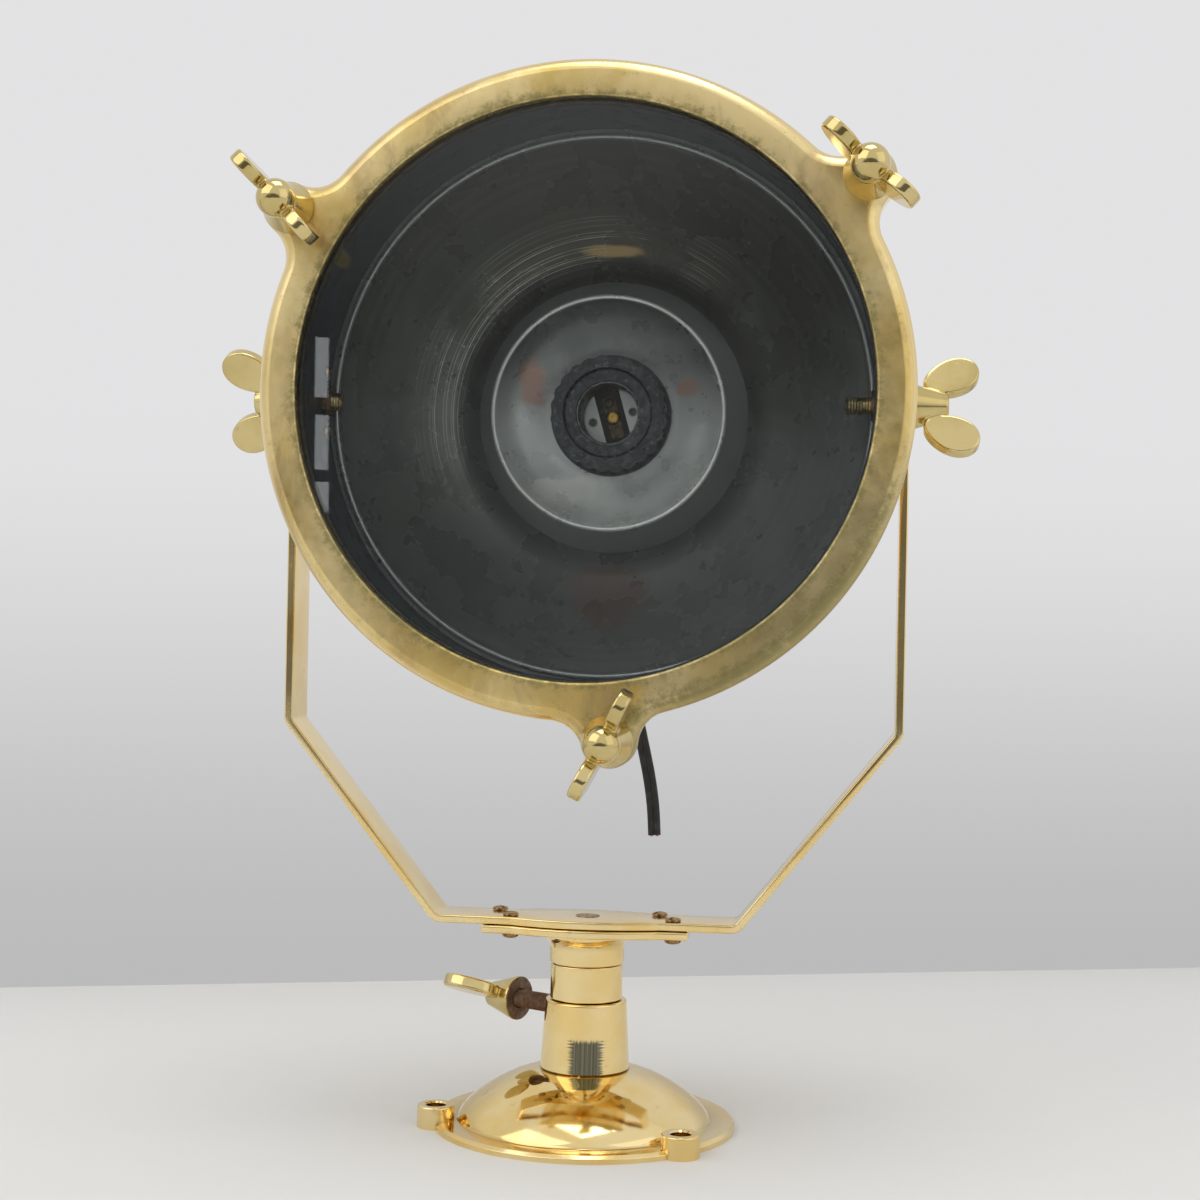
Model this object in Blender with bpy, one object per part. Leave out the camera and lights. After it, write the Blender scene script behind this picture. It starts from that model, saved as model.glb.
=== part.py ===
"""Maritime signal light: a brass searchlight head tilting in a bent strap yoke on a swivelling base.

Lengths are in metres. The origin is on the floor under the middle of the base. The lamp looks along -Y,
+X is to the right as the viewer sees it, and +Z is up.
"""

import math

import bmesh
import bpy
from mathutils import Matrix, Vector

# General fits
FIT_GAP = 0.0003
HOLE_GAP = 0.0006
CUT_OVERRUN = 0.002
MERGE_DISTANCE = 0.0000005
EDGE_ROUND = 0.0008
SHARP_ANGLE = math.radians(32)

# Driving sizes of the head
DRUM_INNER_RADIUS = 0.1210
DRUM_WALL = 0.0012
DRUM_RADIUS = DRUM_INNER_RADIUS + DRUM_WALL
HEAD_RAISE = 0.1873
TILT_HEIGHT = DRUM_RADIUS + HEAD_RAISE

# Base casting
BASE_RADIUS = 0.0649
FLANGE_THICKNESS = 0.0034
FLANGE_WIDTH = 0.0107
DOME_FOOT_RADIUS = BASE_RADIUS - FLANGE_WIDTH
DOME_TOP_HEIGHT = 0.0242
DOME_WALL = 0.0036
DOME_BASE_SHARE = 1.6
DOME_CROWN_SHARE = 0.8
DOME_STEPS = 4
HOLLOW_STEPS = 2
COLLAR_FOOT_RADIUS = 0.0192
COLLAR_TOP_RADIUS = 0.0174
COLLAR_TOP_HEIGHT = 0.0540
COLLAR_UNDERCUT = 0.0008
COLLAR_BOSS_BOTTOM = 0.0180
LUG_RADIUS = 0.0080
LUG_HEIGHT = 0.0095
LUG_INSET = 0.0013
LUG_CIRCLE_RADIUS = BASE_RADIUS - LUG_INSET
LUG_HOLE_RADIUS = 0.0044
LUG_ANGLES = (195.5, 315.5, 75.5)

# Swivel: sleeve, neck, spigot and the nut that holds it down
SLEEVE_RADIUS = 0.0155
SLEEVE_LENGTH = 0.0151
SLEEVE_TOP_HEIGHT = COLLAR_TOP_HEIGHT + FIT_GAP + SLEEVE_LENGTH
SPIGOT_RADIUS = 0.0097
SPIGOT_STUD_RADIUS = 0.0050
SPIGOT_STUD_END_HEIGHT = 0.0070
NECK_RADIUS = 0.0160
NECK_FLARE_REACH = 0.0080
NECK_FLARE_HEIGHT = 0.0062
PLATE_LENGTH = 0.0886
PLATE_WIDTH = 0.0262
PLATE_SWELL = 0.0064
PLATE_SWELL_HALF_SPAN = 0.0320
PLATE_THICKNESS = 0.0034
NECK_LENGTH = 0.0125
PLATE_BOTTOM_HEIGHT = SLEEVE_TOP_HEIGHT + FIT_GAP + NECK_LENGTH
RETAINING_WASHER_RADIUS = 0.0150
RETAINING_WASHER_THICKNESS = 0.0020
RETAINING_NUT_FLATS = 0.0160
RETAINING_NUT_THICKNESS = 0.0060

# Pan lock screw
LOCK_DROP = 0.0048
LOCK_HEIGHT = COLLAR_TOP_HEIGHT - LOCK_DROP
LOCK_ANGLE = 151.0
LOCK_WING_TURN = 112.0
LOCK_SHANK_RADIUS = 0.0040
LOCK_HUB_DISTANCE = 0.0360
LOCK_HUB_FOOT_RADIUS = 0.0096

# Yoke strap and its screws
STRAP_WIDTH = 0.0246
STRAP_SWELL = 0.0062
STRAP_THICKNESS = 0.0035
STRAP_FLOOR_REACH = 0.0212
STRAP_FLOOR_HALF_SPAN = PLATE_LENGTH / 2 + STRAP_FLOOR_REACH
STRAP_SHOULDER_HEIGHT = 0.1700
STRAP_BEND_RADIUS = 0.0035
STRAP_BEND_STEPS = 3
STRAP_TIP_ANGLE = 80.0
STRAP_TIP_STEPS = 4
PAD_STAND_OUT = 0.0068
YOKE_INNER_HALF_SPAN = DRUM_RADIUS + PAD_STAND_OUT
SCREW_END_DISTANCE = 0.0094
SCREW_HALF_SPAN = PLATE_LENGTH / 2 - SCREW_END_DISTANCE
SCREW_DEPTH_OFFSET = 0.0074
SCREW_FRONT_SHIFT = 0.0026
SCREW_REAR_SHIFT = -0.0044
SCREW_RADIUS = 0.0020
SCREW_HEAD_RADIUS = 0.0034
SCREW_HEAD_HEIGHT = 0.0015
SCREW_SLOT_WIDTH = 0.0009
SCREW_SLOT_DEPTH = 0.0007
SCREW_NUT_RADIUS = 0.0036
SCREW_NUT_HEIGHT = 0.0021
CENTRE_SCREW_RADIUS = 0.0052
CENTRE_SCREW_SHANK_RADIUS = 0.0025
CENTRE_SCREW_DEPTH = 0.0100
CENTRE_SCREW_CONE = 0.0026

# Tilt axis, pivot pads, studs and rivets
PIVOT_STUD_RADIUS = 0.0040
PIVOT_STUD_REACH = {"left": 0.0090, "right": 0.0154}
PIVOT_NUT_RADIUS = 0.0070
PIVOT_NUT_THICKNESS = 0.0036
PAD_WIDTH = 0.0180
PAD_HEIGHT = 0.0370
RIVET_OFFSET = 0.0130
RIVET_RADIUS = 0.0016
RIVET_HEAD_RADIUS = 0.0030
RIVET_HEAD_HEIGHT = 0.0017

# Drum, measured forwards from the tilt axis
DRUM_FRONT = 0.0427
SEAT_FORWARD = -0.0112
SEAT_STEP = 0.0042
DRUM_TAIL_RADIUS = 0.0340
DRUM_TAIL = -0.0804
DRUM_TAIL_FLAT_SHARE = 0.62
DRUM_DOME_SHARE = 2.3
DRUM_DOME_STEPS = 4

# Front ring on the drum, with the lugs that carry the bezel studs
FRONT_RING_BACK = 0.0350
FRONT_RING_WIDTH = 0.0090
FRONT_RING_RADIUS = DRUM_RADIUS + FRONT_RING_WIDTH
STUD_STAND_OUT = 0.0108
STUD_CIRCLE_RADIUS = FRONT_RING_RADIUS + STUD_STAND_OUT
STUD_ANGLES = {"left": 149.0, "right": 37.0, "bottom": 275.5}
STUD_RADIUS = 0.0030
STUD_FRONT = 0.0740
STUD_HEAD_RADIUS = 0.0056
STUD_HEAD_THICKNESS = 0.0032
RING_LUG_RADIUS = 0.0100
RING_LUG_FILLET = 0.0120

# Bezel, glass and gasket
BEZEL_FRONT = 0.0580
BEZEL_BACK = 0.0430
BEZEL_OVERHANG = 0.0028
BEZEL_RADIUS = FRONT_RING_RADIUS + BEZEL_OVERHANG
GLASS_OVERLAP = 0.0020
GLASS_RADIUS = DRUM_RADIUS + GLASS_OVERLAP
BEZEL_LIP_WIDTH = 0.0062
BEZEL_OPENING_RADIUS = GLASS_RADIUS - BEZEL_LIP_WIDTH
BEZEL_LIP_THICKNESS = 0.0046
BEZEL_BEVEL_WIDTH = 0.0054
BEZEL_BEVEL_DEPTH = 0.0052
BEVEL_RUN_SHARE = 0.28
BEVEL_RISE_SHARE = 0.66
BEZEL_LIP_ROUND = 0.0010
BEZEL_LUG_RADIUS = 0.0112
BEZEL_LUG_FILLET = 0.0150
GLASS_THICKNESS = 0.0040
GASKET_WIDTH = 0.0070

# Reflector
REFLECTOR_CLEARANCE = 0.0048
REFLECTOR_RADIUS = DRUM_INNER_RADIUS - REFLECTOR_CLEARANCE
REFLECTOR_RIM_FORWARD = -0.0096
REFLECTOR_HOLE_SHARE = 0.534
REFLECTOR_HOLE_RADIUS = REFLECTOR_RADIUS * REFLECTOR_HOLE_SHARE
REFLECTOR_HOLE_FORWARD = -0.0560
REFLECTOR_SHEET = 0.0010
REFLECTOR_BEAD = 0.0013
REFLECTOR_STEPS = 3
REFLECTOR_BEAD_STEPS = 3

# Lampholder and its cup
CUP_CLEARANCE = 0.0110
CUP_RIM_RADIUS = REFLECTOR_HOLE_RADIUS - CUP_CLEARANCE
CUP_RIM_FORWARD = -0.0375
CUP_FLOOR_FORWARD = -0.0520
CUP_FLOOR_RADIUS = 0.0300
CUP_SHEET = 0.0010
CUP_BEAD = 0.0011
CUP_ROUND_SHARE = 2.2
CUP_STEPS = 3
CUP_BEAD_STEPS = 2
SHADE_RING_RADIUS = 0.0275
SHADE_RING_FRONT = -0.0350
SHADE_RING_LIP = 0.0030
SHADE_RING_KNURLS = 24
SHADE_RING_KNURL_DEPTH = 0.0011
HOLDER_THREAD_RADIUS = 0.0200
HOLDER_BODY_RADIUS = 0.0240
HOLDER_FRONT = -0.0370
HOLDER_BACK = -0.0756
HOLDER_TAPER = 0.0050
SHELL_RADIUS = 0.0143
SHELL_WALL = 0.0006
SHELL_FRONT = -0.0380
SHELL_DEPTH = 0.0240
SHELL_THREADS = 2
SHELL_THREAD_DEPTH = 0.0004
PORCELAIN_THICKNESS = 0.0060
CONTACT_SLOT_WIDTH = 0.0076
CONTACT_SLOT_DEPTH = 0.0022
CONTACT_SLOT_TURN = 16.0
CONTACT_STRIP_LENGTH = 0.0200
CONTACT_STRIP_WIDTH = 0.0062
CONTACT_STRIP_THICKNESS = 0.0008
CONTACT_BUTTON_RADIUS = 0.0033
CONTACT_BUTTON_HEIGHT = 0.0016
CONTACT_SCREW_RADIUS = 0.0021
CONTACT_SCREW_HEIGHT = 0.0011
CONTACT_SCREW_PLACE = 0.0070
PORCELAIN_HOLE_RADIUS = 0.0012
PORCELAIN_HOLE_PLACE = 0.0088
BRACKET_RADIUS = 0.0300
BRACKET_THICKNESS = 0.0025
TAIL_BOLT_RADIUS = 0.0030
TAIL_BOLT_PLACE = 0.0220
TAIL_BOLT_HEAD_RADIUS = 0.0048
TAIL_BOLT_HEAD_HEIGHT = 0.0026

# Cord and its gland
GLAND_FORWARD = -0.0260
GLAND_ANGLE = 277.0
GLAND_RADIUS = 0.0062
GLAND_FLANGE_RADIUS = 0.0095
GLAND_FLANGE_THICKNESS = 0.0022
GLAND_LENGTH = 0.0080
GLAND_FLANGE_SEAT = 0.0010
CORD_DIAMETER = 0.0056
# Route of the cord from where the gland's axis meets the drum's skin, as (right, back, up)
CORD_ROUTE = (
    (-0.00036, 0.00000, 0.00286),
    (0.00097, 0.00000, -0.00794),
    (0.00314, -0.00010, -0.02044),
    (0.00599, -0.00040, -0.03294),
    (0.00874, -0.00090, -0.04544),
    (0.01069, -0.00160, -0.05794),
    (0.01164, -0.00250, -0.07054),
)
CORD_ROUNDNESS = 3

# Cast wing nuts and wing screw
WING_THICKNESS = 0.0056
WING_CENTRE_RADIUS = 0.0142
WING_CENTRE_HEIGHT = 0.0170
WING_HALF_LENGTH = 0.0124
WING_HALF_WIDTH = 0.0084
WING_LEAN = 26.0
WING_TAPER_SHARE = 0.14
WING_STEPS = 12
WING_EDGE_ROUND = 0.0007
HUB_HEIGHT = 0.0160
HUB_TOP_RADIUS = 0.0052
HUB_FOOT_RIM = 0.0014
TILT_HUB_FOOT_RADIUS = 0.0096
BEZEL_HUB_FOOT_RADIUS = 0.0106
BALL_RADIUS = 0.0078
BALL_CENTRE_HEIGHT = 0.0196
BALL_STEPS = 3
NUT_BORE_DEPTH = 0.0140
TILT_NUT_BACK_OFF = {"left": 0.0024, "right": 0.0}
TILT_NUT_TURNS = {"left": -30.0, "right": -28.0}
BEZEL_NUT_TURNS = {"left": 133.0, "right": 138.0, "bottom": 63.5}

# Facets
BIG_FACETS = 36
BASE_FACETS = 32
CUP_FACETS = 24
SMALL_FACETS = 16
NUT_FACETS = 12
TINY_FACETS = 8
KNURL_STEPS = 2
FILLET_STEPS = 2
LUG_STEPS = 5
SWELL_STEPS = 4
FLARE_SHARE = 2.0
FLARE_STEPS = 3

# Finishes: colour, metallic, roughness
FINISHES = {
    "polished_brass": ((0.83, 0.62, 0.27, 1.0), 1.0, 0.14),
    "satin_brass": ((0.62, 0.50, 0.25, 1.0), 1.0, 0.36),
    "aged_brass": ((0.42, 0.34, 0.17, 1.0), 1.0, 0.45),
    "dark_mirror": ((0.085, 0.092, 0.085, 1.0), 1.0, 0.20),
    "cup_metal": ((0.42, 0.44, 0.44, 1.0), 1.0, 0.16),
    "bakelite": ((0.012, 0.014, 0.016, 1.0), 0.0, 0.32),
    "porcelain": ((0.80, 0.82, 0.81, 1.0), 0.0, 0.22),
    "glass": ((0.90, 0.95, 0.95, 1.0), 0.0, 0.02),
    "rubber": ((0.020, 0.021, 0.022, 1.0), 0.0, 0.75),
    "rusty_steel": ((0.17, 0.10, 0.065, 1.0), 0.7, 0.60),
    "plated_steel": ((0.45, 0.43, 0.40, 1.0), 1.0, 0.34),
}


def remove_old_objects():
    for old in list(bpy.data.objects):
        bpy.data.objects.remove(old, do_unlink=True)


def finish(name):
    """One material for one piece, with the colour and gloss of the named finish."""
    colour, metallic, roughness = FINISHES[name]
    material = bpy.data.materials.new(name)
    material.use_nodes = True
    shader = material.node_tree.nodes["Principled BSDF"]
    shader.inputs["Base Color"].default_value = colour
    shader.inputs["Metallic"].default_value = metallic
    shader.inputs["Roughness"].default_value = roughness
    return material


# Frames: empties whose +Z is the axis of the pieces that they carry

def axes_matrix(origin, forward, right):
    """A frame at origin whose +Z is forward and whose +X is right."""
    forward = Vector(forward).normalized()
    right = Vector(right)
    right = (right - forward * right.dot(forward)).normalized()
    up = forward.cross(right)
    turn = Matrix((right, up, forward)).transposed().to_4x4()
    return Matrix.Translation(Vector(origin)) @ turn


def add_frame(name, world, parent=None):
    empty = bpy.data.objects.new(name, None)
    bpy.context.collection.objects.link(empty)
    empty.parent = parent
    bpy.context.view_layer.update()
    above = parent.matrix_world if parent else Matrix.Identity(4)
    empty.matrix_basis = above.inverted() @ world
    return empty


def polar(radius, degrees):
    angle = math.radians(degrees)
    return radius * math.cos(angle), radius * math.sin(angle)


# Meshes

def finished_mesh(name, bm):
    bmesh.ops.remove_doubles(bm, verts=bm.verts, dist=MERGE_DISTANCE)
    bmesh.ops.recalc_face_normals(bm, faces=bm.faces)
    mesh = bpy.data.meshes.new(name)
    bm.to_mesh(mesh)
    bm.free()
    mesh.shade_smooth()
    mesh.set_sharp_from_angle(angle=SHARP_ANGLE)
    return mesh


def turned(name, profile, facets, closed=False):
    """A solid turned about +Z from (radius, height) points; a closed profile makes a ring."""
    bm = bmesh.new()
    verts = [bm.verts.new((radius, 0, height)) for radius, height in profile]
    edges = [bm.edges.new(pair) for pair in zip(verts, verts[1:])]
    if closed:
        edges.append(bm.edges.new((verts[-1], verts[0])))
    bmesh.ops.spin(
        bm, geom=verts + edges, cent=(0, 0, 0), axis=(0, 0, 1),
        angle=math.tau, steps=facets, use_merge=True,
    )
    return finished_mesh(name, bm)


def add_prism(bm, outline, low, high):
    """Adds a straight-sided solid on an outline of (x, y) points to bm."""
    bottom = [bm.verts.new((x, y, low)) for x, y in outline]
    top = [bm.verts.new((x, y, high)) for x, y in outline]
    bm.faces.new(list(reversed(bottom)))
    bm.faces.new(top)
    count = len(outline)
    for index in range(count):
        after = (index + 1) % count
        bm.faces.new((bottom[index], bottom[after], top[after], top[index]))


def prism(name, outline, low, high):
    bm = bmesh.new()
    add_prism(bm, outline, low, high)
    return finished_mesh(name, bm)


def circle_points(radius, facets, centre=(0, 0)):
    """A many-sided outline with a flat, not a corner, on each axis."""
    points = []
    for index in range(facets):
        angle = math.tau * (index + 1 / 2) / facets
        points.append((centre[0] + radius * math.cos(angle), centre[1] + radius * math.sin(angle)))
    return points


def rods(name, places, facets):
    """Several separate round rods along +Z; each place is x, y, radius, low, high."""
    bm = bmesh.new()
    for x, y, radius, low, high in places:
        add_prism(bm, circle_points(radius, facets, (x, y)), low, high)
    return finished_mesh(name, bm)


def box_outline(width, height, centre=(0, 0)):
    x, y = centre
    return [
        (x - width / 2, y - height / 2), (x + width / 2, y - height / 2),
        (x + width / 2, y + height / 2), (x - width / 2, y + height / 2),
    ]


def arc(centre, radius, start, end, steps):
    """Points on an arc from start to end degrees, both ends included."""
    points = []
    for index in range(steps + 1):
        angle = math.radians(start + (end - start) * index / steps)
        points.append((centre[0] + radius * math.cos(angle), centre[1] + radius * math.sin(angle)))
    return points


# Objects

def add_piece(name, mesh, finish_name, frame=None, turn=0.0):
    """A named piece in a frame, turned about the frame's +Z by some degrees."""
    piece = bpy.data.objects.new(name, mesh)
    bpy.context.collection.objects.link(piece)
    if not mesh.materials:
        mesh.materials.append(finish(finish_name))
    piece.parent = frame
    piece.matrix_basis = Matrix.Rotation(math.radians(turn), 4, "Z")
    return piece


def add_guide(name, mesh, frame=None, local=None):
    """A hidden solid that only cuts or joins another one."""
    guide = bpy.data.objects.new(name, mesh)
    bpy.context.collection.objects.link(guide)
    guide.parent = frame
    guide.matrix_basis = local or Matrix.Identity(4)
    guide.hide_render = True
    guide.display_type = "WIRE"
    return guide


def combine(piece, guide, operation):
    modifier = piece.modifiers.new(guide.name, "BOOLEAN")
    modifier.operation = operation
    modifier.solver = "EXACT"
    modifier.object = guide


# Outlines

def lug_ring_outline(ring_radius, lug_circle, lug_radius, fillet, angles, facets):
    """A circle with round lugs on it, each blended into the ring by two fillet arcs.

    Returns points and outward normals, anticlockwise, with the ring stretches split evenly.
    """
    reach = ring_radius + fillet
    side = lug_radius + fillet
    cosine = (reach ** 2 + lug_circle ** 2 - side ** 2) / (2 * reach * lug_circle)
    spread = math.acos(cosine)
    stations = []
    ordered = sorted(math.radians(angle) for angle in angles)
    for index, middle in enumerate(ordered):
        following = ordered[(index + 1) % len(ordered)]
        if following <= middle:
            following += math.tau
        lug = Vector((lug_circle * math.cos(middle), lug_circle * math.sin(middle)))
        before = Vector((reach * math.cos(middle - spread), reach * math.sin(middle - spread)))
        after = Vector((reach * math.cos(middle + spread), reach * math.sin(middle + spread)))
        stations += fillet_stations(before, fillet, -before, lug - before)
        stations += lug_stations(lug, lug_radius, before - lug, after - lug)
        stations += fillet_stations(after, fillet, lug - after, -after)
        start = middle + spread
        end = following - spread
        steps = max(2, round((end - start) / math.tau * facets))
        for step in range(1, steps):
            angle = start + (end - start) * step / steps
            normal = Vector((math.cos(angle), math.sin(angle)))
            stations.append((normal * ring_radius, normal))
    return stations


def fillet_stations(centre, radius, start, end):
    """Points on a hollow fillet round centre, with normals towards that centre."""
    first = math.atan2(start.y, start.x)
    turn = (math.atan2(end.y, end.x) - first + math.pi) % math.tau - math.pi
    found = []
    for step in range(FILLET_STEPS + 1):
        angle = first + turn * step / FILLET_STEPS
        direction = Vector((math.cos(angle), math.sin(angle)))
        found.append((centre + direction * radius, -direction))
    return found


def lug_stations(centre, radius, start, end):
    """Points round the outer side of a lug, from its first fillet to its second."""
    first = math.atan2(start.y, start.x)
    turn = (math.atan2(end.y, end.x) - first) % math.tau
    found = []
    for step in range(1, LUG_STEPS):
        angle = first + turn * step / LUG_STEPS
        direction = Vector((math.cos(angle), math.sin(angle)))
        found.append((centre + direction * radius, direction))
    return found


def lofted_ring(name, stations, outer_offsets, inner_profile):
    """A ring swept round an outline.

    outer_offsets are (inset, height) pairs from the outline, and inner_profile are (radius, height)
    pairs on circles; together they run once round the section.
    """
    bm = bmesh.new()
    loops = []
    for point, normal in stations:
        loop = []
        for inset, height in outer_offsets:
            at = point - normal * inset
            loop.append(bm.verts.new((at.x, at.y, height)))
        direction = point.normalized()
        for radius, height in inner_profile:
            loop.append(bm.verts.new((direction.x * radius, direction.y * radius, height)))
        loops.append(loop)
    section = len(loops[0])
    for index, loop in enumerate(loops):
        following = loops[(index + 1) % len(loops)]
        for place in range(section):
            after = (place + 1) % section
            bm.faces.new((loop[place], following[place], following[after], loop[after]))
    return finished_mesh(name, bm)


# Base

def dome_height(radius, foot_radius, crown_radius, foot_height, crown_height):
    share = (radius - crown_radius) / (foot_radius - crown_radius)
    rise = (1 - min(1, max(0, share)) ** DOME_BASE_SHARE) ** DOME_CROWN_SHARE
    return foot_height + (crown_height - foot_height) * rise


def dome_profile(foot_radius, crown_radius, foot_height, crown_height, steps):
    """Points from the foot of the dome up to its crown."""
    points = []
    for step in range(steps + 1):
        share = math.cos(math.pi / 2 * step / steps)
        radius = crown_radius + (foot_radius - crown_radius) * share
        height = dome_height(radius, foot_radius, crown_radius, foot_height, crown_height)
        points.append((radius, height))
    return points


def make_base():
    bore = SPIGOT_RADIUS + FIT_GAP
    boss_radius = COLLAR_TOP_RADIUS
    crown = COLLAR_FOOT_RADIUS - COLLAR_UNDERCUT
    outside = [
        (BASE_RADIUS, 0),
        (BASE_RADIUS, FLANGE_THICKNESS - EDGE_ROUND),
        (BASE_RADIUS - EDGE_ROUND, FLANGE_THICKNESS),
        (DOME_FOOT_RADIUS + EDGE_ROUND, FLANGE_THICKNESS),
    ]
    foot = FLANGE_THICKNESS + EDGE_ROUND
    outside += dome_profile(DOME_FOOT_RADIUS, crown, foot, DOME_TOP_HEIGHT, DOME_STEPS)
    outside += [
        (COLLAR_FOOT_RADIUS, DOME_TOP_HEIGHT + COLLAR_UNDERCUT),
        (COLLAR_TOP_RADIUS, COLLAR_TOP_HEIGHT - EDGE_ROUND),
        (COLLAR_TOP_RADIUS - EDGE_ROUND, COLLAR_TOP_HEIGHT),
    ]
    ceiling = DOME_TOP_HEIGHT - DOME_WALL
    inside = dome_profile(DOME_FOOT_RADIUS - DOME_WALL, boss_radius, 0, ceiling, HOLLOW_STEPS)
    inside.reverse()
    profile = outside + [
        (bore, COLLAR_TOP_HEIGHT),
        (bore, COLLAR_BOSS_BOTTOM),
        (boss_radius, COLLAR_BOSS_BOTTOM),
    ] + inside
    base = add_piece("base_casting", turned("base_casting", profile, BASE_FACETS, True), "polished_brass")

    lugs = []
    holes = []
    for angle in LUG_ANGLES:
        x, y = polar(LUG_CIRCLE_RADIUS, angle)
        lugs.append((x, y, LUG_RADIUS, 0, LUG_HEIGHT))
        holes.append((x, y, LUG_HOLE_RADIUS, -CUT_OVERRUN, LUG_HEIGHT + CUT_OVERRUN))
    combine(base, add_guide("base_lugs", rods("base_lugs", lugs, NUT_FACETS)), "UNION")
    combine(base, add_guide("base_lug_holes", rods("base_lug_holes", holes, NUT_FACETS)), "DIFFERENCE")

    lock_hole = [(0, 0, LOCK_SHANK_RADIUS + HOLE_GAP, 0, COLLAR_FOOT_RADIUS + CUT_OVERRUN)]
    guide = add_guide("lock_hole", rods("lock_hole", lock_hole, NUT_FACETS), None, lock_matrix())
    combine(base, guide, "DIFFERENCE")

    sleeve_low = COLLAR_TOP_HEIGHT + FIT_GAP
    sleeve = [
        (bore, sleeve_low),
        (SLEEVE_RADIUS, sleeve_low),
        (SLEEVE_RADIUS, SLEEVE_TOP_HEIGHT),
        (bore, SLEEVE_TOP_HEIGHT),
    ]
    add_piece("swivel_sleeve", turned("swivel_sleeve", sleeve, CUP_FACETS, True), "polished_brass")


def lock_matrix():
    """The lock screw's axis: +Z points outwards from the stem."""
    direction = Vector((*polar(1, LOCK_ANGLE), 0))
    return axes_matrix((0, 0, LOCK_HEIGHT), direction, (0, 0, 1))


def make_lock_screw():
    world = lock_matrix()
    frame = add_frame("pan_lock_axis", world)
    shank_start = SPIGOT_RADIUS + FIT_GAP
    shank_end = LOCK_HUB_DISTANCE + NUT_BORE_DEPTH - FIT_GAP
    shank = [
        (0, shank_start),
        (LOCK_SHANK_RADIUS - EDGE_ROUND, shank_start),
        (LOCK_SHANK_RADIUS, shank_start + EDGE_ROUND),
        (LOCK_SHANK_RADIUS, shank_end),
        (0, shank_end),
    ]
    add_piece("pan_lock_shank", turned("pan_lock_shank", shank, NUT_FACETS), "rusty_steel", frame)
    seat = add_frame("pan_lock_wing_seat", world @ Matrix.Translation((0, 0, LOCK_HUB_DISTANCE)), frame)
    add_wing_nut("pan_lock_wing", seat, LOCK_HUB_FOOT_RADIUS, LOCK_SHANK_RADIUS, LOCK_WING_TURN)


# Wing nuts: a turned hub and two leaning oval lobes

def lobe_outline(side):
    """An egg shape in the plane of the nut's axis, leaning outwards, narrower at its foot."""
    lean = math.radians(WING_LEAN)
    points = []
    for step in range(WING_STEPS):
        angle = math.tau * step / WING_STEPS
        along = WING_HALF_LENGTH * math.cos(angle)
        taper = 1 + WING_TAPER_SHARE * math.cos(angle)
        across = WING_HALF_WIDTH * math.sin(angle) * taper
        out = WING_CENTRE_RADIUS + along * math.sin(lean) + across * math.cos(lean)
        up = WING_CENTRE_HEIGHT + along * math.cos(lean) - across * math.sin(lean)
        points.append((side * out, up))
    return points


def wing_lobes(name):
    """Both lobes as flat plates through the axis, standing along +Z."""
    bm = bmesh.new()
    for side in (-1, 1):
        outline = lobe_outline(side)
        round_start = WING_THICKNESS / 2 - WING_EDGE_ROUND
        rings = []
        for depth, inset in (
            (-WING_THICKNESS / 2, WING_EDGE_ROUND), (-round_start, 0),
            (round_start, 0), (WING_THICKNESS / 2, WING_EDGE_ROUND),
        ):
            rings.append([bm.verts.new((*at, depth)) for at in inset_points(outline, inset)])
        count = len(outline)
        for lower, upper in zip(rings, rings[1:]):
            for index in range(count):
                after = (index + 1) % count
                bm.faces.new((lower[index], lower[after], upper[after], upper[index]))
        bm.faces.new(rings[0])
        bm.faces.new(rings[-1])
    bmesh.ops.rotate(bm, verts=bm.verts, cent=(0, 0, 0), matrix=Matrix.Rotation(math.pi / 2, 3, "X"))
    return finished_mesh(name, bm)


def inset_points(outline, inset):
    """The outline drawn in towards its middle by a small inset."""
    centre = sum((Vector(at) for at in outline), Vector((0, 0))) / len(outline)
    found = []
    for at in outline:
        arm = Vector(at) - centre
        found.append(tuple(centre + arm * (1 - inset / arm.length)))
    return found


def hub_profile(foot_radius, bore_radius, ball):
    bore = bore_radius + FIT_GAP
    points = [
        (bore, 0),
        (foot_radius - EDGE_ROUND, 0),
        (foot_radius, EDGE_ROUND),
        (foot_radius, HUB_FOOT_RIM),
    ]
    if ball:
        neck = math.degrees(math.acos(HUB_TOP_RADIUS / BALL_RADIUS))
        points += [(HUB_TOP_RADIUS + HUB_FOOT_RIM, BALL_CENTRE_HEIGHT - BALL_RADIUS)]
        points += arc((0, BALL_CENTRE_HEIGHT), BALL_RADIUS, -neck, 90, BALL_STEPS)
        points[-1] = (0, BALL_CENTRE_HEIGHT + BALL_RADIUS)
    else:
        points += [
            (HUB_TOP_RADIUS, HUB_HEIGHT - EDGE_ROUND / 2),
            (HUB_TOP_RADIUS - EDGE_ROUND / 2, HUB_HEIGHT),
            (0, HUB_HEIGHT),
        ]
    return points, bore


def add_wing_nut(name, frame, foot_radius, bore_radius, turn, ball=False):
    """A cast wing nut standing on its frame's XY plane, its lobes turned about +Z."""
    points, bore = hub_profile(foot_radius, bore_radius, ball)
    depth = NUT_BORE_DEPTH + (BALL_CENTRE_HEIGHT - HUB_HEIGHT if ball else 0)
    hub = turned(name, [(0, depth), (bore, depth)] + points, NUT_FACETS)
    nut = add_piece(name, hub, "polished_brass", frame, turn)
    lobes = add_guide(name + "_lobes", wing_lobes(name + "_lobes"), frame, nut.matrix_basis.copy())
    combine(nut, lobes, "UNION")


# Yoke

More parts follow.
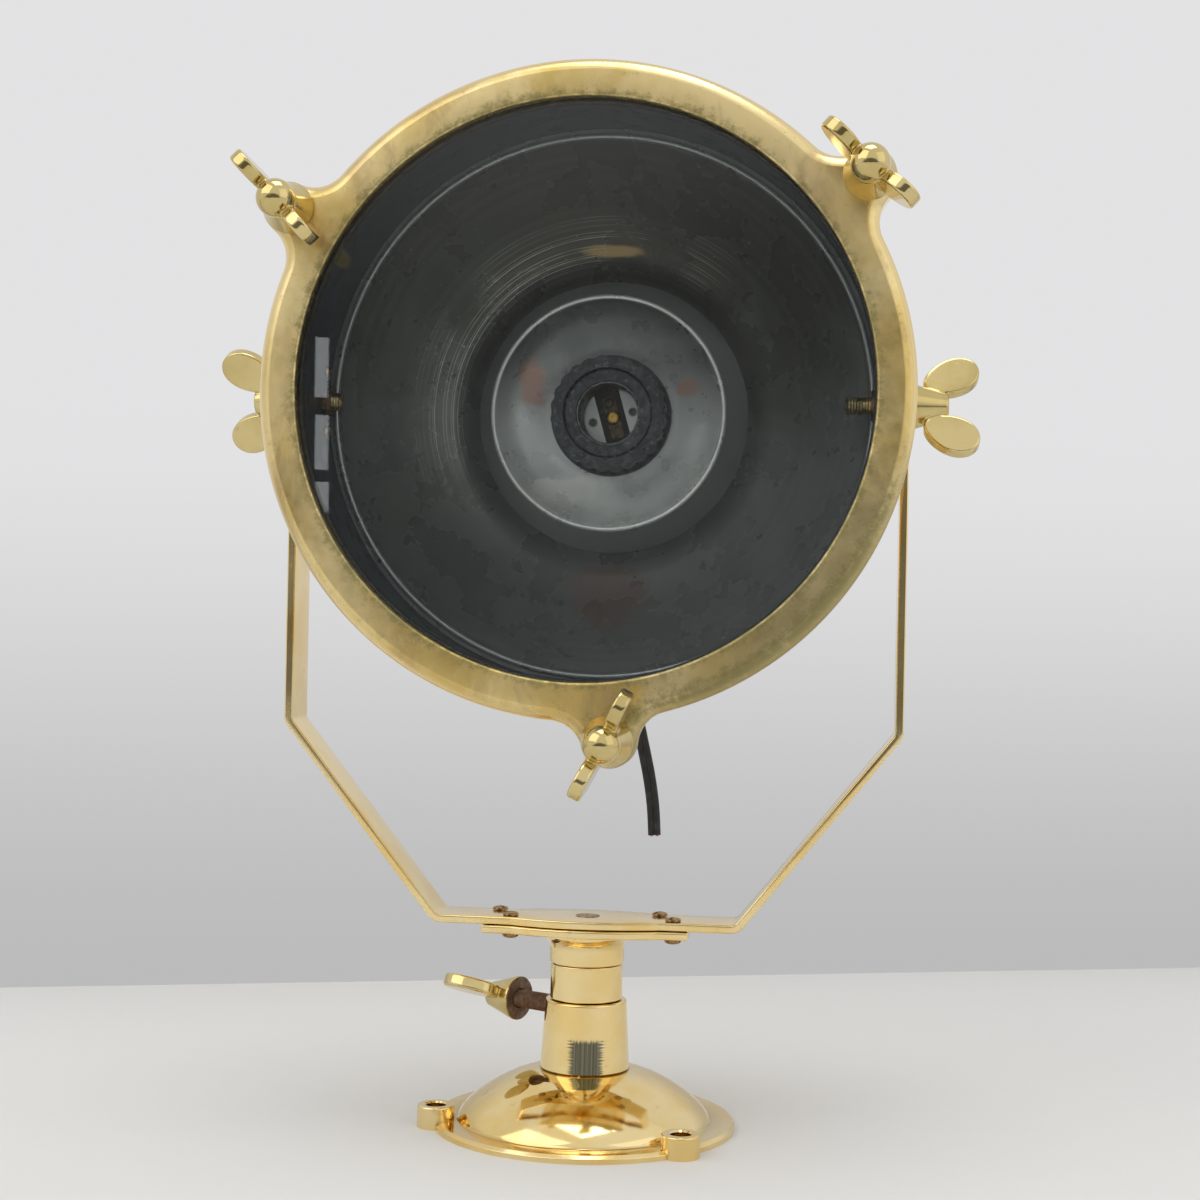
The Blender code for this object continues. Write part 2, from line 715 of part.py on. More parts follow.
def swollen_bar(half_length, half_width, swell):
    """A bar seen from above whose long edges bow outwards round the neck."""
    reach = PLATE_SWELL_HALF_SPAN
    radius = (reach ** 2 + swell ** 2) / (2 * swell)
    spread = math.degrees(math.asin(reach / radius))
    centre = half_width + swell - radius
    front = arc((0, -centre), radius, -90 - spread, -90 + spread, SWELL_STEPS)
    back = arc((0, centre), radius, 90 - spread, 90 + spread, SWELL_STEPS)
    return (
        [(-half_length, -half_width)] + front + [(half_length, -half_width)]
        + [(half_length, half_width)] + back + [(-half_length, half_width)]
    )


def make_swivel_plate(yoke):
    """The swivelling casting: spigot and threaded end, flared neck, and the plate under the strap."""
    neck_bottom = SLEEVE_TOP_HEIGHT + FIT_GAP
    plate_top = PLATE_BOTTOM_HEIGHT + PLATE_THICKNESS
    flare_radius = NECK_RADIUS + NECK_FLARE_REACH
    flare = superellipse(
        (NECK_RADIUS, PLATE_BOTTOM_HEIGHT - NECK_FLARE_HEIGHT), (flare_radius, PLATE_BOTTOM_HEIGHT),
        FLARE_SHARE, FLARE_STEPS,
    )
    neck = [
        (0, SPIGOT_STUD_END_HEIGHT),
        (SPIGOT_STUD_RADIUS, SPIGOT_STUD_END_HEIGHT),
        (SPIGOT_STUD_RADIUS, COLLAR_BOSS_BOTTOM),
        (SPIGOT_RADIUS, COLLAR_BOSS_BOTTOM),
        (SPIGOT_RADIUS, neck_bottom),
        (NECK_RADIUS - EDGE_ROUND, neck_bottom),
        (NECK_RADIUS, neck_bottom + EDGE_ROUND),
    ]
    inside_plate = PLATE_BOTTOM_HEIGHT + PLATE_THICKNESS / 2
    neck += flare + [(flare_radius, inside_plate), (0, inside_plate)]
    plate = add_piece("swivel_plate", turned("swivel_plate", neck, CUP_FACETS), "polished_brass", yoke)
    trim_outline = swollen_bar(PLATE_LENGTH / 2, PLATE_WIDTH / 2 - EDGE_ROUND, PLATE_SWELL)
    trim = prism("plate_trim", trim_outline, 0, plate_top)
    combine(plate, add_guide("plate_trim", trim, yoke), "INTERSECT")
    outline = swollen_bar(PLATE_LENGTH / 2, PLATE_WIDTH / 2, PLATE_SWELL)
    bar = prism("plate_bar", outline, PLATE_BOTTOM_HEIGHT, plate_top)
    combine(plate, add_guide("plate_bar", bar, yoke), "UNION")
    holes = [
        (x, y, SCREW_RADIUS + HOLE_GAP, PLATE_BOTTOM_HEIGHT - CUT_OVERRUN, plate_top + CUT_OVERRUN)
        for x, y in screw_places()
    ]
    combine(plate, add_guide("plate_holes", rods("plate_holes", holes, TINY_FACETS), yoke), "DIFFERENCE")
    well = strap_top() - CENTRE_SCREW_DEPTH - FIT_GAP
    hole = [(0, 0, CENTRE_SCREW_SHANK_RADIUS + HOLE_GAP, well, plate_top + CUT_OVERRUN)]
    combine(plate, add_guide("plate_well", rods("plate_well", hole, NUT_FACETS), yoke), "DIFFERENCE")


def strap_bottom():
    return PLATE_BOTTOM_HEIGHT + PLATE_THICKNESS + FIT_GAP


def strap_top():
    return strap_bottom() + STRAP_THICKNESS


def screw_places():
    """Front pair, then rear pair, staggered as the holes were drilled."""
    front = (SCREW_FRONT_SHIFT, -SCREW_DEPTH_OFFSET)
    rear = (SCREW_REAR_SHIFT, SCREW_DEPTH_OFFSET)
    return [(shift + side * SCREW_HALF_SPAN, y) for shift, y in (front, rear) for side in (-1, 1)]


def rounded_corner(before, corner, after, radius, steps):
    """Arc points that round a corner of a path."""
    back = (Vector(before) - Vector(corner)).normalized()
    ahead = (Vector(after) - Vector(corner)).normalized()
    half = back.angle(ahead) / 2
    centre = Vector(corner) + (back + ahead).normalized() * radius / math.sin(half)
    first = Vector(corner) + back * radius / math.tan(half) - centre
    last = Vector(corner) + ahead * radius / math.tan(half) - centre
    start = math.atan2(first.y, first.x)
    turn = (math.atan2(last.y, last.x) - start + math.pi) % math.tau - math.pi
    return [
        centre + Vector((math.cos(start + turn * i / steps), math.sin(start + turn * i / steps))) * radius
        for i in range(steps + 1)
    ]


def strap_path(half_span, floor, floor_half_span, shoulder, bend):
    """One face of the strap in the XZ plane, left tip to right tip, as (x, z, half width)."""
    half_width = STRAP_WIDTH / 2
    corners = [(-half_span, TILT_HEIGHT), (-half_span, shoulder), (-floor_half_span, floor), (0, floor)]
    left = []
    for step in range(STRAP_TIP_STEPS, -1, -1):
        angle = math.radians(STRAP_TIP_ANGLE) * step / STRAP_TIP_STEPS
        rise = half_width * math.sin(angle)
        left.append((-half_span, TILT_HEIGHT + rise, half_width * math.cos(angle)))
    for index in (1, 2):
        bent = rounded_corner(*corners[index - 1:index + 2], bend, STRAP_BEND_STEPS)
        left += [(at.x, at.y, half_width) for at in bent]
    for step in range(SWELL_STEPS):
        share = step / SWELL_STEPS
        swell = STRAP_SWELL * (1 - (1 - share) ** 2)
        left.append((-PLATE_SWELL_HALF_SPAN * (1 - share), floor, half_width + swell))
    middle = [(0, floor, half_width + STRAP_SWELL)]
    return left + middle + [(-x, z, width) for x, z, width in reversed(left)]


def make_strap(yoke):
    outer_half = YOKE_INNER_HALF_SPAN + STRAP_THICKNESS
    rise = STRAP_SHOULDER_HEIGHT - strap_bottom()
    run = outer_half - STRAP_FLOOR_HALF_SPAN
    slope = math.atan2(rise, run)
    shift_floor = STRAP_THICKNESS * math.tan(slope / 2)
    shift_shoulder = STRAP_THICKNESS * math.tan((math.pi / 2 - slope) / 2)
    outer = strap_path(
        outer_half, strap_bottom(), STRAP_FLOOR_HALF_SPAN, STRAP_SHOULDER_HEIGHT,
        STRAP_BEND_RADIUS + STRAP_THICKNESS,
    )
    inner = strap_path(
        YOKE_INNER_HALF_SPAN, strap_top(), STRAP_FLOOR_HALF_SPAN - shift_floor,
        STRAP_SHOULDER_HEIGHT + shift_shoulder, STRAP_BEND_RADIUS,
    )
    bm = bmesh.new()
    rows = []
    for face in (outer, inner):
        for side in (-1, 1):
            rows.append([bm.verts.new((x, side * width, z)) for x, z, width in face])
    outer_front, outer_back, inner_front, inner_back = rows
    last = len(outer) - 1
    for at in range(last):
        after = at + 1
        bm.faces.new((outer_front[at], outer_front[after], outer_back[after], outer_back[at]))
        bm.faces.new((inner_front[at], inner_front[after], inner_back[after], inner_back[at]))
        bm.faces.new((outer_front[at], outer_front[after], inner_front[after], inner_front[at]))
        bm.faces.new((outer_back[at], outer_back[after], inner_back[after], inner_back[at]))
    for end in (0, last):
        bm.faces.new((outer_front[end], outer_back[end], inner_back[end], inner_front[end]))
    strap = add_piece("yoke_strap", finished_mesh("yoke_strap", bm), "polished_brass", yoke)

    across = axes_matrix((0, 0, TILT_HEIGHT), (1, 0, 0), (0, 1, 0))
    bores = [
        (0, 0, PIVOT_STUD_RADIUS + FIT_GAP, low - CUT_OVERRUN, low + STRAP_THICKNESS + CUT_OVERRUN)
        for low in (-outer_half, YOKE_INNER_HALF_SPAN)
    ]
    cutter = rods("strap_bores", bores, SMALL_FACETS)
    combine(strap, add_guide("strap_bores", cutter, yoke, across), "DIFFERENCE")

    holes = [
        (x, y, SCREW_RADIUS + HOLE_GAP, strap_bottom() - CUT_OVERRUN, strap_top() + CUT_OVERRUN)
        for x, y in screw_places()
    ]
    combine(strap, add_guide("strap_holes", rods("strap_holes", holes, TINY_FACETS), yoke), "DIFFERENCE")
    cone_low = strap_top() - CENTRE_SCREW_CONE
    sink = [
        (0, strap_bottom() - CUT_OVERRUN),
        (CENTRE_SCREW_SHANK_RADIUS + FIT_GAP, strap_bottom() - CUT_OVERRUN),
        (CENTRE_SCREW_SHANK_RADIUS + FIT_GAP, cone_low - FIT_GAP),
        (CENTRE_SCREW_RADIUS + FIT_GAP, strap_top() - FIT_GAP),
        (CENTRE_SCREW_RADIUS + FIT_GAP, strap_top() + CUT_OVERRUN),
        (0, strap_top() + CUT_OVERRUN),
    ]
    combine(strap, add_guide("strap_sink", turned("strap_sink", sink, SMALL_FACETS), yoke), "DIFFERENCE")


def make_yoke_screws(yoke):
    names = ("front_left", "front_right", "rear_left", "rear_right")
    seat = strap_top() + FIT_GAP
    nut_seat = PLATE_BOTTOM_HEIGHT - FIT_GAP
    screw_end = nut_seat - SCREW_NUT_HEIGHT / 2
    screw = [
        (0, screw_end),
        (SCREW_RADIUS, screw_end),
        (SCREW_RADIUS, seat),
        (SCREW_HEAD_RADIUS, seat),
        (SCREW_HEAD_RADIUS - EDGE_ROUND / 2, seat + SCREW_HEAD_HEIGHT / 2),
        (SCREW_HEAD_RADIUS / 2, seat + SCREW_HEAD_HEIGHT),
        (0, seat + SCREW_HEAD_HEIGHT),
    ]
    nut = [
        (0, screw_end - FIT_GAP),
        (SCREW_RADIUS + FIT_GAP, screw_end - FIT_GAP),
        (SCREW_RADIUS + FIT_GAP, nut_seat),
        (SCREW_NUT_RADIUS, nut_seat),
        (SCREW_NUT_RADIUS - EDGE_ROUND / 2, nut_seat - SCREW_NUT_HEIGHT / 2),
        (SCREW_NUT_RADIUS / 2, nut_seat - SCREW_NUT_HEIGHT),
        (0, nut_seat - SCREW_NUT_HEIGHT),
    ]
    for name, (x, y) in zip(names, screw_places()):
        at = Matrix.Translation((x, y, 0))
        for kind, profile in (("strap_screw", screw), ("strap_nut", nut)):
            mesh = turned(kind, profile, TINY_FACETS)
            piece = add_piece(kind + "_" + name, mesh, "aged_brass", yoke)
            piece.matrix_basis = at

    top = strap_top()
    cone_low = top - CENTRE_SCREW_CONE
    low = top - CENTRE_SCREW_DEPTH
    centre = [
        (0, low),
        (CENTRE_SCREW_SHANK_RADIUS, low),
        (CENTRE_SCREW_SHANK_RADIUS, cone_low),
        (CENTRE_SCREW_RADIUS, top - FIT_GAP),
        (CENTRE_SCREW_RADIUS, top),
        (0, top),
    ]
    screw = add_piece("centre_screw", turned("centre_screw", centre, SMALL_FACETS), "polished_brass", yoke)
    outline = box_outline(2 * (CENTRE_SCREW_RADIUS + CUT_OVERRUN), SCREW_SLOT_WIDTH)
    slot = prism("centre_screw_slot", outline, top - SCREW_SLOT_DEPTH, top + CUT_OVERRUN)
    combine(screw, add_guide("centre_screw_slot", slot, yoke), "DIFFERENCE")


def make_retaining_nut(yoke):
    washer_top = COLLAR_BOSS_BOTTOM - FIT_GAP
    washer_low = washer_top - RETAINING_WASHER_THICKNESS
    bore = SPIGOT_STUD_RADIUS + FIT_GAP
    washer = [
        (bore, washer_low),
        (RETAINING_WASHER_RADIUS, washer_low),
        (RETAINING_WASHER_RADIUS, washer_top),
        (bore, washer_top),
    ]
    add_piece(
        "retaining_washer", turned("retaining_washer", washer, NUT_FACETS, True), "plated_steel", yoke,
    )
    nut_top = washer_low - FIT_GAP
    corner = RETAINING_NUT_FLATS / math.sqrt(3)
    outline = circle_points(corner, 6)
    mesh = prism("retaining_nut", outline, nut_top - RETAINING_NUT_THICKNESS, nut_top)
    nut = add_piece("retaining_nut", mesh, "plated_steel", yoke)
    hole_low = nut_top - RETAINING_NUT_THICKNESS - CUT_OVERRUN
    hole = [(0, 0, SPIGOT_STUD_RADIUS + HOLE_GAP, hole_low, nut_top + CUT_OVERRUN)]
    combine(nut, add_guide("retaining_nut_hole", rods("retaining_nut_hole", hole, SMALL_FACETS), yoke),
            "DIFFERENCE")


# Head

def superellipse(start, end, power, steps):
    """Points from start=(radius, height) to end, leaving start along the height and arriving flat."""
    points = []
    for step in range(steps + 1):
        angle = math.pi / 2 * step / steps
        run = 1 - math.cos(angle) ** (2 / power)
        rise = math.sin(angle) ** (2 / power)
        points.append((start[0] + (end[0] - start[0]) * run, start[1] + (end[1] - start[1]) * rise))
    return points


def make_drum(head):
    """The round band with the flange that the reflector sits on, and the spun tail let into it."""
    outer = DRUM_INNER_RADIUS + DRUM_WALL
    step_radius = DRUM_INNER_RADIUS - SEAT_STEP
    seat_back = SEAT_FORWARD - DRUM_WALL
    flange_bore = step_radius + DRUM_WALL + FIT_GAP
    band = [
        (flange_bore, SEAT_FORWARD),
        (DRUM_INNER_RADIUS, SEAT_FORWARD),
        (DRUM_INNER_RADIUS, DRUM_FRONT),
        (outer, DRUM_FRONT),
        (outer, seat_back),
        (flange_bore, seat_back),
    ]
    drum = add_piece("drum", turned("drum", band, BIG_FACETS, True), "polished_brass", head)
    inside = superellipse(
        (step_radius, SEAT_FORWARD - SEAT_STEP), (DRUM_TAIL_RADIUS, DRUM_TAIL + DRUM_WALL),
        DRUM_DOME_SHARE, DRUM_DOME_STEPS,
    )
    outside = superellipse(
        (step_radius + DRUM_WALL, SEAT_FORWARD - SEAT_STEP), (DRUM_TAIL_RADIUS, DRUM_TAIL),
        DRUM_DOME_SHARE, DRUM_DOME_STEPS,
    )
    inside.reverse()
    profile = [(0, DRUM_TAIL + DRUM_WALL)] + inside + [
        (step_radius, SEAT_FORWARD),
        (step_radius + DRUM_WALL, SEAT_FORWARD),
    ] + outside + [(0, DRUM_TAIL)]
    tail = add_piece("drum_tail", turned("drum_tail", profile, BIG_FACETS), "polished_brass", head)

    across = tilt_across()
    holes = []
    for side in (-1, 1):
        low, high = sorted((side * step_radius, side * (outer + CUT_OVERRUN)))
        holes.append((0, 0, PIVOT_STUD_RADIUS + HOLE_GAP, low, high))
        for offset in (-RIVET_OFFSET, RIVET_OFFSET):
            holes.append((0, offset, RIVET_RADIUS + HOLE_GAP, low, high))
    combine(drum, add_guide("drum_holes", rods("drum_holes", holes, TINY_FACETS), head, across), "DIFFERENCE")
    bolts = [
        (x, y, TAIL_BOLT_RADIUS + HOLE_GAP, DRUM_TAIL - CUT_OVERRUN, DRUM_TAIL + DRUM_WALL + CUT_OVERRUN)
        for x, y in tail_bolt_places()
    ]
    combine(tail, add_guide("tail_holes", rods("tail_holes", bolts, TINY_FACETS), head), "DIFFERENCE")
    gland = (0, 0, GLAND_RADIUS + HOLE_GAP, -GLAND_LENGTH - CUT_OVERRUN, GLAND_LENGTH)
    hole = rods("gland_hole", [gland], SMALL_FACETS)
    combine(tail, add_guide("gland_hole", hole, head, gland_matrix()), "DIFFERENCE")


def tilt_across():
    """In the head's frame: +Z along the tilt axis, +Y up."""
    return axes_matrix((0, 0, 0), (1, 0, 0), (0, 0, -1))


def drum_outer_radius(forward):
    """Outer radius of the spun tail at a place behind the reflector's seat."""
    start = SEAT_FORWARD - SEAT_STEP
    rise = min(1, max(0, (forward - start) / (DRUM_TAIL - start)))
    run = 1 - (1 - rise ** DRUM_DOME_SHARE) ** (1 / DRUM_DOME_SHARE)
    wide = DRUM_INNER_RADIUS - SEAT_STEP + DRUM_WALL
    return wide + (DRUM_TAIL_RADIUS - wide) * run


def gland_matrix():
    """In the head's frame: origin on the drum's skin, +Z straight down from the drum."""
    radius = drum_outer_radius(GLAND_FORWARD)
    x, y = polar(radius, GLAND_ANGLE)
    return axes_matrix((x, y, GLAND_FORWARD), (x, y, 0), (0, 0, 1))


def make_front_ring(head):
    stations = lug_ring_outline(
        FRONT_RING_RADIUS, STUD_CIRCLE_RADIUS, RING_LUG_RADIUS, RING_LUG_FILLET,
        STUD_ANGLES.values(), BIG_FACETS,
    )
    bore = DRUM_INNER_RADIUS + DRUM_WALL + HOLE_GAP
    outer = [
        (0, FRONT_RING_BACK), (0, DRUM_FRONT - EDGE_ROUND), (EDGE_ROUND, DRUM_FRONT),
    ]
    inner = [(bore, DRUM_FRONT), (bore, FRONT_RING_BACK)]
    ring = add_piece("front_ring", lofted_ring("front_ring", stations, outer, inner), "polished_brass", head)
    holes = [
        (*polar(STUD_CIRCLE_RADIUS, angle), STUD_RADIUS + HOLE_GAP,
         FRONT_RING_BACK - CUT_OVERRUN, DRUM_FRONT + CUT_OVERRUN)
        for angle in STUD_ANGLES.values()
    ]
    cutter = rods("ring_stud_holes", holes, TINY_FACETS)
    combine(ring, add_guide("ring_stud_holes", cutter, head), "DIFFERENCE")


def make_studs(head):
    seat = FRONT_RING_BACK - FIT_GAP
    stud = [
        (0, seat - STUD_HEAD_THICKNESS),
        (STUD_HEAD_RADIUS, seat - STUD_HEAD_THICKNESS),
        (STUD_HEAD_RADIUS, seat),
        (STUD_RADIUS, seat),
        (STUD_RADIUS, STUD_FRONT - EDGE_ROUND),
        (STUD_RADIUS - EDGE_ROUND, STUD_FRONT),
        (0, STUD_FRONT),
    ]
    for name, angle in STUD_ANGLES.items():
        piece = add_piece("bezel_stud_" + name, turned("bezel_stud", stud, TINY_FACETS), "satin_brass", head)
        piece.matrix_basis = Matrix.Translation((*polar(STUD_CIRCLE_RADIUS, angle), 0))


def make_reflector(head):
    """A parabolic dish between its rolled rim and the hole round the lampholder cup."""
    outer = DRUM_INNER_RADIUS - FIT_GAP
    seat = SEAT_FORWARD + FIT_GAP
    span = REFLECTOR_RADIUS ** 2 - REFLECTOR_HOLE_RADIUS ** 2
    depth = REFLECTOR_RIM_FORWARD - REFLECTOR_HOLE_FORWARD
    dish = []
    for step in range(REFLECTOR_STEPS):
        radius = REFLECTOR_HOLE_RADIUS + (REFLECTOR_RADIUS - REFLECTOR_HOLE_RADIUS) * step / REFLECTOR_STEPS
        rise = (radius ** 2 - REFLECTOR_HOLE_RADIUS ** 2) / span
        dish.append((radius, REFLECTOR_HOLE_FORWARD + depth * rise))
    back = [(radius, height - REFLECTOR_SHEET) for radius, height in dish]
    meeting = (seat + REFLECTOR_SHEET - REFLECTOR_HOLE_FORWARD) / depth
    meeting_radius = math.sqrt(REFLECTOR_HOLE_RADIUS ** 2 + span * meeting)
    bead_centre = (REFLECTOR_RADIUS + REFLECTOR_BEAD, REFLECTOR_RIM_FORWARD)
    bead = arc(bead_centre, REFLECTOR_BEAD, 180, 0, REFLECTOR_BEAD_STEPS)
    profile = dish + bead + [
        (outer, seat + REFLECTOR_SHEET),
        (outer, seat),
        (meeting_radius, seat),
    ]
    profile += list(reversed(back))
    add_piece("reflector", turned("reflector", profile, BIG_FACETS, True), "dark_mirror", head)


def make_cup(head):
    """A small bowl clamped between the lampholder's shoulder and its shade ring."""
    bore = HOLDER_THREAD_RADIUS + FIT_GAP
    rim = (CUP_RIM_RADIUS, CUP_RIM_FORWARD)
    front = superellipse(rim, (CUP_FLOOR_RADIUS, CUP_FLOOR_FORWARD), CUP_ROUND_SHARE, CUP_STEPS)
    back = superellipse(
        (CUP_RIM_RADIUS + CUP_SHEET, CUP_RIM_FORWARD), (CUP_FLOOR_RADIUS, CUP_FLOOR_FORWARD - CUP_SHEET),
        CUP_ROUND_SHARE, CUP_STEPS,
    )
    bead = arc((CUP_RIM_RADIUS + CUP_BEAD, CUP_RIM_FORWARD), CUP_BEAD, 180, 0, CUP_BEAD_STEPS)
    profile = [(bore, CUP_FLOOR_FORWARD)] + list(reversed(front))[:-1] + bead + back[1:] + [
        (bore, CUP_FLOOR_FORWARD - CUP_SHEET),
    ]
    add_piece("reflector_cup", turned("reflector_cup", profile, CUP_FACETS, True), "cup_metal", head)


def make_shade_ring(head):
    """The knurled clamping ring: its rim is a wave of knurls, its front lip is plain."""
    bore = HOLDER_THREAD_RADIUS + FIT_GAP
    back = CUP_FLOOR_FORWARD + FIT_GAP
    facets = SHADE_RING_KNURLS * KNURL_STEPS
    bm = bmesh.new()
    loops = []
    for index in range(facets):
        angle = math.tau * index / facets
        wave = (1 - math.cos(angle * SHADE_RING_KNURLS)) / 2
        knurl = SHADE_RING_RADIUS - SHADE_RING_LIP / 2 - SHADE_RING_KNURL_DEPTH * wave
        section = [
            (bore, back),
            (SHADE_RING_RADIUS, back),
            (SHADE_RING_RADIUS, back + SHADE_RING_LIP),
            (knurl, back + SHADE_RING_LIP),
            (knurl, SHADE_RING_FRONT),
            (bore, SHADE_RING_FRONT),
        ]
        loops.append([
            bm.verts.new((radius * math.cos(angle), radius * math.sin(angle), height))
            for radius, height in section
        ])
    for index, loop in enumerate(loops):
        following = loops[(index + 1) % len(loops)]
        for place in range(len(loop)):
            after = (place + 1) % len(loop)
            bm.faces.new((loop[place], following[place], following[after], loop[after]))
    add_piece("shade_ring", finished_mesh("shade_ring", bm), "bakelite", head)


def make_lampholder(head):
    bore = SHELL_RADIUS + FIT_GAP
    bore_floor = SHELL_FRONT - SHELL_DEPTH - FIT_GAP
    shoulder = CUP_FLOOR_FORWARD - CUP_SHEET - FIT_GAP
    body = [
        (0, bore_floor),
        (bore, bore_floor),
        (bore, HOLDER_FRONT),
        (HOLDER_THREAD_RADIUS - EDGE_ROUND, HOLDER_FRONT),
        (HOLDER_THREAD_RADIUS, HOLDER_FRONT - EDGE_ROUND),
        (HOLDER_THREAD_RADIUS, shoulder),
        (HOLDER_BODY_RADIUS, shoulder),
        (HOLDER_BODY_RADIUS, HOLDER_BACK + HOLDER_TAPER),
        (HOLDER_BODY_RADIUS - HOLDER_TAPER, HOLDER_BACK),
        (0, HOLDER_BACK),
    ]
    add_piece("lampholder_body", turned("lampholder_body", body, CUP_FACETS), "bakelite", head)

    shell_back = SHELL_FRONT - SHELL_DEPTH
    inner = SHELL_RADIUS - SHELL_WALL
    pitch = (SHELL_DEPTH - PORCELAIN_THICKNESS) / SHELL_THREADS
    wave_in = []
    wave_out = []
    for index in range(2 * SHELL_THREADS + 1):
        height = SHELL_FRONT - pitch * index / 2
        dip = SHELL_THREAD_DEPTH if index % 2 else 0
        wave_in.append((inner - dip, height))
        wave_out.append((SHELL_RADIUS - dip, height))
    shell = wave_in + [(inner, shell_back), (SHELL_RADIUS, shell_back)] + list(reversed(wave_out))
    add_piece("lamp_shell", turned("lamp_shell", shell, SMALL_FACETS, True), "satin_brass", head)

    slot_turn = Matrix.Rotation(math.radians(CONTACT_SLOT_TURN), 4, "Z")
    seat = bore_floor + FIT_GAP
    face = seat + PORCELAIN_THICKNESS - FIT_GAP
    porcelain_radius = inner - SHELL_THREAD_DEPTH - FIT_GAP
    disc = [
        (0, seat),
        (porcelain_radius, seat),
        (porcelain_radius, face - EDGE_ROUND),
        (porcelain_radius - EDGE_ROUND, face),
        (0, face),
    ]
    insert = turned("porcelain_insert", disc, SMALL_FACETS)
    porcelain = add_piece("porcelain_insert", insert, "porcelain", head)
    slot_floor = face - CONTACT_SLOT_DEPTH
    slot = prism(
        "porcelain_slot", box_outline(CONTACT_SLOT_WIDTH, 2 * (porcelain_radius + CUT_OVERRUN)),
        slot_floor, face + CUT_OVERRUN,
    )
    combine(porcelain, add_guide("porcelain_slot", slot, head, slot_turn), "DIFFERENCE")
    holes = rods(
        "porcelain_holes",
        [(side * PORCELAIN_HOLE_PLACE, 0, PORCELAIN_HOLE_RADIUS, slot_floor, face + CUT_OVERRUN)
         for side in (-1, 1)], TINY_FACETS,
    )
    combine(porcelain, add_guide("porcelain_holes", holes, head, slot_turn), "DIFFERENCE")

    strip_low = slot_floor + FIT_GAP
    strip_top = strip_low + CONTACT_STRIP_THICKNESS
    strip = prism(
        "contact_strip", box_outline(CONTACT_STRIP_WIDTH, CONTACT_STRIP_LENGTH), strip_low, strip_top,
    )
    bar = add_piece("contact_strip", strip, "aged_brass", head, CONTACT_SLOT_TURN)
    button = rods(
        "contact_button", [(0, 0, CONTACT_BUTTON_RADIUS, strip_low, strip_top + CONTACT_BUTTON_HEIGHT)],
        NUT_FACETS,
    )
    combine(bar, add_guide("contact_button", button, head, slot_turn), "UNION")
    head_low = strip_top + FIT_GAP
    screw = [
        (0, head_low),
        (CONTACT_SCREW_RADIUS, head_low),
        (CONTACT_SCREW_RADIUS, head_low + CONTACT_SCREW_HEIGHT / 2),
        (CONTACT_SCREW_RADIUS / 2, head_low + CONTACT_SCREW_HEIGHT),
        (0, head_low + CONTACT_SCREW_HEIGHT),
    ]
    piece = add_piece("contact_screw", turned("contact_screw", screw, TINY_FACETS), "plated_steel", head)
    piece.matrix_basis = slot_turn @ Matrix.Translation((0, CONTACT_SCREW_PLACE, 0))


def tail_bolt_places():
    return [polar(TAIL_BOLT_PLACE, angle) for angle in (0, 180)]


def make_bracket(head):
    """The plate that carries the lampholder on the drum's flat tail, with its two bolts."""
    low = DRUM_TAIL + DRUM_WALL + FIT_GAP
    high = HOLDER_BACK - FIT_GAP
    waist = HOLDER_BODY_RADIUS - HOLDER_TAPER
    profile = [
        (0, low),
        (BRACKET_RADIUS, low),
        (BRACKET_RADIUS, low + BRACKET_THICKNESS),
        (waist, low + BRACKET_THICKNESS),
        (waist, high),
        (0, high),
    ]
    bracket = add_piece("holder_bracket", turned("holder_bracket", profile, CUP_FACETS), "plated_steel", head)
    holes = [
        (x, y, TAIL_BOLT_RADIUS + HOLE_GAP, low - CUT_OVERRUN, high + CUT_OVERRUN)
        for x, y in tail_bolt_places()
    ]
    cutter = rods("bracket_holes", holes, TINY_FACETS)
    combine(bracket, add_guide("bracket_holes", cutter, head), "DIFFERENCE")
    seat = DRUM_TAIL - FIT_GAP
    end = low + BRACKET_THICKNESS
    bolt = [
        (0, seat - TAIL_BOLT_HEAD_HEIGHT),
        (TAIL_BOLT_HEAD_RADIUS - EDGE_ROUND, seat - TAIL_BOLT_HEAD_HEIGHT),
        (TAIL_BOLT_HEAD_RADIUS, seat - TAIL_BOLT_HEAD_HEIGHT + EDGE_ROUND),
        (TAIL_BOLT_HEAD_RADIUS, seat),
        (TAIL_BOLT_RADIUS, seat),
        (TAIL_BOLT_RADIUS, end),
        (0, end),
    ]
    for name, (x, y) in zip(("right", "left"), tail_bolt_places()):
        piece = add_piece("tail_bolt_" + name, turned("tail_bolt", bolt, TINY_FACETS), "satin_brass", head)
        piece.matrix_basis = Matrix.Translation((x, y, 0))


def wall_seat(height):
    """How far out a flat piece as high as this can sit inside the faceted drum wall."""
    apothem = DRUM_INNER_RADIUS * math.cos(math.pi / BIG_FACETS)
    return math.sqrt(apothem ** 2 - height ** 2) - FIT_GAP


def tilt_nut_seat(name):
    """How far out the foot of a tilt wing nut stands."""
    return YOKE_INNER_HALF_SPAN + STRAP_THICKNESS + FIT_GAP + TILT_NUT_BACK_OFF[name]


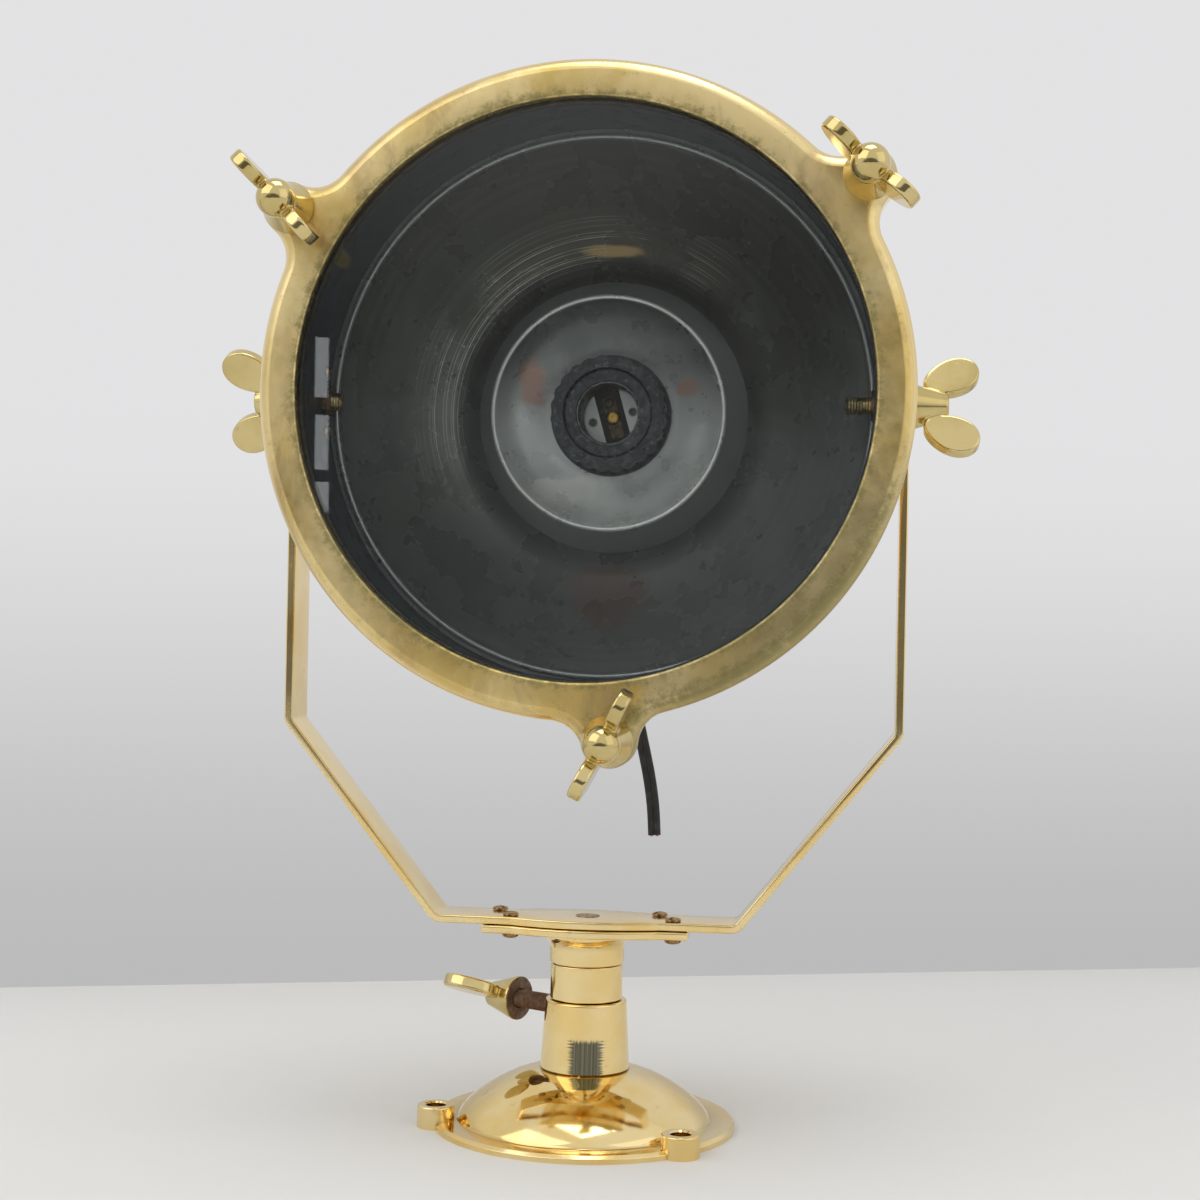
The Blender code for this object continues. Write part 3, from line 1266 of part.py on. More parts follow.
def make_pivots(head):
    """Pads outside the drum, with their studs, inner nuts and rivets."""
    across = tilt_across()
    skin = DRUM_INNER_RADIUS + DRUM_WALL
    pad_outer = YOKE_INNER_HALF_SPAN - FIT_GAP
    for side, name in ((-1, "left"), (1, "right")):
        stud_start = DRUM_INNER_RADIUS - PIVOT_STUD_REACH[name]
        stud_end = tilt_nut_seat(name) + NUT_BORE_DEPTH - FIT_GAP
        turn = across if side == 1 else axes_matrix((0, 0, 0), (-1, 0, 0), (0, 0, 1))
        pad_mesh = prism("pad", box_outline(PAD_WIDTH, PAD_HEIGHT), DRUM_INNER_RADIUS - SEAT_STEP, pad_outer)
        pad = add_piece("pivot_pad_" + name, pad_mesh, "polished_brass", head)
        pad.matrix_basis = turn
        drum = rods("pad_cutter", [(0, 0, skin + FIT_GAP, -PAD_WIDTH, PAD_WIDTH)], 4 * BIG_FACETS)
        combine(pad, add_guide("pad_cutter_" + name, drum, head), "DIFFERENCE")
        holes = [(0, 0, PIVOT_STUD_RADIUS + HOLE_GAP, 0, pad_outer + CUT_OVERRUN)]
        for offset in (-RIVET_OFFSET, RIVET_OFFSET):
            holes.append((0, offset, RIVET_RADIUS + HOLE_GAP, 0, pad_outer + CUT_OVERRUN))
        combine(pad, add_guide("pad_holes_" + name, rods("pad_holes", holes, TINY_FACETS), head, turn),
                "DIFFERENCE")

        stud = [
            (0, stud_start),
            (PIVOT_STUD_RADIUS - EDGE_ROUND, stud_start),
            (PIVOT_STUD_RADIUS, stud_start + EDGE_ROUND),
            (PIVOT_STUD_RADIUS, stud_end - FIT_GAP),
            (0, stud_end - FIT_GAP),
        ]
        piece = add_piece("pivot_stud_" + name, turned("pivot_stud", stud, NUT_FACETS), "satin_brass", head)
        piece.matrix_basis = turn

        chord = wall_seat(PIVOT_NUT_RADIUS)
        nut_mesh = prism("pivot_nut", circle_points(PIVOT_NUT_RADIUS, 6), chord - PIVOT_NUT_THICKNESS, chord)
        nut = add_piece("pivot_nut_" + name, nut_mesh, "aged_brass", head)
        nut.matrix_basis = turn
        bore = [(0, 0, PIVOT_STUD_RADIUS + HOLE_GAP, chord - PIVOT_NUT_THICKNESS - CUT_OVERRUN,
                 chord + CUT_OVERRUN)]
        combine(nut, add_guide("pivot_nut_bore_" + name, rods("bore", bore, SMALL_FACETS), head, turn),
                "DIFFERENCE")

        head_seat = wall_seat(RIVET_OFFSET + RIVET_HEAD_RADIUS)
        rivet = [
            (0, head_seat - RIVET_HEAD_HEIGHT),
            (RIVET_HEAD_RADIUS / 2, head_seat - RIVET_HEAD_HEIGHT),
            (RIVET_HEAD_RADIUS, head_seat - RIVET_HEAD_HEIGHT / 2),
            (RIVET_HEAD_RADIUS, head_seat),
            (RIVET_RADIUS, head_seat),
            (RIVET_RADIUS, pad_outer),
            (0, pad_outer),
        ]
        for place, offset in (("upper", 1), ("lower", -1)):
            piece = add_piece(
                "pivot_rivet_" + name + "_" + place, turned("pivot_rivet", rivet, TINY_FACETS),
                "aged_brass", head,
            )
            piece.matrix_basis = turn @ Matrix.Translation((0, offset * RIVET_OFFSET, 0))


def make_gland_and_cord(head):
    place = gland_matrix()
    skirt = -DRUM_WALL - GLAND_FLANGE_THICKNESS
    bore = CORD_DIAMETER / 2 + FIT_GAP
    seat = GLAND_FLANGE_SEAT
    grommet = [
        (bore, skirt),
        (GLAND_RADIUS, skirt),
        (GLAND_RADIUS, seat),
        (GLAND_FLANGE_RADIUS, seat),
        (GLAND_FLANGE_RADIUS - EDGE_ROUND, seat + GLAND_FLANGE_THICKNESS),
        (bore + EDGE_ROUND, GLAND_LENGTH),
        (bore, GLAND_LENGTH),
    ]
    piece = add_piece("cord_grommet", turned("cord_grommet", grommet, NUT_FACETS, True), "rubber", head)
    piece.matrix_basis = place

    curve = bpy.data.curves.new("supply_cord", "CURVE")
    curve.dimensions = "3D"
    curve.bevel_depth = CORD_DIAMETER / 2
    curve.bevel_resolution = CORD_ROUNDNESS
    curve.use_fill_caps = True
    spline = curve.splines.new("POLY")
    spline.points.add(len(CORD_ROUTE) - 1)
    bpy.context.view_layer.update()
    start = (head.matrix_world @ place).translation
    for point, step in zip(spline.points, CORD_ROUTE):
        point.co = (*(start + Vector(step)), 1)
    cord = add_piece("supply_cord", curve, "rubber", head)
    cord.matrix_basis = head.matrix_world.inverted()


# Bezel

def make_bezel(bezel):
    stations = lug_ring_outline(
        BEZEL_RADIUS, STUD_CIRCLE_RADIUS, BEZEL_LUG_RADIUS, BEZEL_LUG_FILLET,
        STUD_ANGLES.values(), BIG_FACETS,
    )
    lip_back = BEZEL_FRONT - BEZEL_LIP_THICKNESS
    bevel_low = BEZEL_FRONT - BEZEL_BEVEL_DEPTH
    outer = [
        (0, BEZEL_BACK),
        (0, bevel_low),
        (BEZEL_BEVEL_WIDTH * BEVEL_RUN_SHARE, BEZEL_FRONT - BEZEL_BEVEL_DEPTH * (1 - BEVEL_RISE_SHARE)),
        (BEZEL_BEVEL_WIDTH, BEZEL_FRONT),
    ]
    pocket = GLASS_RADIUS + HOLE_GAP
    inner = [
        (BEZEL_OPENING_RADIUS + BEZEL_LIP_ROUND, BEZEL_FRONT),
        (BEZEL_OPENING_RADIUS, BEZEL_FRONT - BEZEL_LIP_ROUND),
        (BEZEL_OPENING_RADIUS, lip_back),
        (pocket, lip_back),
        (pocket, BEZEL_BACK),
    ]
    ring = add_piece("bezel_ring", lofted_ring("bezel_ring", stations, outer, inner), "satin_brass", bezel)
    holes = [
        (*polar(STUD_CIRCLE_RADIUS, angle), STUD_RADIUS + HOLE_GAP,
         BEZEL_BACK - CUT_OVERRUN, BEZEL_FRONT + CUT_OVERRUN)
        for angle in STUD_ANGLES.values()
    ]
    combine(ring, add_guide("bezel_stud_holes", rods("bezel_stud_holes", holes, TINY_FACETS), bezel),
            "DIFFERENCE")

    glass_front = lip_back - FIT_GAP
    glass_back = glass_front - GLASS_THICKNESS
    glass = rods("front_glass", [(0, 0, GLASS_RADIUS, glass_back, glass_front)], BIG_FACETS)
    add_piece("front_glass", glass, "glass", bezel)
    gasket = [
        (GLASS_RADIUS - GASKET_WIDTH, DRUM_FRONT + FIT_GAP),
        (GLASS_RADIUS, DRUM_FRONT + FIT_GAP),
        (GLASS_RADIUS, glass_back - FIT_GAP),
        (GLASS_RADIUS - GASKET_WIDTH, glass_back - FIT_GAP),
    ]
    add_piece("glass_gasket", turned("glass_gasket", gasket, BIG_FACETS, True), "rubber", bezel)


# Wing nuts in place

def make_bezel_nuts(bezel, front):
    for name, angle in STUD_ANGLES.items():
        turn = BEZEL_NUT_TURNS[name]
        seat = Matrix.Translation((*polar(STUD_CIRCLE_RADIUS, angle), BEZEL_FRONT + FIT_GAP))
        frame = add_frame("bezel_nut_axis_" + name, front @ seat, bezel)
        add_wing_nut("bezel_wing_nut_" + name, frame, BEZEL_HUB_FOOT_RADIUS, STUD_RADIUS, turn, ball=True)


def make_tilt_nuts(head):
    for side, name in ((-1, "left"), (1, "right")):
        world = axes_matrix((side * tilt_nut_seat(name), 0, TILT_HEIGHT), (side, 0, 0), (0, 0, 1))
        frame = add_frame("tilt_nut_axis_" + name, world, head)
        turn = TILT_NUT_TURNS[name]
        add_wing_nut("tilt_wing_nut_" + name, frame, TILT_HUB_FOOT_RADIUS, PIVOT_STUD_RADIUS, turn)


def main():
    remove_old_objects()
    yoke = add_frame("pan_axis", Matrix.Identity(4))
    front = axes_matrix((0, 0, TILT_HEIGHT), (0, -1, 0), (1, 0, 0))
    head = add_frame("tilt_axis", front, yoke)
    bezel = add_frame("bezel_slide_axis", front, head)

    make_base()
    make_lock_screw()
    make_swivel_plate(yoke)
    make_strap(yoke)
    make_yoke_screws(yoke)
    make_retaining_nut(yoke)
    make_drum(head)
    make_front_ring(head)
    make_studs(head)
    make_reflector(head)
    make_cup(head)
    make_shade_ring(head)
    make_lampholder(head)
    make_bracket(head)
    make_pivots(head)
    make_gland_and_cord(head)
    make_bezel(bezel)
    make_bezel_nuts(bezel, front)
    make_tilt_nuts(head)


main()
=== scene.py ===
"""Looks of the maritime signal light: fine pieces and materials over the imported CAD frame.

Lengths are in metres, in the frame of the CAD model: the origin is on the floor under the middle of the
base, the lamp looks along -Y and +Z is up. The sizes repeat those of the part's source.
"""

import math

import bmesh
import bpy
from mathutils import Matrix, Vector


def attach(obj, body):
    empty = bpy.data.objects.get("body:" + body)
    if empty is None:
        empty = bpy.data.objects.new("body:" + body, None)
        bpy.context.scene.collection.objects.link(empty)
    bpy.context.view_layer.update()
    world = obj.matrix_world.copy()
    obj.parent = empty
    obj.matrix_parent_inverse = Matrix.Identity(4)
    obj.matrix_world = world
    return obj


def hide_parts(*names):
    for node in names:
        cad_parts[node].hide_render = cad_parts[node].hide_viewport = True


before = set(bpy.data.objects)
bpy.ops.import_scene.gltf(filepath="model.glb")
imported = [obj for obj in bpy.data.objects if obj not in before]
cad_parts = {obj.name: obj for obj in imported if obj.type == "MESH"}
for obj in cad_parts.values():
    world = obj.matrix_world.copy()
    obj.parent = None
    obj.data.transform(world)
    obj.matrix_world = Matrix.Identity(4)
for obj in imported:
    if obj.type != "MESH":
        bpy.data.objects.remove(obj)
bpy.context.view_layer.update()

# General
FIT_GAP = 0.0003
EDGE_ROUND = 0.0008
MERGE_DISTANCE = 0.0000005
SHARP_ANGLE = math.radians(38)
CUT_OVERRUN = 0.002

# Head
DRUM_INNER_RADIUS = 0.1210
DRUM_WALL = 0.0012
DRUM_RADIUS = DRUM_INNER_RADIUS + DRUM_WALL
TILT_HEIGHT = DRUM_RADIUS + 0.1873
DRUM_FRONT = 0.0427
SEAT_FORWARD = -0.0112
SEAT_STEP = 0.0042
DRUM_TAIL_RADIUS = 0.0340
DRUM_TAIL = -0.0804
DRUM_DOME_SHARE = 2.3

# Base
BASE_RADIUS = 0.0649
FLANGE_THICKNESS = 0.0034
FLANGE_BEVEL_SHARE = 0.4
FLANGE_WIDTH = 0.0107
DOME_FOOT_RADIUS = BASE_RADIUS - FLANGE_WIDTH
DOME_TOP_HEIGHT = 0.0242
DOME_WALL = 0.0036
DOME_BASE_SHARE = 1.6
DOME_CROWN_SHARE = 0.8
COLLAR_FOOT_RADIUS = 0.0192
COLLAR_TOP_RADIUS = 0.0174
COLLAR_TOP_HEIGHT = 0.0540
COLLAR_UNDERCUT = 0.0008
COLLAR_BOSS_BOTTOM = 0.0180
COLLAR_ROUND = 0.0009
LUG_RADIUS = 0.0080
LUG_HEIGHT = 0.0095
LUG_CIRCLE_RADIUS = BASE_RADIUS - 0.0013
LUG_HOLE_RADIUS = 0.0044
LUG_SINK = 0.0007
LUG_ANGLES = (195.5, 315.5, 75.5)

# Swivel
SLEEVE_RADIUS = 0.0155
SLEEVE_TOP_HEIGHT = COLLAR_TOP_HEIGHT + FIT_GAP + 0.0151
SEAM_ROUND = 0.0005
SPIGOT_RADIUS = 0.0097
SPIGOT_STUD_RADIUS = 0.0050
RETAINING_WASHER_RADIUS = 0.0150
RETAINING_WASHER_THICKNESS = 0.0020
RETAINING_NUT_FLATS = 0.0160
RETAINING_NUT_THICKNESS = 0.0060
SPIGOT_STUD_END_HEIGHT = 0.0070
NECK_RADIUS = 0.0160
NECK_FLARE_REACH = 0.0080
NECK_FLARE_HEIGHT = 0.0062
PLATE_LENGTH = 0.0886
PLATE_WIDTH = 0.0262
PLATE_SWELL = 0.0064
PLATE_SWELL_HALF_SPAN = 0.0320
PLATE_SWELL_STEPS = 36
PLATE_THICKNESS = 0.0034
PLATE_EDGE_ROUND = 0.0007
PLATE_BOTTOM_HEIGHT = SLEEVE_TOP_HEIGHT + FIT_GAP + 0.0125

# Pan lock screw
LOCK_HEIGHT = COLLAR_TOP_HEIGHT - 0.0048
LOCK_ANGLE = 151.0
LOCK_WING_TURN = 112.0
LOCK_SHANK_RADIUS = 0.0040
LOCK_HUB_DISTANCE = 0.0360
LOCK_HUB_FOOT_RADIUS = 0.0096
LOCK_PITCH = 0.0012

# Yoke strap and its screws
STRAP_WIDTH = 0.0246
STRAP_SWELL = 0.0062
STRAP_THICKNESS = 0.0035
STRAP_EDGE_ROUND = 0.0007
STRAP_FLOOR_HALF_SPAN = PLATE_LENGTH / 2 + 0.0212
STRAP_SHOULDER_HEIGHT = 0.1700
STRAP_BEND_RADIUS = 0.0035
STRAP_TIP_ANGLE = math.radians(88)
STRAP_TIP_STEPS = 28
STRAP_SWELL_STEPS = 24
YOKE_INNER_HALF_SPAN = DRUM_RADIUS + 0.0068
STRAP_BOTTOM = PLATE_BOTTOM_HEIGHT + PLATE_THICKNESS + FIT_GAP
STRAP_TOP = STRAP_BOTTOM + STRAP_THICKNESS
SCREW_HALF_SPAN = PLATE_LENGTH / 2 - 0.0094
SCREW_DEPTH_OFFSET = 0.0074
SCREW_SHIFTS = {"front": 0.0026, "rear": -0.0044}
SCREW_RADIUS = 0.0020
SCREW_HEAD_RADIUS = 0.0034
SCREW_HEAD_HEIGHT = 0.0015
SCREW_SLOT_WIDTH = 0.0009
SCREW_SLOT_DEPTH = 0.0007
SCREW_SLOT_TURNS = {"front_left": 20, "front_right": 75, "rear_left": 130, "rear_right": 48}
SCREW_DOME_POWER = 2.2
SCREW_NUT_RADIUS = 0.0036
SCREW_NUT_HEIGHT = 0.0021
CENTRE_SCREW_RADIUS = 0.0052
CENTRE_SCREW_DEPTH = 0.0100

# Tilt axis
PIVOT_STUD_RADIUS = 0.0040
PIVOT_STUD_REACH = {"left": 0.0090, "right": 0.0154}
PIVOT_PITCH = 0.0012
PIVOT_NUT_RADIUS = 0.0070
PIVOT_NUT_THICKNESS = 0.0036
PIVOT_NUT_FACE_SHARE = 0.86
PIVOT_NUT_CLEAR_SHARE = 1.02
PAD_WIDTH = 0.0180
PAD_HEIGHT = 0.0370
RIVET_OFFSET = 0.0130
RIVET_RADIUS = 0.0016
RIVET_HEAD_RADIUS = 0.0030
RIVET_HEAD_HEIGHT = 0.0017
CAD_FACETS = 36
PAD_OUTER = YOKE_INNER_HALF_SPAN - FIT_GAP

# Front ring and bezel
FRONT_RING_BACK = 0.0350
FRONT_RING_RADIUS = DRUM_RADIUS + 0.0090
STUD_CIRCLE_RADIUS = FRONT_RING_RADIUS + 0.0108
STUD_ANGLES = {"left": 149.0, "right": 37.0, "bottom": 275.5}
STUD_RADIUS = 0.0030
STUD_FRONT = 0.0740
STUD_HEAD_RADIUS = 0.0056
STUD_HEAD_THICKNESS = 0.0032
RING_LUG_RADIUS = 0.0100
RING_LUG_FILLET = 0.0120
BEZEL_FRONT = 0.0580
BEZEL_BACK = 0.0430
BEZEL_RADIUS = FRONT_RING_RADIUS + 0.0028
GLASS_RADIUS = DRUM_RADIUS + 0.0020
BEZEL_OPENING_RADIUS = GLASS_RADIUS - 0.0062
BEZEL_LIP_THICKNESS = 0.0046
BEZEL_BEVEL_WIDTH = 0.0054
BEZEL_BEVEL_DEPTH = 0.0052
BEVEL_SHARE = 1.45
BEZEL_LIP_ROUND = 0.0012
BEZEL_LUG_RADIUS = 0.0112
BEZEL_LUG_FILLET = 0.0150
GLASS_THICKNESS = 0.0040
GASKET_WIDTH = 0.0070

# Reflector, cup and lampholder
REFLECTOR_RADIUS = DRUM_INNER_RADIUS - 0.0048
REFLECTOR_RIM_FORWARD = -0.0096
REFLECTOR_HOLE_RADIUS = REFLECTOR_RADIUS * 0.534
REFLECTOR_HOLE_FORWARD = -0.0560
REFLECTOR_SHEET = 0.0010
REFLECTOR_BEAD = 0.0013
CUP_RIM_RADIUS = REFLECTOR_HOLE_RADIUS - 0.0110
CUP_RIM_FORWARD = -0.0375
CUP_FLOOR_FORWARD = -0.0520
CUP_FLOOR_RADIUS = 0.0300
CUP_SHEET = 0.0010
CUP_BEAD = 0.0011
CUP_ROUND_SHARE = 1.5
SHADE_RING_RADIUS = 0.0275
SHADE_RING_FRONT = -0.0350
SHADE_RING_LIP = 0.0030
SHADE_RING_KNURLS = 24
SHADE_RING_KNURL_DEPTH = 0.0011
SHADE_RING_KNURL_STEPS = 12
HOLDER_THREAD_RADIUS = 0.0200
HOLDER_BODY_RADIUS = 0.0240
HOLDER_FRONT = -0.0370
HOLDER_BACK = -0.0756
HOLDER_TAPER = 0.0050
SHELL_RADIUS = 0.0143
SHELL_WALL = 0.0006
SHELL_FRONT = -0.0380
SHELL_DEPTH = 0.0240
SHELL_THREADS = 4
SHELL_THREAD_DEPTH = 0.0006
PORCELAIN_THICKNESS = 0.0060
CONTACT_SLOT_WIDTH = 0.0116
CONTACT_SLOT_DEPTH = 0.0022
CONTACT_SLOT_TURN = 16.0
CONTACT_STRIP_LENGTH = 0.0200
CONTACT_STRIP_WIDTH = 0.0062
CONTACT_STRIP_THICKNESS = 0.0008
CONTACT_BUTTON_RADIUS = 0.0033
CONTACT_BUTTON_HEIGHT = 0.0016
CONTACT_SCREW_RADIUS = 0.0021
CONTACT_SCREW_HEIGHT = 0.0011
CONTACT_SCREW_PLACE = 0.0070
CONTACT_SCREW_TURN = 35
CONTACT_SCREW_SLOT = (0.7 * SCREW_SLOT_WIDTH, 0.8 * SCREW_SLOT_DEPTH)
CONTACT_DOME_POWER = 2.4
PORCELAIN_HOLE_RADIUS = 0.0016
PORCELAIN_HOLE_PLACE = 0.0095
BRACKET_RADIUS = 0.0300
BRACKET_THICKNESS = 0.0025
TAIL_BOLT_RADIUS = 0.0030
TAIL_BOLT_PLACE = 0.0220
TAIL_BOLT_HEAD_RADIUS = 0.0048
TAIL_BOLT_HEAD_HEIGHT = 0.0026
TAIL_BOLT_SLOT_TURN = 35
TAIL_BOLT_DOME_POWER = 2.6

# Cord and its gland
GLAND_FORWARD = -0.0260
GLAND_ANGLE = 277.0
GLAND_RADIUS = 0.0062
GLAND_FLANGE_RADIUS = 0.0095
GLAND_FLANGE_THICKNESS = 0.0022
GLAND_LENGTH = 0.0080
GLAND_FLANGE_SEAT = 0.0010
GLAND_RIBS = 3
GLAND_RIB_SHARES = (0.6, 0.7, 0.95)
CORD_WIDTH = 0.0056
CORD_DEPTH = 0.0031
CORD_GROOVE_SHARE = 0.93
CORD_ARC_STEPS = 20
CORD_ROUTE_STEPS = 4
CORE_RADIUS = 0.0007
CORE_STAND_OUT = 0.0005
CORD_ROUTE = (
    (-0.00036, 0.00000, 0.00286),
    (0.00097, 0.00000, -0.00794),
    (0.00314, -0.00010, -0.02044),
    (0.00599, -0.00040, -0.03294),
    (0.00874, -0.00090, -0.04544),
    (0.01069, -0.00160, -0.05794),
    (0.01164, -0.00250, -0.07054),
)

# Cast wing nuts
WING_THICKNESS = 0.0056
WING_CENTRE_RADIUS = 0.0142
WING_CENTRE_HEIGHT = 0.0170
WING_HALF_LENGTH = 0.0124
WING_HALF_WIDTH = 0.0084
WING_LEAN = 26.0
WING_TAPER_SHARE = 0.14
WING_EDGE_ROUND = 0.0010
HUB_HEIGHT = 0.0160
HUB_TOP_RADIUS = 0.0052
HUB_FOOT_RIM = 0.0014
TILT_HUB_FOOT_RADIUS = 0.0096
BEZEL_HUB_FOOT_RADIUS = 0.0106
BALL_RADIUS = 0.0078
BALL_CENTRE_HEIGHT = 0.0196
NUT_BORE_DEPTH = 0.0140
NUT_VOXEL = 0.00034
NUT_SMOOTHINGS = 5
NUT_SMOOTHING = 0.5
WING_STEPS = 64
TILT_NUT_BACK_OFF = {"left": 0.0024, "right": 0.0}
TILT_NUT_TURNS = {"left": -30.0, "right": -28.0}
BEZEL_NUT_TURNS = {"left": 133.0, "right": 138.0, "bottom": 63.5}

# How finely things are rounded
BIG_FACETS = 240
MIDDLE_FACETS = 144
SMALL_FACETS = 72
TINY_FACETS = 40
ROUND_STEPS = 6
SUPPORT_SHARE = 1.25
DOME_STEPS = 40
BEND_STEPS = 12
THREAD_STEPS = 6

SIDES = (("left", -1), ("right", 1))

# Marks on the surfaces, many of them painted light, shade, highlights and reflections: soft edges run from
# the first place to the second, in the piece's own axes;
# spots are where, how wide, how high and how frayed
MICROMETRE = 0.000001
COLLAR_REFLECTION_ASIDE = (0.99, 0.12)
COLLAR_REFLECTION_CENTRE = 0.0004
COLLAR_REFLECTION_TEAR = 0.010
COLLAR_REFLECTION_SIDES = (0.0078, 0.0056)
COLLAR_REFLECTION_RAGS = 0.004
COLLAR_REFLECTION_TOP = (0.0420, 0.0400)
COLLAR_REFLECTION_FRONT = (-0.010, -0.013)
BEZEL_LOW_SLANT = -0.9
BEZEL_LOW_EDGE = (-0.12, -0.18)
BEZEL_OUTER_BAND = (0.013, 0.003)
BEZEL_INNER_BAND = (0.0055, 0.001)
DRUM_PAINTED_LIGHT_EDGE = (-0.030, -0.060)
MIRROR_SHADED_TOP_EDGE = (-0.03, 0.06)
MIRROR_SHADED_TOP_RAGS = 0.12
MIRROR_SHADED_LEFT_EDGE = (0.02, -0.10)
MIRROR_LIT_THROAT = (0.066, 0.052)
MIRROR_HIGHLIGHT_BELT_INNER = (0.066, 0.074)
MIRROR_HIGHLIGHT_BELT_OUTER = (0.093, 0.080)
MIRROR_HIGHLIGHT_SIDE_EDGE = (-0.02, 0.06)
MIRROR_AMBER_REFLECTION = (0, 0.0745, 0.017, 0.0032, 0.9)
MIRROR_RED_SPOT = (0.002, -0.082, 0.020, 0.017, 1.4)
CUP_SHADED_TOP_EDGE = (-0.012, 0.034)
CUP_SHADED_TOP_RAGS = 0.008
CUP_PAINTED_HIGHLIGHT = (-0.020, -0.034, 0.020, 0.008, 1.2)
CUP_LEFT_REFLECTION = (-0.0365, 0.0155, 0.0075, 0.0135, 1.3)
CUP_RIGHT_REFLECTION = (0.0345, 0.0130, 0.0072, 0.0048, 1.3)
PORCELAIN_HOLE_SHADE_REACH = 0.0026
PORCELAIN_SLOT_BLUR = 0.0001

# Sockets of the colour mixer
MIX_FIRST, MIX_SECOND, MIX_RESULT = 6, 7, 2

# The camera, fitted to the photograph
CAMERA_PLACE = (0.1060, -0.8477, 0.2189)
CAMERA_YAW = math.radians(6.95)
CAMERA_ROLL = math.radians(1.17)
PHOTO_SIDE = 1200
FOCAL_PIXELS = 1984.6
PRINCIPAL_DROP_PIXELS = 15
SENSOR_WIDTH_MM = 36
CAMERA_CLIP = 0.01

# The room
WALL_DISTANCE = 0.354
WALL_TURN = math.radians(18.4)
FLOOR_HALF_WIDTH = 2.4
FLOOR_FRONT = 2.2
WALL_HEIGHT = 2.6
WALL_GRADIENT_HEIGHT = 0.34
WALL_LOW_COLOUR = (0.50, 0.50, 0.502)
WALL_HIGH_COLOUR = (0.765, 0.765, 0.775)
FLOOR_COLOUR = (0.735, 0.735, 0.728)

# The room's light, as directions: dim in an oval in front of the lamp, bright outside it and behind
ROOM_COLOUR = (1.0, 0.995, 0.985)
DIM_STRENGTH = 0.16
BRIGHT_EXTRA = 0.68
DIM_HALF_WIDTH = 0.74
DIM_HALF_HEIGHT = 0.43
DIM_CENTRE = -0.16
DIM_EDGE = (0.75, 1.15)
BEHIND_EDGE = (-0.3, 0)

# The lamps: place, width, height, watts and colour
LAMPS = {
    "key": ((-1.5, -1.3, 1.9), 2.4, 2.0, 14, (1.0, 0.99, 0.97)),
    "fill": ((1.8, -0.9, 1.2), 1.8, 1.8, 3, (0.98, 0.99, 1.0)),
    "top": ((0.1, -0.1, 2.3), 1.1, 1.1, 11, (1, 1, 1)),
}

# Window panes seen in the glass: where on the glass, and how tall in the photograph's pixels
WINDOW_PANES = ((-0.1082, 0.3183, 58), (-0.1076, 0.2875, 54), (-0.1071, 0.2650, 30))
WINDOW_WIDTH_PIXELS = 13
WINDOW_DISTANCE = 1.3
WINDOW_RADIANCE = 2.1
WINDOW_COLOUR = (0.93, 0.97, 1.0)


# Shapes

def axes_matrix(origin, forward, right):
    """A frame at origin whose +Z is forward and whose +X is right."""
    forward = Vector(forward).normalized()
    right = Vector(right)
    right = (right - forward * right.dot(forward)).normalized()
    up = forward.cross(right)
    turn = Matrix((right, up, forward)).transposed().to_4x4()
    return Matrix.Translation(Vector(origin)) @ turn


def turned_about(frame_matrix, degrees):
    return frame_matrix @ Matrix.Rotation(math.radians(degrees), 4, "Z")


def polar(radius, degrees):
    angle = math.radians(degrees)
    return radius * math.cos(angle), radius * math.sin(angle)


def arc(centre, radius, start, end, steps):
    points = []
    for index in range(steps + 1):
        x, y = polar(radius, start + (end - start) * index / steps)
        points.append((centre[0] + x, centre[1] + y))
    return points


def eased(corners, closed=False):
    """A path whose corners, (x, y, round), are rounded by arcs; a round of zero stays sharp.

    A point just beyond each arc keeps the shading of the straight parts flat.
    """
    points = []
    count = len(corners)
    for index, corner in enumerate(corners):
        x, y, ease = corner
        at_end = not closed and index in (0, count - 1)
        if at_end or ease == 0:
            points.append((x, y))
            continue
        here = Vector((x, y))
        back = Vector(corners[index - 1][:2]) - here
        ahead = Vector(corners[(index + 1) % count][:2]) - here
        half = back.angle(ahead) / 2
        behind, before = back.length, ahead.length
        reach = min(ease / math.tan(half), behind / 2, before / 2)
        back.normalize()
        ahead.normalize()
        radius = reach * math.tan(half)
        centre = here + (back + ahead).normalized() * radius / math.sin(half)
        first = here + back * reach - centre
        last = here + ahead * reach - centre
        turn = first.angle_signed(last, 0)
        if behind > 2 * SUPPORT_SHARE * reach:
            points.append(tuple(here + back * reach * SUPPORT_SHARE))
        for step in range(ROUND_STEPS + 1):
            arm = first.copy()
            arm.rotate(Matrix.Rotation(-turn * step / ROUND_STEPS, 2))
            points.append(tuple(centre + arm))
        if before > 2 * SUPPORT_SHARE * reach:
            points.append(tuple(here + ahead * reach * SUPPORT_SHARE))
    return points


def finished_mesh(name, bm, sharp=SHARP_ANGLE):
    bmesh.ops.remove_doubles(bm, verts=bm.verts, dist=MERGE_DISTANCE)
    bmesh.ops.recalc_face_normals(bm, faces=bm.faces)
    mesh = bpy.data.meshes.new(name)
    bm.to_mesh(mesh)
    bm.free()
    mesh.shade_smooth()
    mesh.set_sharp_from_angle(angle=sharp)
    return mesh


def turned(name, profile, facets, closed=False):
    """A solid turned about +Z from (radius, height) points; a closed profile makes a ring."""
    bm = bmesh.new()
    verts = [bm.verts.new((radius, 0, height)) for radius, height in profile]
    edges = [bm.edges.new(pair) for pair in zip(verts, verts[1:])]
    if closed:
        edges.append(bm.edges.new((verts[-1], verts[0])))
    bmesh.ops.spin(
        bm, geom=verts + edges, cent=(0, 0, 0), axis=(0, 0, 1),
        angle=math.tau, steps=facets, use_merge=True,
    )
    return finished_mesh(name, bm)


def circle_points(radius, facets, centre=(0, 0)):
    points = []
    for index in range(facets):
        angle = math.tau * (index + 1 / 2) / facets
        points.append((centre[0] + radius * math.cos(angle), centre[1] + radius * math.sin(angle)))
    return points


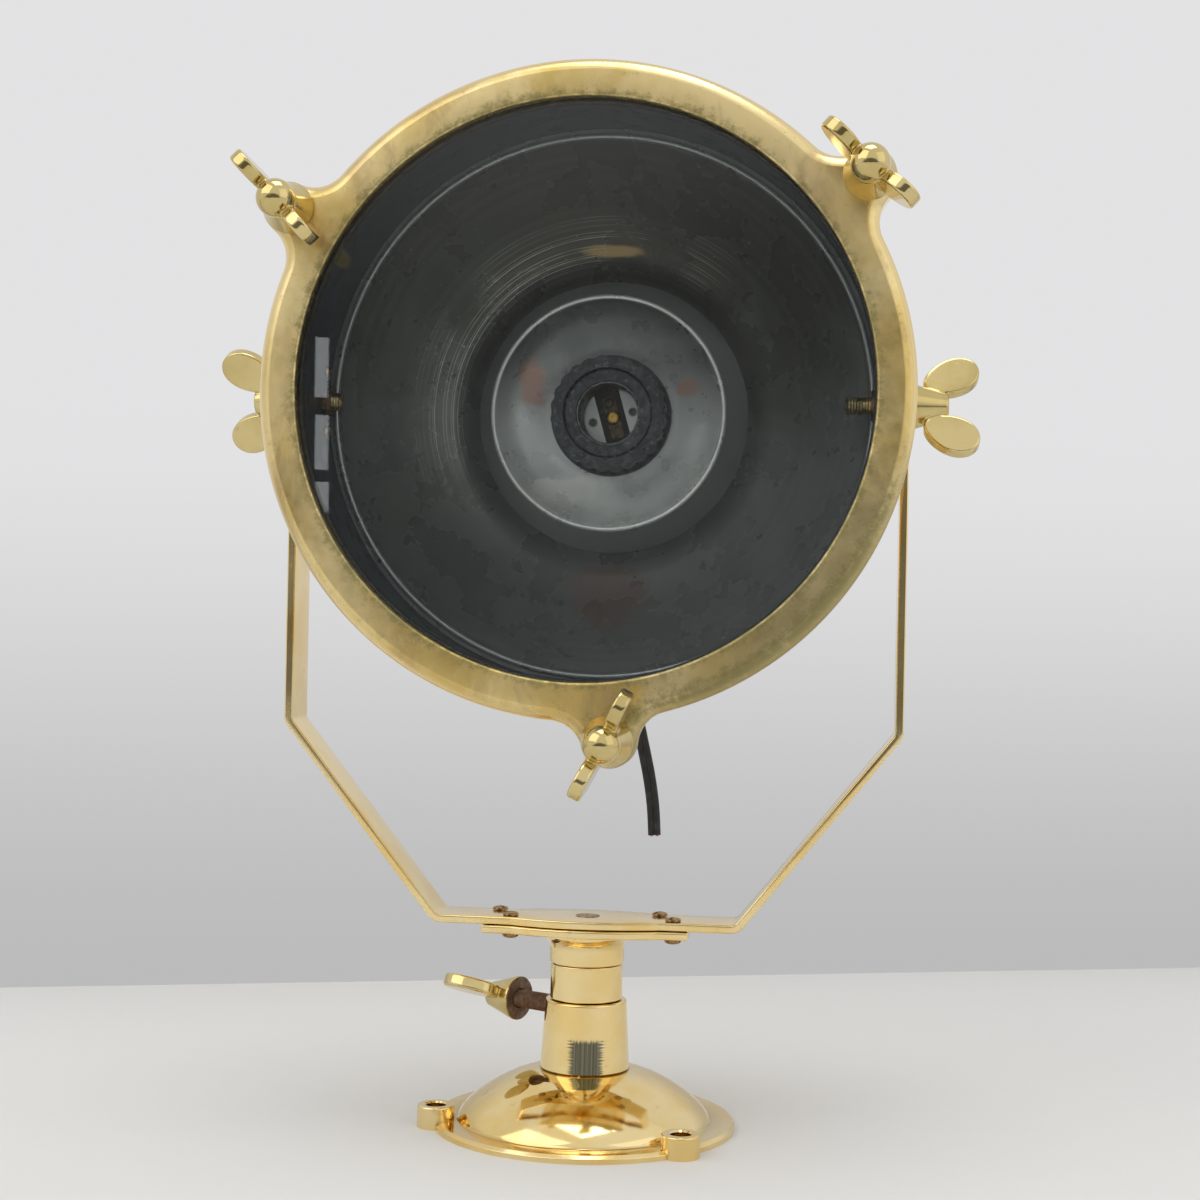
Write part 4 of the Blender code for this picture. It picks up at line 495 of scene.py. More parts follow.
def drawn_in(outline, inset):
    """An anticlockwise outline moved inwards by inset, each corner along its own bisector."""
    found = []
    count = len(outline)
    for index in range(count):
        here = Vector(outline[index])
        before = (here - Vector(outline[index - 1])).normalized()
        after = (Vector(outline[(index + 1) % count]) - here).normalized()
        normal = Vector((-before.y - after.y, before.x + after.x))
        spread = normal.length / 2
        found.append(tuple(here + normal.normalized() * inset / max(spread, 1 / 2)))
    return found


def cap(bm, rings):
    """A face over the first ring of points and one over the last."""
    bm.faces.new(rings[0][::-1])
    bm.faces.new(rings[-1])


def bridge(bm, rings):
    """Faces from each ring of points to the next."""
    for lower, upper in zip(rings, rings[1:]):
        count = len(lower)
        for index in range(count):
            after = (index + 1) % count
            bm.faces.new((lower[index], lower[after], upper[after], upper[index]))


def slab(name, outline, low, high, ease):
    """A flat piece on an outline, its upper and lower edges rounded."""
    bm = bmesh.new()
    rings = []
    for centre, start, end in ((low + ease, -90, 0), (high - ease, 0, 90)):
        for reach, rise in arc((0, centre), ease, start, end, ROUND_STEPS):
            drawn = drawn_in(outline, ease - reach)
            rings.append([bm.verts.new((x, y, rise)) for x, y in drawn])
    inner = drawn_in(outline, ease * SUPPORT_SHARE ** 2)
    rings.insert(0, [bm.verts.new((x, y, low)) for x, y in inner])
    rings.append([bm.verts.new((x, y, high)) for x, y in inner])
    bridge(bm, rings)
    cap(bm, rings)
    return finished_mesh(name, bm)


def rod_mesh(name, places, facets):
    """Separate round rods along +Z; each place is x, y, radius, low, high."""
    bm = bmesh.new()
    for x, y, radius, low, high in places:
        outline = circle_points(radius, facets, (x, y))
        rings = [[bm.verts.new((u, v, height)) for u, v in outline] for height in (low, high)]
        cap(bm, rings)
        bridge(bm, rings)
    return finished_mesh(name, bm)


def joined(name, *meshes):
    """Several meshes as one, each kept as its own closed shell."""
    bm = bmesh.new()
    for mesh in meshes:
        bm.from_mesh(mesh)
    both = bpy.data.meshes.new(name)
    bm.to_mesh(both)
    bm.free()
    both.shade_smooth()
    both.set_sharp_from_angle(angle=SHARP_ANGLE)
    return both


def moved(mesh, matrix):
    mesh.transform(matrix)
    return mesh


def baked(name, mesh, *changes):
    """The mesh after modifiers; each change is a modifier kind and its settings."""
    holder = bpy.data.objects.new(name, mesh)
    bpy.context.collection.objects.link(holder)
    for kind, settings in changes:
        modifier = holder.modifiers.new(kind, kind)
        for key, value in settings.items():
            setattr(modifier, key, value)
    graph = bpy.context.evaluated_depsgraph_get()
    result = bpy.data.meshes.new_from_object(holder.evaluated_get(graph))
    result.name = name
    bpy.data.objects.remove(holder, do_unlink=True)
    return result


def cut(name, mesh, cutter, operation="DIFFERENCE"):
    """The mesh after one exact Boolean with a cutter mesh."""
    tool = bpy.data.objects.new(name + "_tool", cutter)
    bpy.context.collection.objects.link(tool)
    settings = {"operation": operation, "solver": "EXACT", "object": tool}
    result = baked(name, mesh, ("BOOLEAN", settings))
    bpy.data.objects.remove(tool, do_unlink=True)
    result.shade_smooth()
    result.set_sharp_from_angle(angle=SHARP_ANGLE)
    return result


def superellipse(start, end, power=2, steps=BEND_STEPS):
    """A rounded shoulder from start to end; a power of two makes it part of an ellipse."""
    points = []
    for step in range(steps + 1):
        angle = math.pi / 2 * step / steps
        run = 1 - math.cos(angle) ** (2 / power)
        rise = math.sin(angle) ** (2 / power)
        points.append((start[0] + (end[0] - start[0]) * run, start[1] + (end[1] - start[1]) * rise))
    return points


def domed(radius, seat, brim, crown, power=2):
    """The profile of a round head: its seat, then its side and dome up to the crown."""
    return [(0, seat), (radius, seat)] + superellipse((radius, brim), (0, crown), power)


def rectangle(width, height, ease=0):
    corners = ((-1, -1), (1, -1), (1, 1), (-1, 1))
    return eased([(x * width / 2, y * height / 2, ease) for x, y in corners], True)


def thread_profile(radius, depth, start, end, pitch):
    """(radius, height) points of a row of round grooves from start to end."""
    steps = THREAD_STEPS
    turns = max(1, round(abs(end - start) / pitch))
    points = []
    for index in range(turns * steps + 1):
        share = index / (turns * steps)
        wave = (1 - math.cos(math.tau * index / steps)) / 2
        points.append((radius - depth * wave, start + (end - start) * share))
    return points


def add(name, mesh, looks, body, nodes, place=None):
    """One visible piece: it rides on a body, stands for CAD nodes and takes the given materials."""
    piece = bpy.data.objects.new(name, mesh)
    bpy.context.collection.objects.link(piece)
    mesh.materials.clear()
    for look in (looks if isinstance(looks, (list, tuple)) else [looks]):
        mesh.materials.append(look)
    piece.matrix_world = place or Matrix.Identity(4)
    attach(piece, body)
    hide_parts(*nodes)
    return piece


# Materials

class Nodes:
    """Short ways to build a node tree."""

    def __init__(self, tree):
        self.tree = tree

    def node(self, kind, **settings):
        made = self.tree.nodes.new(kind)
        for key, value in settings.items():
            setattr(made, key, value)
        return made

    def link(self, source, target):
        if isinstance(source, bpy.types.NodeSocket):
            self.tree.links.new(source, target)
        elif isinstance(source, tuple) and len(source) == 3 and target.type == "RGBA":
            target.default_value = (*source, 1)
        else:
            target.default_value = source

    def maths(self, operation, first, second=None, third=None):
        made = self.node("ShaderNodeMath", operation=operation)
        for value, socket in zip((first, second, third), made.inputs):
            if value is not None:
                self.link(value, socket)
        return made.outputs[0]

    def plus(self, first, second):
        return self.maths("ADD", first, second)

    def minus(self, first, second):
        return self.maths("SUBTRACT", first, second)

    def times(self, first, second):
        return self.maths("MULTIPLY", first, second)

    def over(self, first, second):
        return self.maths("DIVIDE", first, second)

    def far_out(self, first, second):
        """The distance from zero of two values taken as lengths across and up."""
        return self.maths("SQRT", self.plus(self.times(first, first), self.times(second, second)))

    def step(self, value, low, high, floor=0, ceiling=1):
        """A smooth rise from floor to ceiling as the value goes from low to high."""
        made = self.node("ShaderNodeMapRange", interpolation_type="SMOOTHSTEP")
        self.link(value, made.inputs["Value"])
        for name, given in (("From Min", low), ("From Max", high), ("To Min", floor), ("To Max", ceiling)):
            self.link(given, made.inputs[name])
        return made.outputs["Result"]

    def blend(self, factor, first, second):
        """One shader's output that goes from first to second."""
        made = self.node("ShaderNodeMixShader")
        for value, socket in zip((factor, first, second), made.inputs):
            self.link(value, socket)
        return made.outputs["Shader"]


class Look(Nodes):
    """One material, built round its Principled shader."""

    def __init__(self, name):
        self.material = bpy.data.materials.new(name)
        self.material.use_nodes = True
        super().__init__(self.material.node_tree)
        self.shader = self.tree.nodes["Principled BSDF"]
        self.place = self.node("ShaderNodeTexCoord").outputs["Object"]

    def shift(self, amount):
        moved_place = self.node("ShaderNodeMapping")
        moved_place.inputs["Location"].default_value = amount
        self.link(self.place, moved_place.inputs["Vector"])
        self.place = moved_place.outputs["Vector"]

    def set(self, **inputs):
        for name, value in inputs.items():
            self.link(value, self.shader.inputs[name.replace("_", " ")])

    def finish(self, shader):
        """The material shows this shader's output in place of its Principled shader."""
        self.link(shader, self.tree.nodes["Material Output"].inputs["Surface"])
        return self.material

    def noise(self, scale, detail=3, rough=0.55, vector=None, twist=0):
        made = self.node("ShaderNodeTexNoise")
        settings = (("Scale", scale), ("Detail", detail), ("Roughness", rough), ("Distortion", twist))
        for name, value in settings:
            made.inputs[name].default_value = value
        self.link(vector or self.place, made.inputs["Vector"])
        return made.outputs["Fac"]

    def stretched(self, scales):
        made = self.node("ShaderNodeMapping")
        made.inputs["Scale"].default_value = scales
        self.link(self.place, made.inputs["Vector"])
        return made.outputs["Vector"]

    def mix(self, factor, first, second):
        made = self.node("ShaderNodeMix", data_type="RGBA")
        for value, socket in ((factor, 0), (first, MIX_FIRST), (second, MIX_SECOND)):
            self.link(value, made.inputs[socket])
        return made.outputs[MIX_RESULT]

    def tint(self, colour, where, weight, paint):
        """The colour with some paint laid over it where the value is one."""
        return self.mix(self.times(where, weight), colour, paint)

    def parts(self):
        """x, y and z of the piece's own frame."""
        made = self.node("ShaderNodeSeparateXYZ")
        self.link(self.place, made.inputs[0])
        return made.outputs

    def radius(self):
        x, y, _ = self.parts()
        return self.far_out(x, y)

    def along(self, value, scale, detail=2):
        """Noise that changes with one value only, such as turned lines."""
        joined_up = self.node("ShaderNodeCombineXYZ")
        self.link(value, joined_up.inputs[0])
        return self.noise(scale, detail, vector=joined_up.outputs[0])

    def spot(self, x, y, width, height, fray=0.8):
        """One inside an oval with a frayed edge, in the piece's own x and y."""
        across, up, _ = self.parts()
        reach = self.far_out(self.over(self.minus(across, x), width), self.over(self.minus(up, y), height))
        wobble = self.times(self.minus(self.noise(90, 4, 0.6), 0.5), fray)
        return self.step(self.plus(reach, wobble), 1.0, 0.55)

    def pointed(self, low, high):
        return self.step(self.node("ShaderNodeNewGeometry").outputs["Pointiness"], low, high)

    def bump(self, *layers):
        """Relief laid one on the other; each layer is a value, its height in micrometres and its strength."""
        normal = None
        for height, rise, strength in layers:
            made = self.node("ShaderNodeBump")
            made.inputs["Distance"].default_value = rise * MICROMETRE
            made.inputs["Strength"].default_value = strength
            self.link(height, made.inputs["Height"])
            if normal:
                self.link(normal, made.inputs["Normal"])
            normal = made.outputs["Normal"]
        self.link(normal, self.shader.inputs["Normal"])


GOLD = (0.885, 0.705, 0.365)
WARM_GOLD = (0.85, 0.62, 0.25)
DEEP_GOLD = (0.70, 0.565, 0.27)
OLIVE_GOLD = (0.585, 0.46, 0.19)
BROWN_TARNISH = (0.20, 0.125, 0.045)
GREEN_TARNISH = (0.235, 0.205, 0.085)
BEZEL_GOLD = (0.83, 0.665, 0.335)


def collar_painted_reflection(look):
    """A painted reflection: a dark blue-grey patch low on the front of the collar, broken up by its turning
    lines.
    """
    x, y, z = look.parts()
    aside = look.plus(look.times(x, COLLAR_REFLECTION_ASIDE[0]), look.times(y, COLLAR_REFLECTION_ASIDE[1]))
    torn = look.times(look.minus(look.along(z, 1500, 3), 0.5), COLLAR_REFLECTION_TEAR)
    reach = look.plus(look.maths("ABSOLUTE", look.minus(aside, COLLAR_REFLECTION_CENTRE)), torn)
    wide = look.step(reach, *COLLAR_REFLECTION_SIDES)
    ragged = look.plus(z, look.times(look.along(aside, 900, 2), COLLAR_REFLECTION_RAGS))
    high = look.step(ragged, *COLLAR_REFLECTION_TOP)
    low = look.step(z, DOME_TOP_HEIGHT + COLLAR_UNDERCUT / 2, DOME_TOP_HEIGHT + COLLAR_UNDERCUT)
    front = look.step(y, *COLLAR_REFLECTION_FRONT)
    return look.times(look.times(wide, front), look.times(high, low))


def polished_brass(
    name, shift=(0, 0, 0), gloss=(0.055, 0.15), wave=60, lines=None, tones=(GOLD, WARM_GOLD),
):
    """Lacquered brass with a soft uneven surface, specks and patches of brown.

    It has brown corners and the relief of scratches and pits unless its lines are "smooth". Lines
    that are "round" are turning lines, and "collar" adds a painted reflection, a dark patch low on the front
    of the collar of the base.
    """
    look = Look(name)
    plain = look.place
    look.shift(shift)
    cloud = look.step(look.noise(34, 4), 0.40, 0.66)
    colour = look.mix(cloud, *tones)
    pits = look.step(look.noise(950, 2, 0.7), 0.70, 0.80)
    patches = look.step(look.noise(95, 5, 0.7), 0.62, 0.74)
    colour = look.tint(colour, pits, 0.75, BROWN_TARNISH)
    colour = look.tint(colour, patches, 0.30, BROWN_TARNISH)
    if lines != "smooth":
        corner = look.pointed(0.485, 0.42)
        colour = look.tint(colour, corner, 0.65, BROWN_TARNISH)
    scratch = look.noise(520, 3, 0.65, look.stretched((1, 0.06, 1)), 0.2)
    if lines == "collar":
        # painted reflection: a dark blue-grey patch on the collar's front, streaked along its turning lines
        look.place = plain
        shade = look.times(collar_painted_reflection(look), 0.92)
        streaky = look.step(look.along(look.parts()[0], 1100, 2), 0.42, 0.60)
        colour = look.mix(shade, colour, look.mix(streaky, (0.050, 0.057, 0.047), (0.150, 0.154, 0.122)))
        look.shift(shift)
    rough = look.step(look.noise(18, 3), 0.30, 0.72, *gloss)
    rough = look.plus(rough, look.times(patches, 0.10))
    rough = look.plus(rough, look.times(look.step(scratch, 0.58, 0.75), 0.05))
    layers = [(look.noise(30, 2), wave * 8, 0.35), (look.noise(130, 2), wave, 0.35)]
    if lines != "smooth":
        layers += [(scratch, 10, 0.15), (pits, -30, 0.3)]
    if lines == "round":
        layers.append((look.along(look.parts()[2], 900, 2), 14, 0.55))
    look.set(Base_Color=colour, Metallic=1.0, Roughness=rough)
    look.bump(*layers)
    return look.material


def bezel_brass():
    """Satin brass face with green-brown tarnish towards its inner edge and its outer edge low on the right,
    painted shade darkening its lower right, and a bright rim.
    """
    look = Look("bezel_brass")
    x, y, z = look.parts()
    radius = look.radius()
    cloud = look.step(look.noise(26, 5, 0.6, look.stretched((1, 0.55, 1)), 0.4), 0.36, 0.66)
    colour = look.mix(cloud, BEZEL_GOLD, (0.64, 0.465, 0.160))
    smudge = look.step(look.noise(58, 4, 0.62, look.stretched((1, 0.5, 1)), 0.6), 0.52, 0.70)
    colour = look.tint(colour, smudge, 0.55, (0.43, 0.30, 0.15))
    grain = look.noise(210, 8, 0.78)
    low = look.step(look.plus(y, look.times(x, BEZEL_LOW_SLANT)), *BEZEL_LOW_EDGE)
    outer = look.step(radius, *(BEZEL_RADIUS - reach for reach in BEZEL_OUTER_BAND))
    inner = look.step(radius, *(BEZEL_OPENING_RADIUS + reach for reach in BEZEL_INNER_BAND))
    edge = look.maths("MAXIMUM", look.times(outer, low), look.times(inner, 0.62))
    spread = look.plus(look.times(edge, 0.34), look.times(look.noise(17, 3, 0.5), 0.28))
    # painted shade: the whole lower right of the face is darkened towards olive brown
    colour = look.tint(colour, low, 0.70, (0.34, 0.28, 0.15))
    tarnish = look.step(look.plus(grain, spread), 0.68, 0.98)
    colour = look.tint(colour, tarnish, 0.85, GREEN_TARNISH)
    pits = look.step(look.noise(620, 2, 0.6), 0.70, 0.78)
    colour = look.tint(colour, pits, 0.7, BROWN_TARNISH)
    level = look.minus(BEZEL_FRONT - BEZEL_BEVEL_DEPTH * 0.10, z)
    rim = look.step(level, 0.0, BEZEL_BEVEL_DEPTH * 0.5)
    # the painted shade on the lower right also dims the bright rim there
    rim = look.times(rim, look.minus(1.0, look.times(low, 0.7)))
    colour = look.tint(colour, rim, 0.85, GOLD)
    face_rough = look.step(look.noise(60, 5, 0.7), 0.3, 0.7, 0.27, 0.40)
    rough = look.step(rim, 0.0, 1.0, face_rough, 0.12)
    rough = look.plus(rough, look.times(tarnish, 0.16))
    look.set(Base_Color=colour, Metallic=1.0, Roughness=rough)
    look.bump(
        (look.noise(42, 3), 500, 0.20), (grain, 50, 0.35),
        (pits, -80, 0.6), (look.noise(900, 2), 10, 0.3),
    )
    return look.material


def aged_brass(name="aged_brass", colour=(0.46, 0.30, 0.14), dark=(0.13, 0.075, 0.035)):
    look = Look(name)
    patches = look.step(look.noise(420, 5, 0.7), 0.42, 0.66)
    corner = look.pointed(0.49, 0.43)
    tone = look.mix(look.maths("MAXIMUM", patches, corner), colour, dark)
    look.set(Base_Color=tone, Metallic=1.0, Roughness=look.step(look.noise(260, 4), 0.3, 0.7, 0.24, 0.5))
    look.bump((look.noise(700, 4), 60, 0.5))
    return look.material


def drum_paint():
    """Dark blue-black paint inside the drum, a little dusty, with painted light that turns it pale deep in
    the tail.
    """
    look = Look("drum_paint")
    dust = look.step(look.noise(70, 6, 0.7), 0.45, 0.75)
    colour = look.mix(dust, (0.012, 0.018, 0.023), (0.032, 0.041, 0.047))
    # painted light: deep in the tail, where the cup shades it, the paint turns pale grey
    deep = look.step(look.parts()[2], *DRUM_PAINTED_LIGHT_EDGE)
    colour = look.mix(deep, colour, (0.50, 0.53, 0.535))
    specks = look.step(look.noise(900, 2), 0.73, 0.78)
    colour = look.tint(colour, specks, 0.5, (0.12, 0.10, 0.07))
    look.set(Base_Color=colour, Roughness=look.step(dust, 0, 1, 0.30, 0.52))
    look.bump((look.noise(320, 4), 40, 0.4))
    return look.material


def dark_mirror():
    """Tarnished dark silvering spun in rings, with painted reflections: darker above and on the left, paler
    below and round the hole, pale highlight streaks, an amber spot above the cup and a paler rolled rim as a
    painted highlight; a reddish-brown spot below the cup.
    """
    look = Look("dark_mirror")
    x, y, _ = look.parts()
    radius = look.radius()
    rings = look.along(radius, 260, 3)
    cloud = look.noise(22, 5, 0.6, None, 0.8)
    # painted reflection: darker and browner above, paler grey below
    ragged = look.plus(y, look.times(look.minus(cloud, 0.5), MIRROR_SHADED_TOP_RAGS))
    upper = look.step(ragged, *MIRROR_SHADED_TOP_EDGE)
    colour = look.mix(upper, (0.25, 0.26, 0.262), (0.088, 0.088, 0.070))
    # painted reflection: darker on the left
    left = look.step(x, *MIRROR_SHADED_LEFT_EDGE, 0, 0.45)
    colour = look.mix(left, colour, (0.050, 0.056, 0.055))
    colour = look.mix(look.step(rings, 0.35, 0.75, 0, 0.40), colour, (0.170, 0.172, 0.158))
    # painted light: the dish is paler round the hole
    lit_throat = look.step(radius, *MIRROR_LIT_THROAT)
    colour = look.tint(colour, lit_throat, 0.9, (0.44, 0.45, 0.45))
    # painted highlights: pale broken arcs in a belt on the upper left of the dish
    belt = look.times(look.step(radius, *MIRROR_HIGHLIGHT_BELT_INNER), look.step(radius, *MIRROR_HIGHLIGHT_BELT_OUTER))
    streak_highlights = look.step(look.along(radius, 1500, 2), 0.50, 0.66)
    broken = look.step(look.noise(26, 3), 0.36, 0.56)
    side = look.step(look.minus(y, look.times(x, 0.9)), *MIRROR_HIGHLIGHT_SIDE_EDGE)
    streak_highlights = look.times(look.times(streak_highlights, broken), look.times(belt, side))
    colour = look.mix(streak_highlights, colour, (0.78, 0.75, 0.64))
    stain = look.step(look.noise(55, 6, 0.75), 0.58, 0.74)
    colour = look.tint(colour, stain, 0.18, (0.050, 0.060, 0.060))
    # painted reflection: an amber spot above the cup, standing for brass mirrored in the dish
    amber_reflection = look.spot(*MIRROR_AMBER_REFLECTION)
    colour = look.tint(colour, amber_reflection, 0.7, (0.62, 0.42, 0.19))
    # a reddish-brown spot below the cup
    copper = look.spot(*MIRROR_RED_SPOT)
    colour = look.tint(colour, copper, 0.45, (0.27, 0.135, 0.105))
    specks = look.step(look.noise(700, 1), 0.765, 0.79)
    colour = look.mix(specks, colour, (0.45, 0.42, 0.34))
    # painted highlight: the rolled rim is made paler
    rim = look.step(radius, REFLECTOR_RADIUS - REFLECTOR_BEAD / 3, REFLECTOR_RADIUS)
    colour = look.mix(rim, colour, (0.34, 0.36, 0.36))
    rough = look.step(look.noise(48, 4), 0.3, 0.7, 0.22, 0.36)
    look.set(Base_Color=colour, Metallic=0.6, Roughness=rough)
    look.bump((rings, 60, 0.6), (look.along(radius, 1200, 1), 12, 0.5), (cloud, 900, 0.12))
    return look.material


def cup_silver():
    """Worn silvering on the small bowl with painted light: darker above, pale below, a bright smear low on
    the left, pinkish reflections left and right and a pale rim as a painted highlight.
    """
    look = Look("cup_silver")
    radius = look.radius()
    rings = look.along(radius, 420, 2)
    cloud = look.step(look.noise(36, 4, 0.6, None, 0.6), 0.40, 0.68)
    # painted shade: the upper part of the bowl is darkened, the lower part pale
    ragged = look.plus(look.parts()[1], look.times(cloud, CUP_SHADED_TOP_RAGS))
    upper = look.step(ragged, *CUP_SHADED_TOP_EDGE)
    colour = look.mix(cloud, (0.76, 0.79, 0.79), (0.92, 0.93, 0.92))
    colour = look.mix(upper, colour, look.mix(cloud, (0.22, 0.235, 0.235), (0.33, 0.34, 0.335)))
    # painted highlight: a bright smear low on the left of the bowl
    smear = look.spot(*CUP_PAINTED_HIGHLIGHT)
    colour = look.tint(colour, smear, 0.9, (0.99, 0.99, 0.97))
    # painted reflections: pinkish spots on the left and right of the bowl
    copper = look.maths("MAXIMUM", look.spot(*CUP_LEFT_REFLECTION), look.spot(*CUP_RIGHT_REFLECTION))
    colour = look.tint(colour, copper, 0.75, (0.60, 0.34, 0.28))
    specks = look.step(look.noise(520, 3), 0.68, 0.76)
    colour = look.tint(colour, specks, 0.6, (0.07, 0.07, 0.07))
    # painted highlight: the rolled rim is made pale all round
    rim = look.step(radius, CUP_RIM_RADIUS - CUP_BEAD / 3, CUP_RIM_RADIUS + CUP_BEAD / 2)
    colour = look.mix(rim, colour, (0.80, 0.81, 0.79))
    look.set(Base_Color=colour, Metallic=0.45, Roughness=look.step(look.noise(70, 3), 0.3, 0.7, 0.24, 0.40))
    look.bump((rings, 40, 0.5), (look.noise(45, 2), 400, 0.18))
    return look.material


def bakelite():
    """Blue-black moulded plastic with painted highlights as pale flecks on its raised edges."""
    look = Look("bakelite")
    swirl = look.step(look.noise(140, 4, 0.6, None, 2.0), 0.4, 0.7)
    # painted highlights: pale flecks on the raised edges of the knurls and lips
    dust = look.times(look.step(look.noise(330, 3, 0.6), 0.58, 0.66), look.pointed(0.50, 0.54))
    colour = look.mix(swirl, (0.042, 0.049, 0.055), (0.098, 0.107, 0.115))
    colour = look.tint(colour, dust, 0.8, (0.20, 0.21, 0.21))
    rough = look.step(look.noise(200, 3), 0.3, 0.7, 0.26, 0.44)
    look.set(Base_Color=colour, Roughness=rough, Specular_IOR_Level=0.35)
    look.bump((look.noise(800, 3), 20, 0.4))
    return look.material


def porcelain():
    look = Look("porcelain")
    stain = look.step(look.noise(180, 5, 0.6), 0.50, 0.75)
    colour = look.mix(look.times(stain, 0.4), (0.93, 0.96, 0.95), (0.62, 0.62, 0.57))
    # painted shade: dark in and round the two holes
    for side in (-1, 1):
        hole_shade = look.spot(side * PORCELAIN_HOLE_PLACE, 0, PORCELAIN_HOLE_SHADE_REACH, PORCELAIN_HOLE_SHADE_REACH, 0.5)
        colour = look.tint(colour, hole_shade, 0.85, (0.055, 0.048, 0.038))
    # painted shade: the slot across the disc is dark inside
    across = look.maths("ABSOLUTE", look.parts()[0])
    slot = look.step(across, CONTACT_SLOT_WIDTH / 2 + PORCELAIN_SLOT_BLUR, CONTACT_SLOT_WIDTH / 2)
    colour = look.mix(slot, colour, (0.030, 0.032, 0.032))
    look.set(Base_Color=colour, Roughness=look.step(stain, 0, 1, 0.16, 0.40))
    look.bump((look.noise(420, 3), 30, 0.35))
    return look.material


def rubber(name, colour=(0.0105, 0.0110, 0.0120), pale=(0.032, 0.033, 0.035)):
    look = Look(name)
    bloom = look.step(look.noise(190, 5, 0.7), 0.42, 0.72)
    look.set(
        Base_Color=look.mix(bloom, colour, pale),
        Roughness=look.step(look.noise(420, 3), 0.3, 0.7, 0.42, 0.62),
    )
    look.bump((look.noise(1500, 3), 30, 0.5))
    return look.material


def rusty_steel():
    look = Look("rusty_steel")
    rust = look.step(look.noise(230, 7, 0.75), 0.36, 0.60)
    deep = look.step(look.noise(600, 4, 0.7), 0.50, 0.72)
    colour = look.mix(rust, (0.23, 0.17, 0.12), (0.155, 0.072, 0.038))
    colour = look.tint(colour, deep, 0.6, (0.055, 0.030, 0.022))
    look.set(
        Base_Color=colour, Metallic=look.step(rust, 0, 1, 0.85, 0.25),
        Roughness=look.step(rust, 0, 1, 0.40, 0.72),
    )
    look.bump((look.noise(520, 6, 0.7), 120, 0.6), (deep, 60, 0.5))
    return look.material


def plated_steel():
    look = Look("plated_steel")
    bloom = look.step(look.noise(240, 5, 0.7), 0.40, 0.70)
    colour = look.mix(bloom, (0.46, 0.45, 0.42), (0.26, 0.25, 0.22))
    rust = look.step(look.noise(520, 4, 0.7), 0.66, 0.76)
    colour = look.tint(colour, rust, 0.7, (0.17, 0.085, 0.045))
    look.set(Base_Color=colour, Metallic=0.95, Roughness=look.step(bloom, 0, 1, 0.26, 0.46))
    look.bump((look.noise(420, 4), 50, 0.4), (look.along(look.radius(), 1400, 1), 10, 0.4))
    return look.material


def copper_ends():
    look = Look("copper_ends")
    strands = look.noise(5200, 1, 0.5)
    colour = look.mix(look.step(strands, 0.4, 0.6), (0.48, 0.22, 0.13), (0.75, 0.42, 0.28))
    look.set(Base_Color=colour, Metallic=1.0, Roughness=look.step(strands, 0.3, 0.7, 0.28, 0.5))
    look.bump((strands, 60, 0.7))
    return look.material


def clear_glass():
    """Old plate glass with faint smears; light from the lamps reaches what is behind it."""
    look = Look("clear_glass")
    smear = look.step(look.noise(16, 5, 0.7, look.stretched((1, 0.4, 1)), 1.2), 0.45, 0.85)
    look.set(
        Base_Color=(0.93, 0.96, 0.95), IOR=1.5, Transmission_Weight=1.0,
        Roughness=look.times(smear, 0.012),
    )
    look.bump((look.noise(9, 2), 400, 0.05))
    clear = look.node("ShaderNodeBsdfTransparent")
    look.link((0.90, 0.93, 0.92), clear.inputs["Color"])
    to_lamp = look.node("ShaderNodeLightPath").outputs["Is Shadow Ray"]
    return look.finish(look.blend(to_lamp, look.shader.outputs["BSDF"], clear.outputs["BSDF"]))


# Base

def dome_profile(foot_radius, crown_radius, foot_height, crown_height, steps):
    points = []
    for step in range(steps + 1):
        share = math.cos(math.pi / 2 * step / steps)
        radius = crown_radius + (foot_radius - crown_radius) * share
        rise = (1 - share ** DOME_BASE_SHARE) ** DOME_CROWN_SHARE
        points.append((radius, foot_height + (crown_height - foot_height) * rise))
    return points


def lock_matrix():
    direction = Vector((*polar(1, LOCK_ANGLE), 0))
    return axes_matrix((0, 0, LOCK_HEIGHT), direction, (0, 0, 1))


def base_lugs():
    profile = eased([
        (0, 0, 0), (LUG_RADIUS, 0, 0), (LUG_RADIUS, LUG_HEIGHT, EDGE_ROUND),
        (LUG_HOLE_RADIUS, LUG_HEIGHT, 0), (0, LUG_HEIGHT, 0),
    ])
    lugs = []
    for angle in LUG_ANGLES:
        at = Matrix.Translation((*polar(LUG_CIRCLE_RADIUS, angle), 0))
        lugs.append(moved(turned("lug", profile, SMALL_FACETS), at))
    return joined("lugs", *lugs)


def lug_holes():
    sink = [
        (0, -CUT_OVERRUN), (LUG_HOLE_RADIUS, -CUT_OVERRUN), (LUG_HOLE_RADIUS, LUG_HEIGHT - LUG_SINK),
        (LUG_HOLE_RADIUS + 2 * LUG_SINK, LUG_HEIGHT + LUG_SINK), (0, LUG_HEIGHT + LUG_SINK),
    ]
    holes = []
    for angle in LUG_ANGLES:
        at = Matrix.Translation((*polar(LUG_CIRCLE_RADIUS, angle), 0))
        holes.append(moved(turned("lug_hole", sink, SMALL_FACETS), at))
    return joined("lug_holes", *holes)


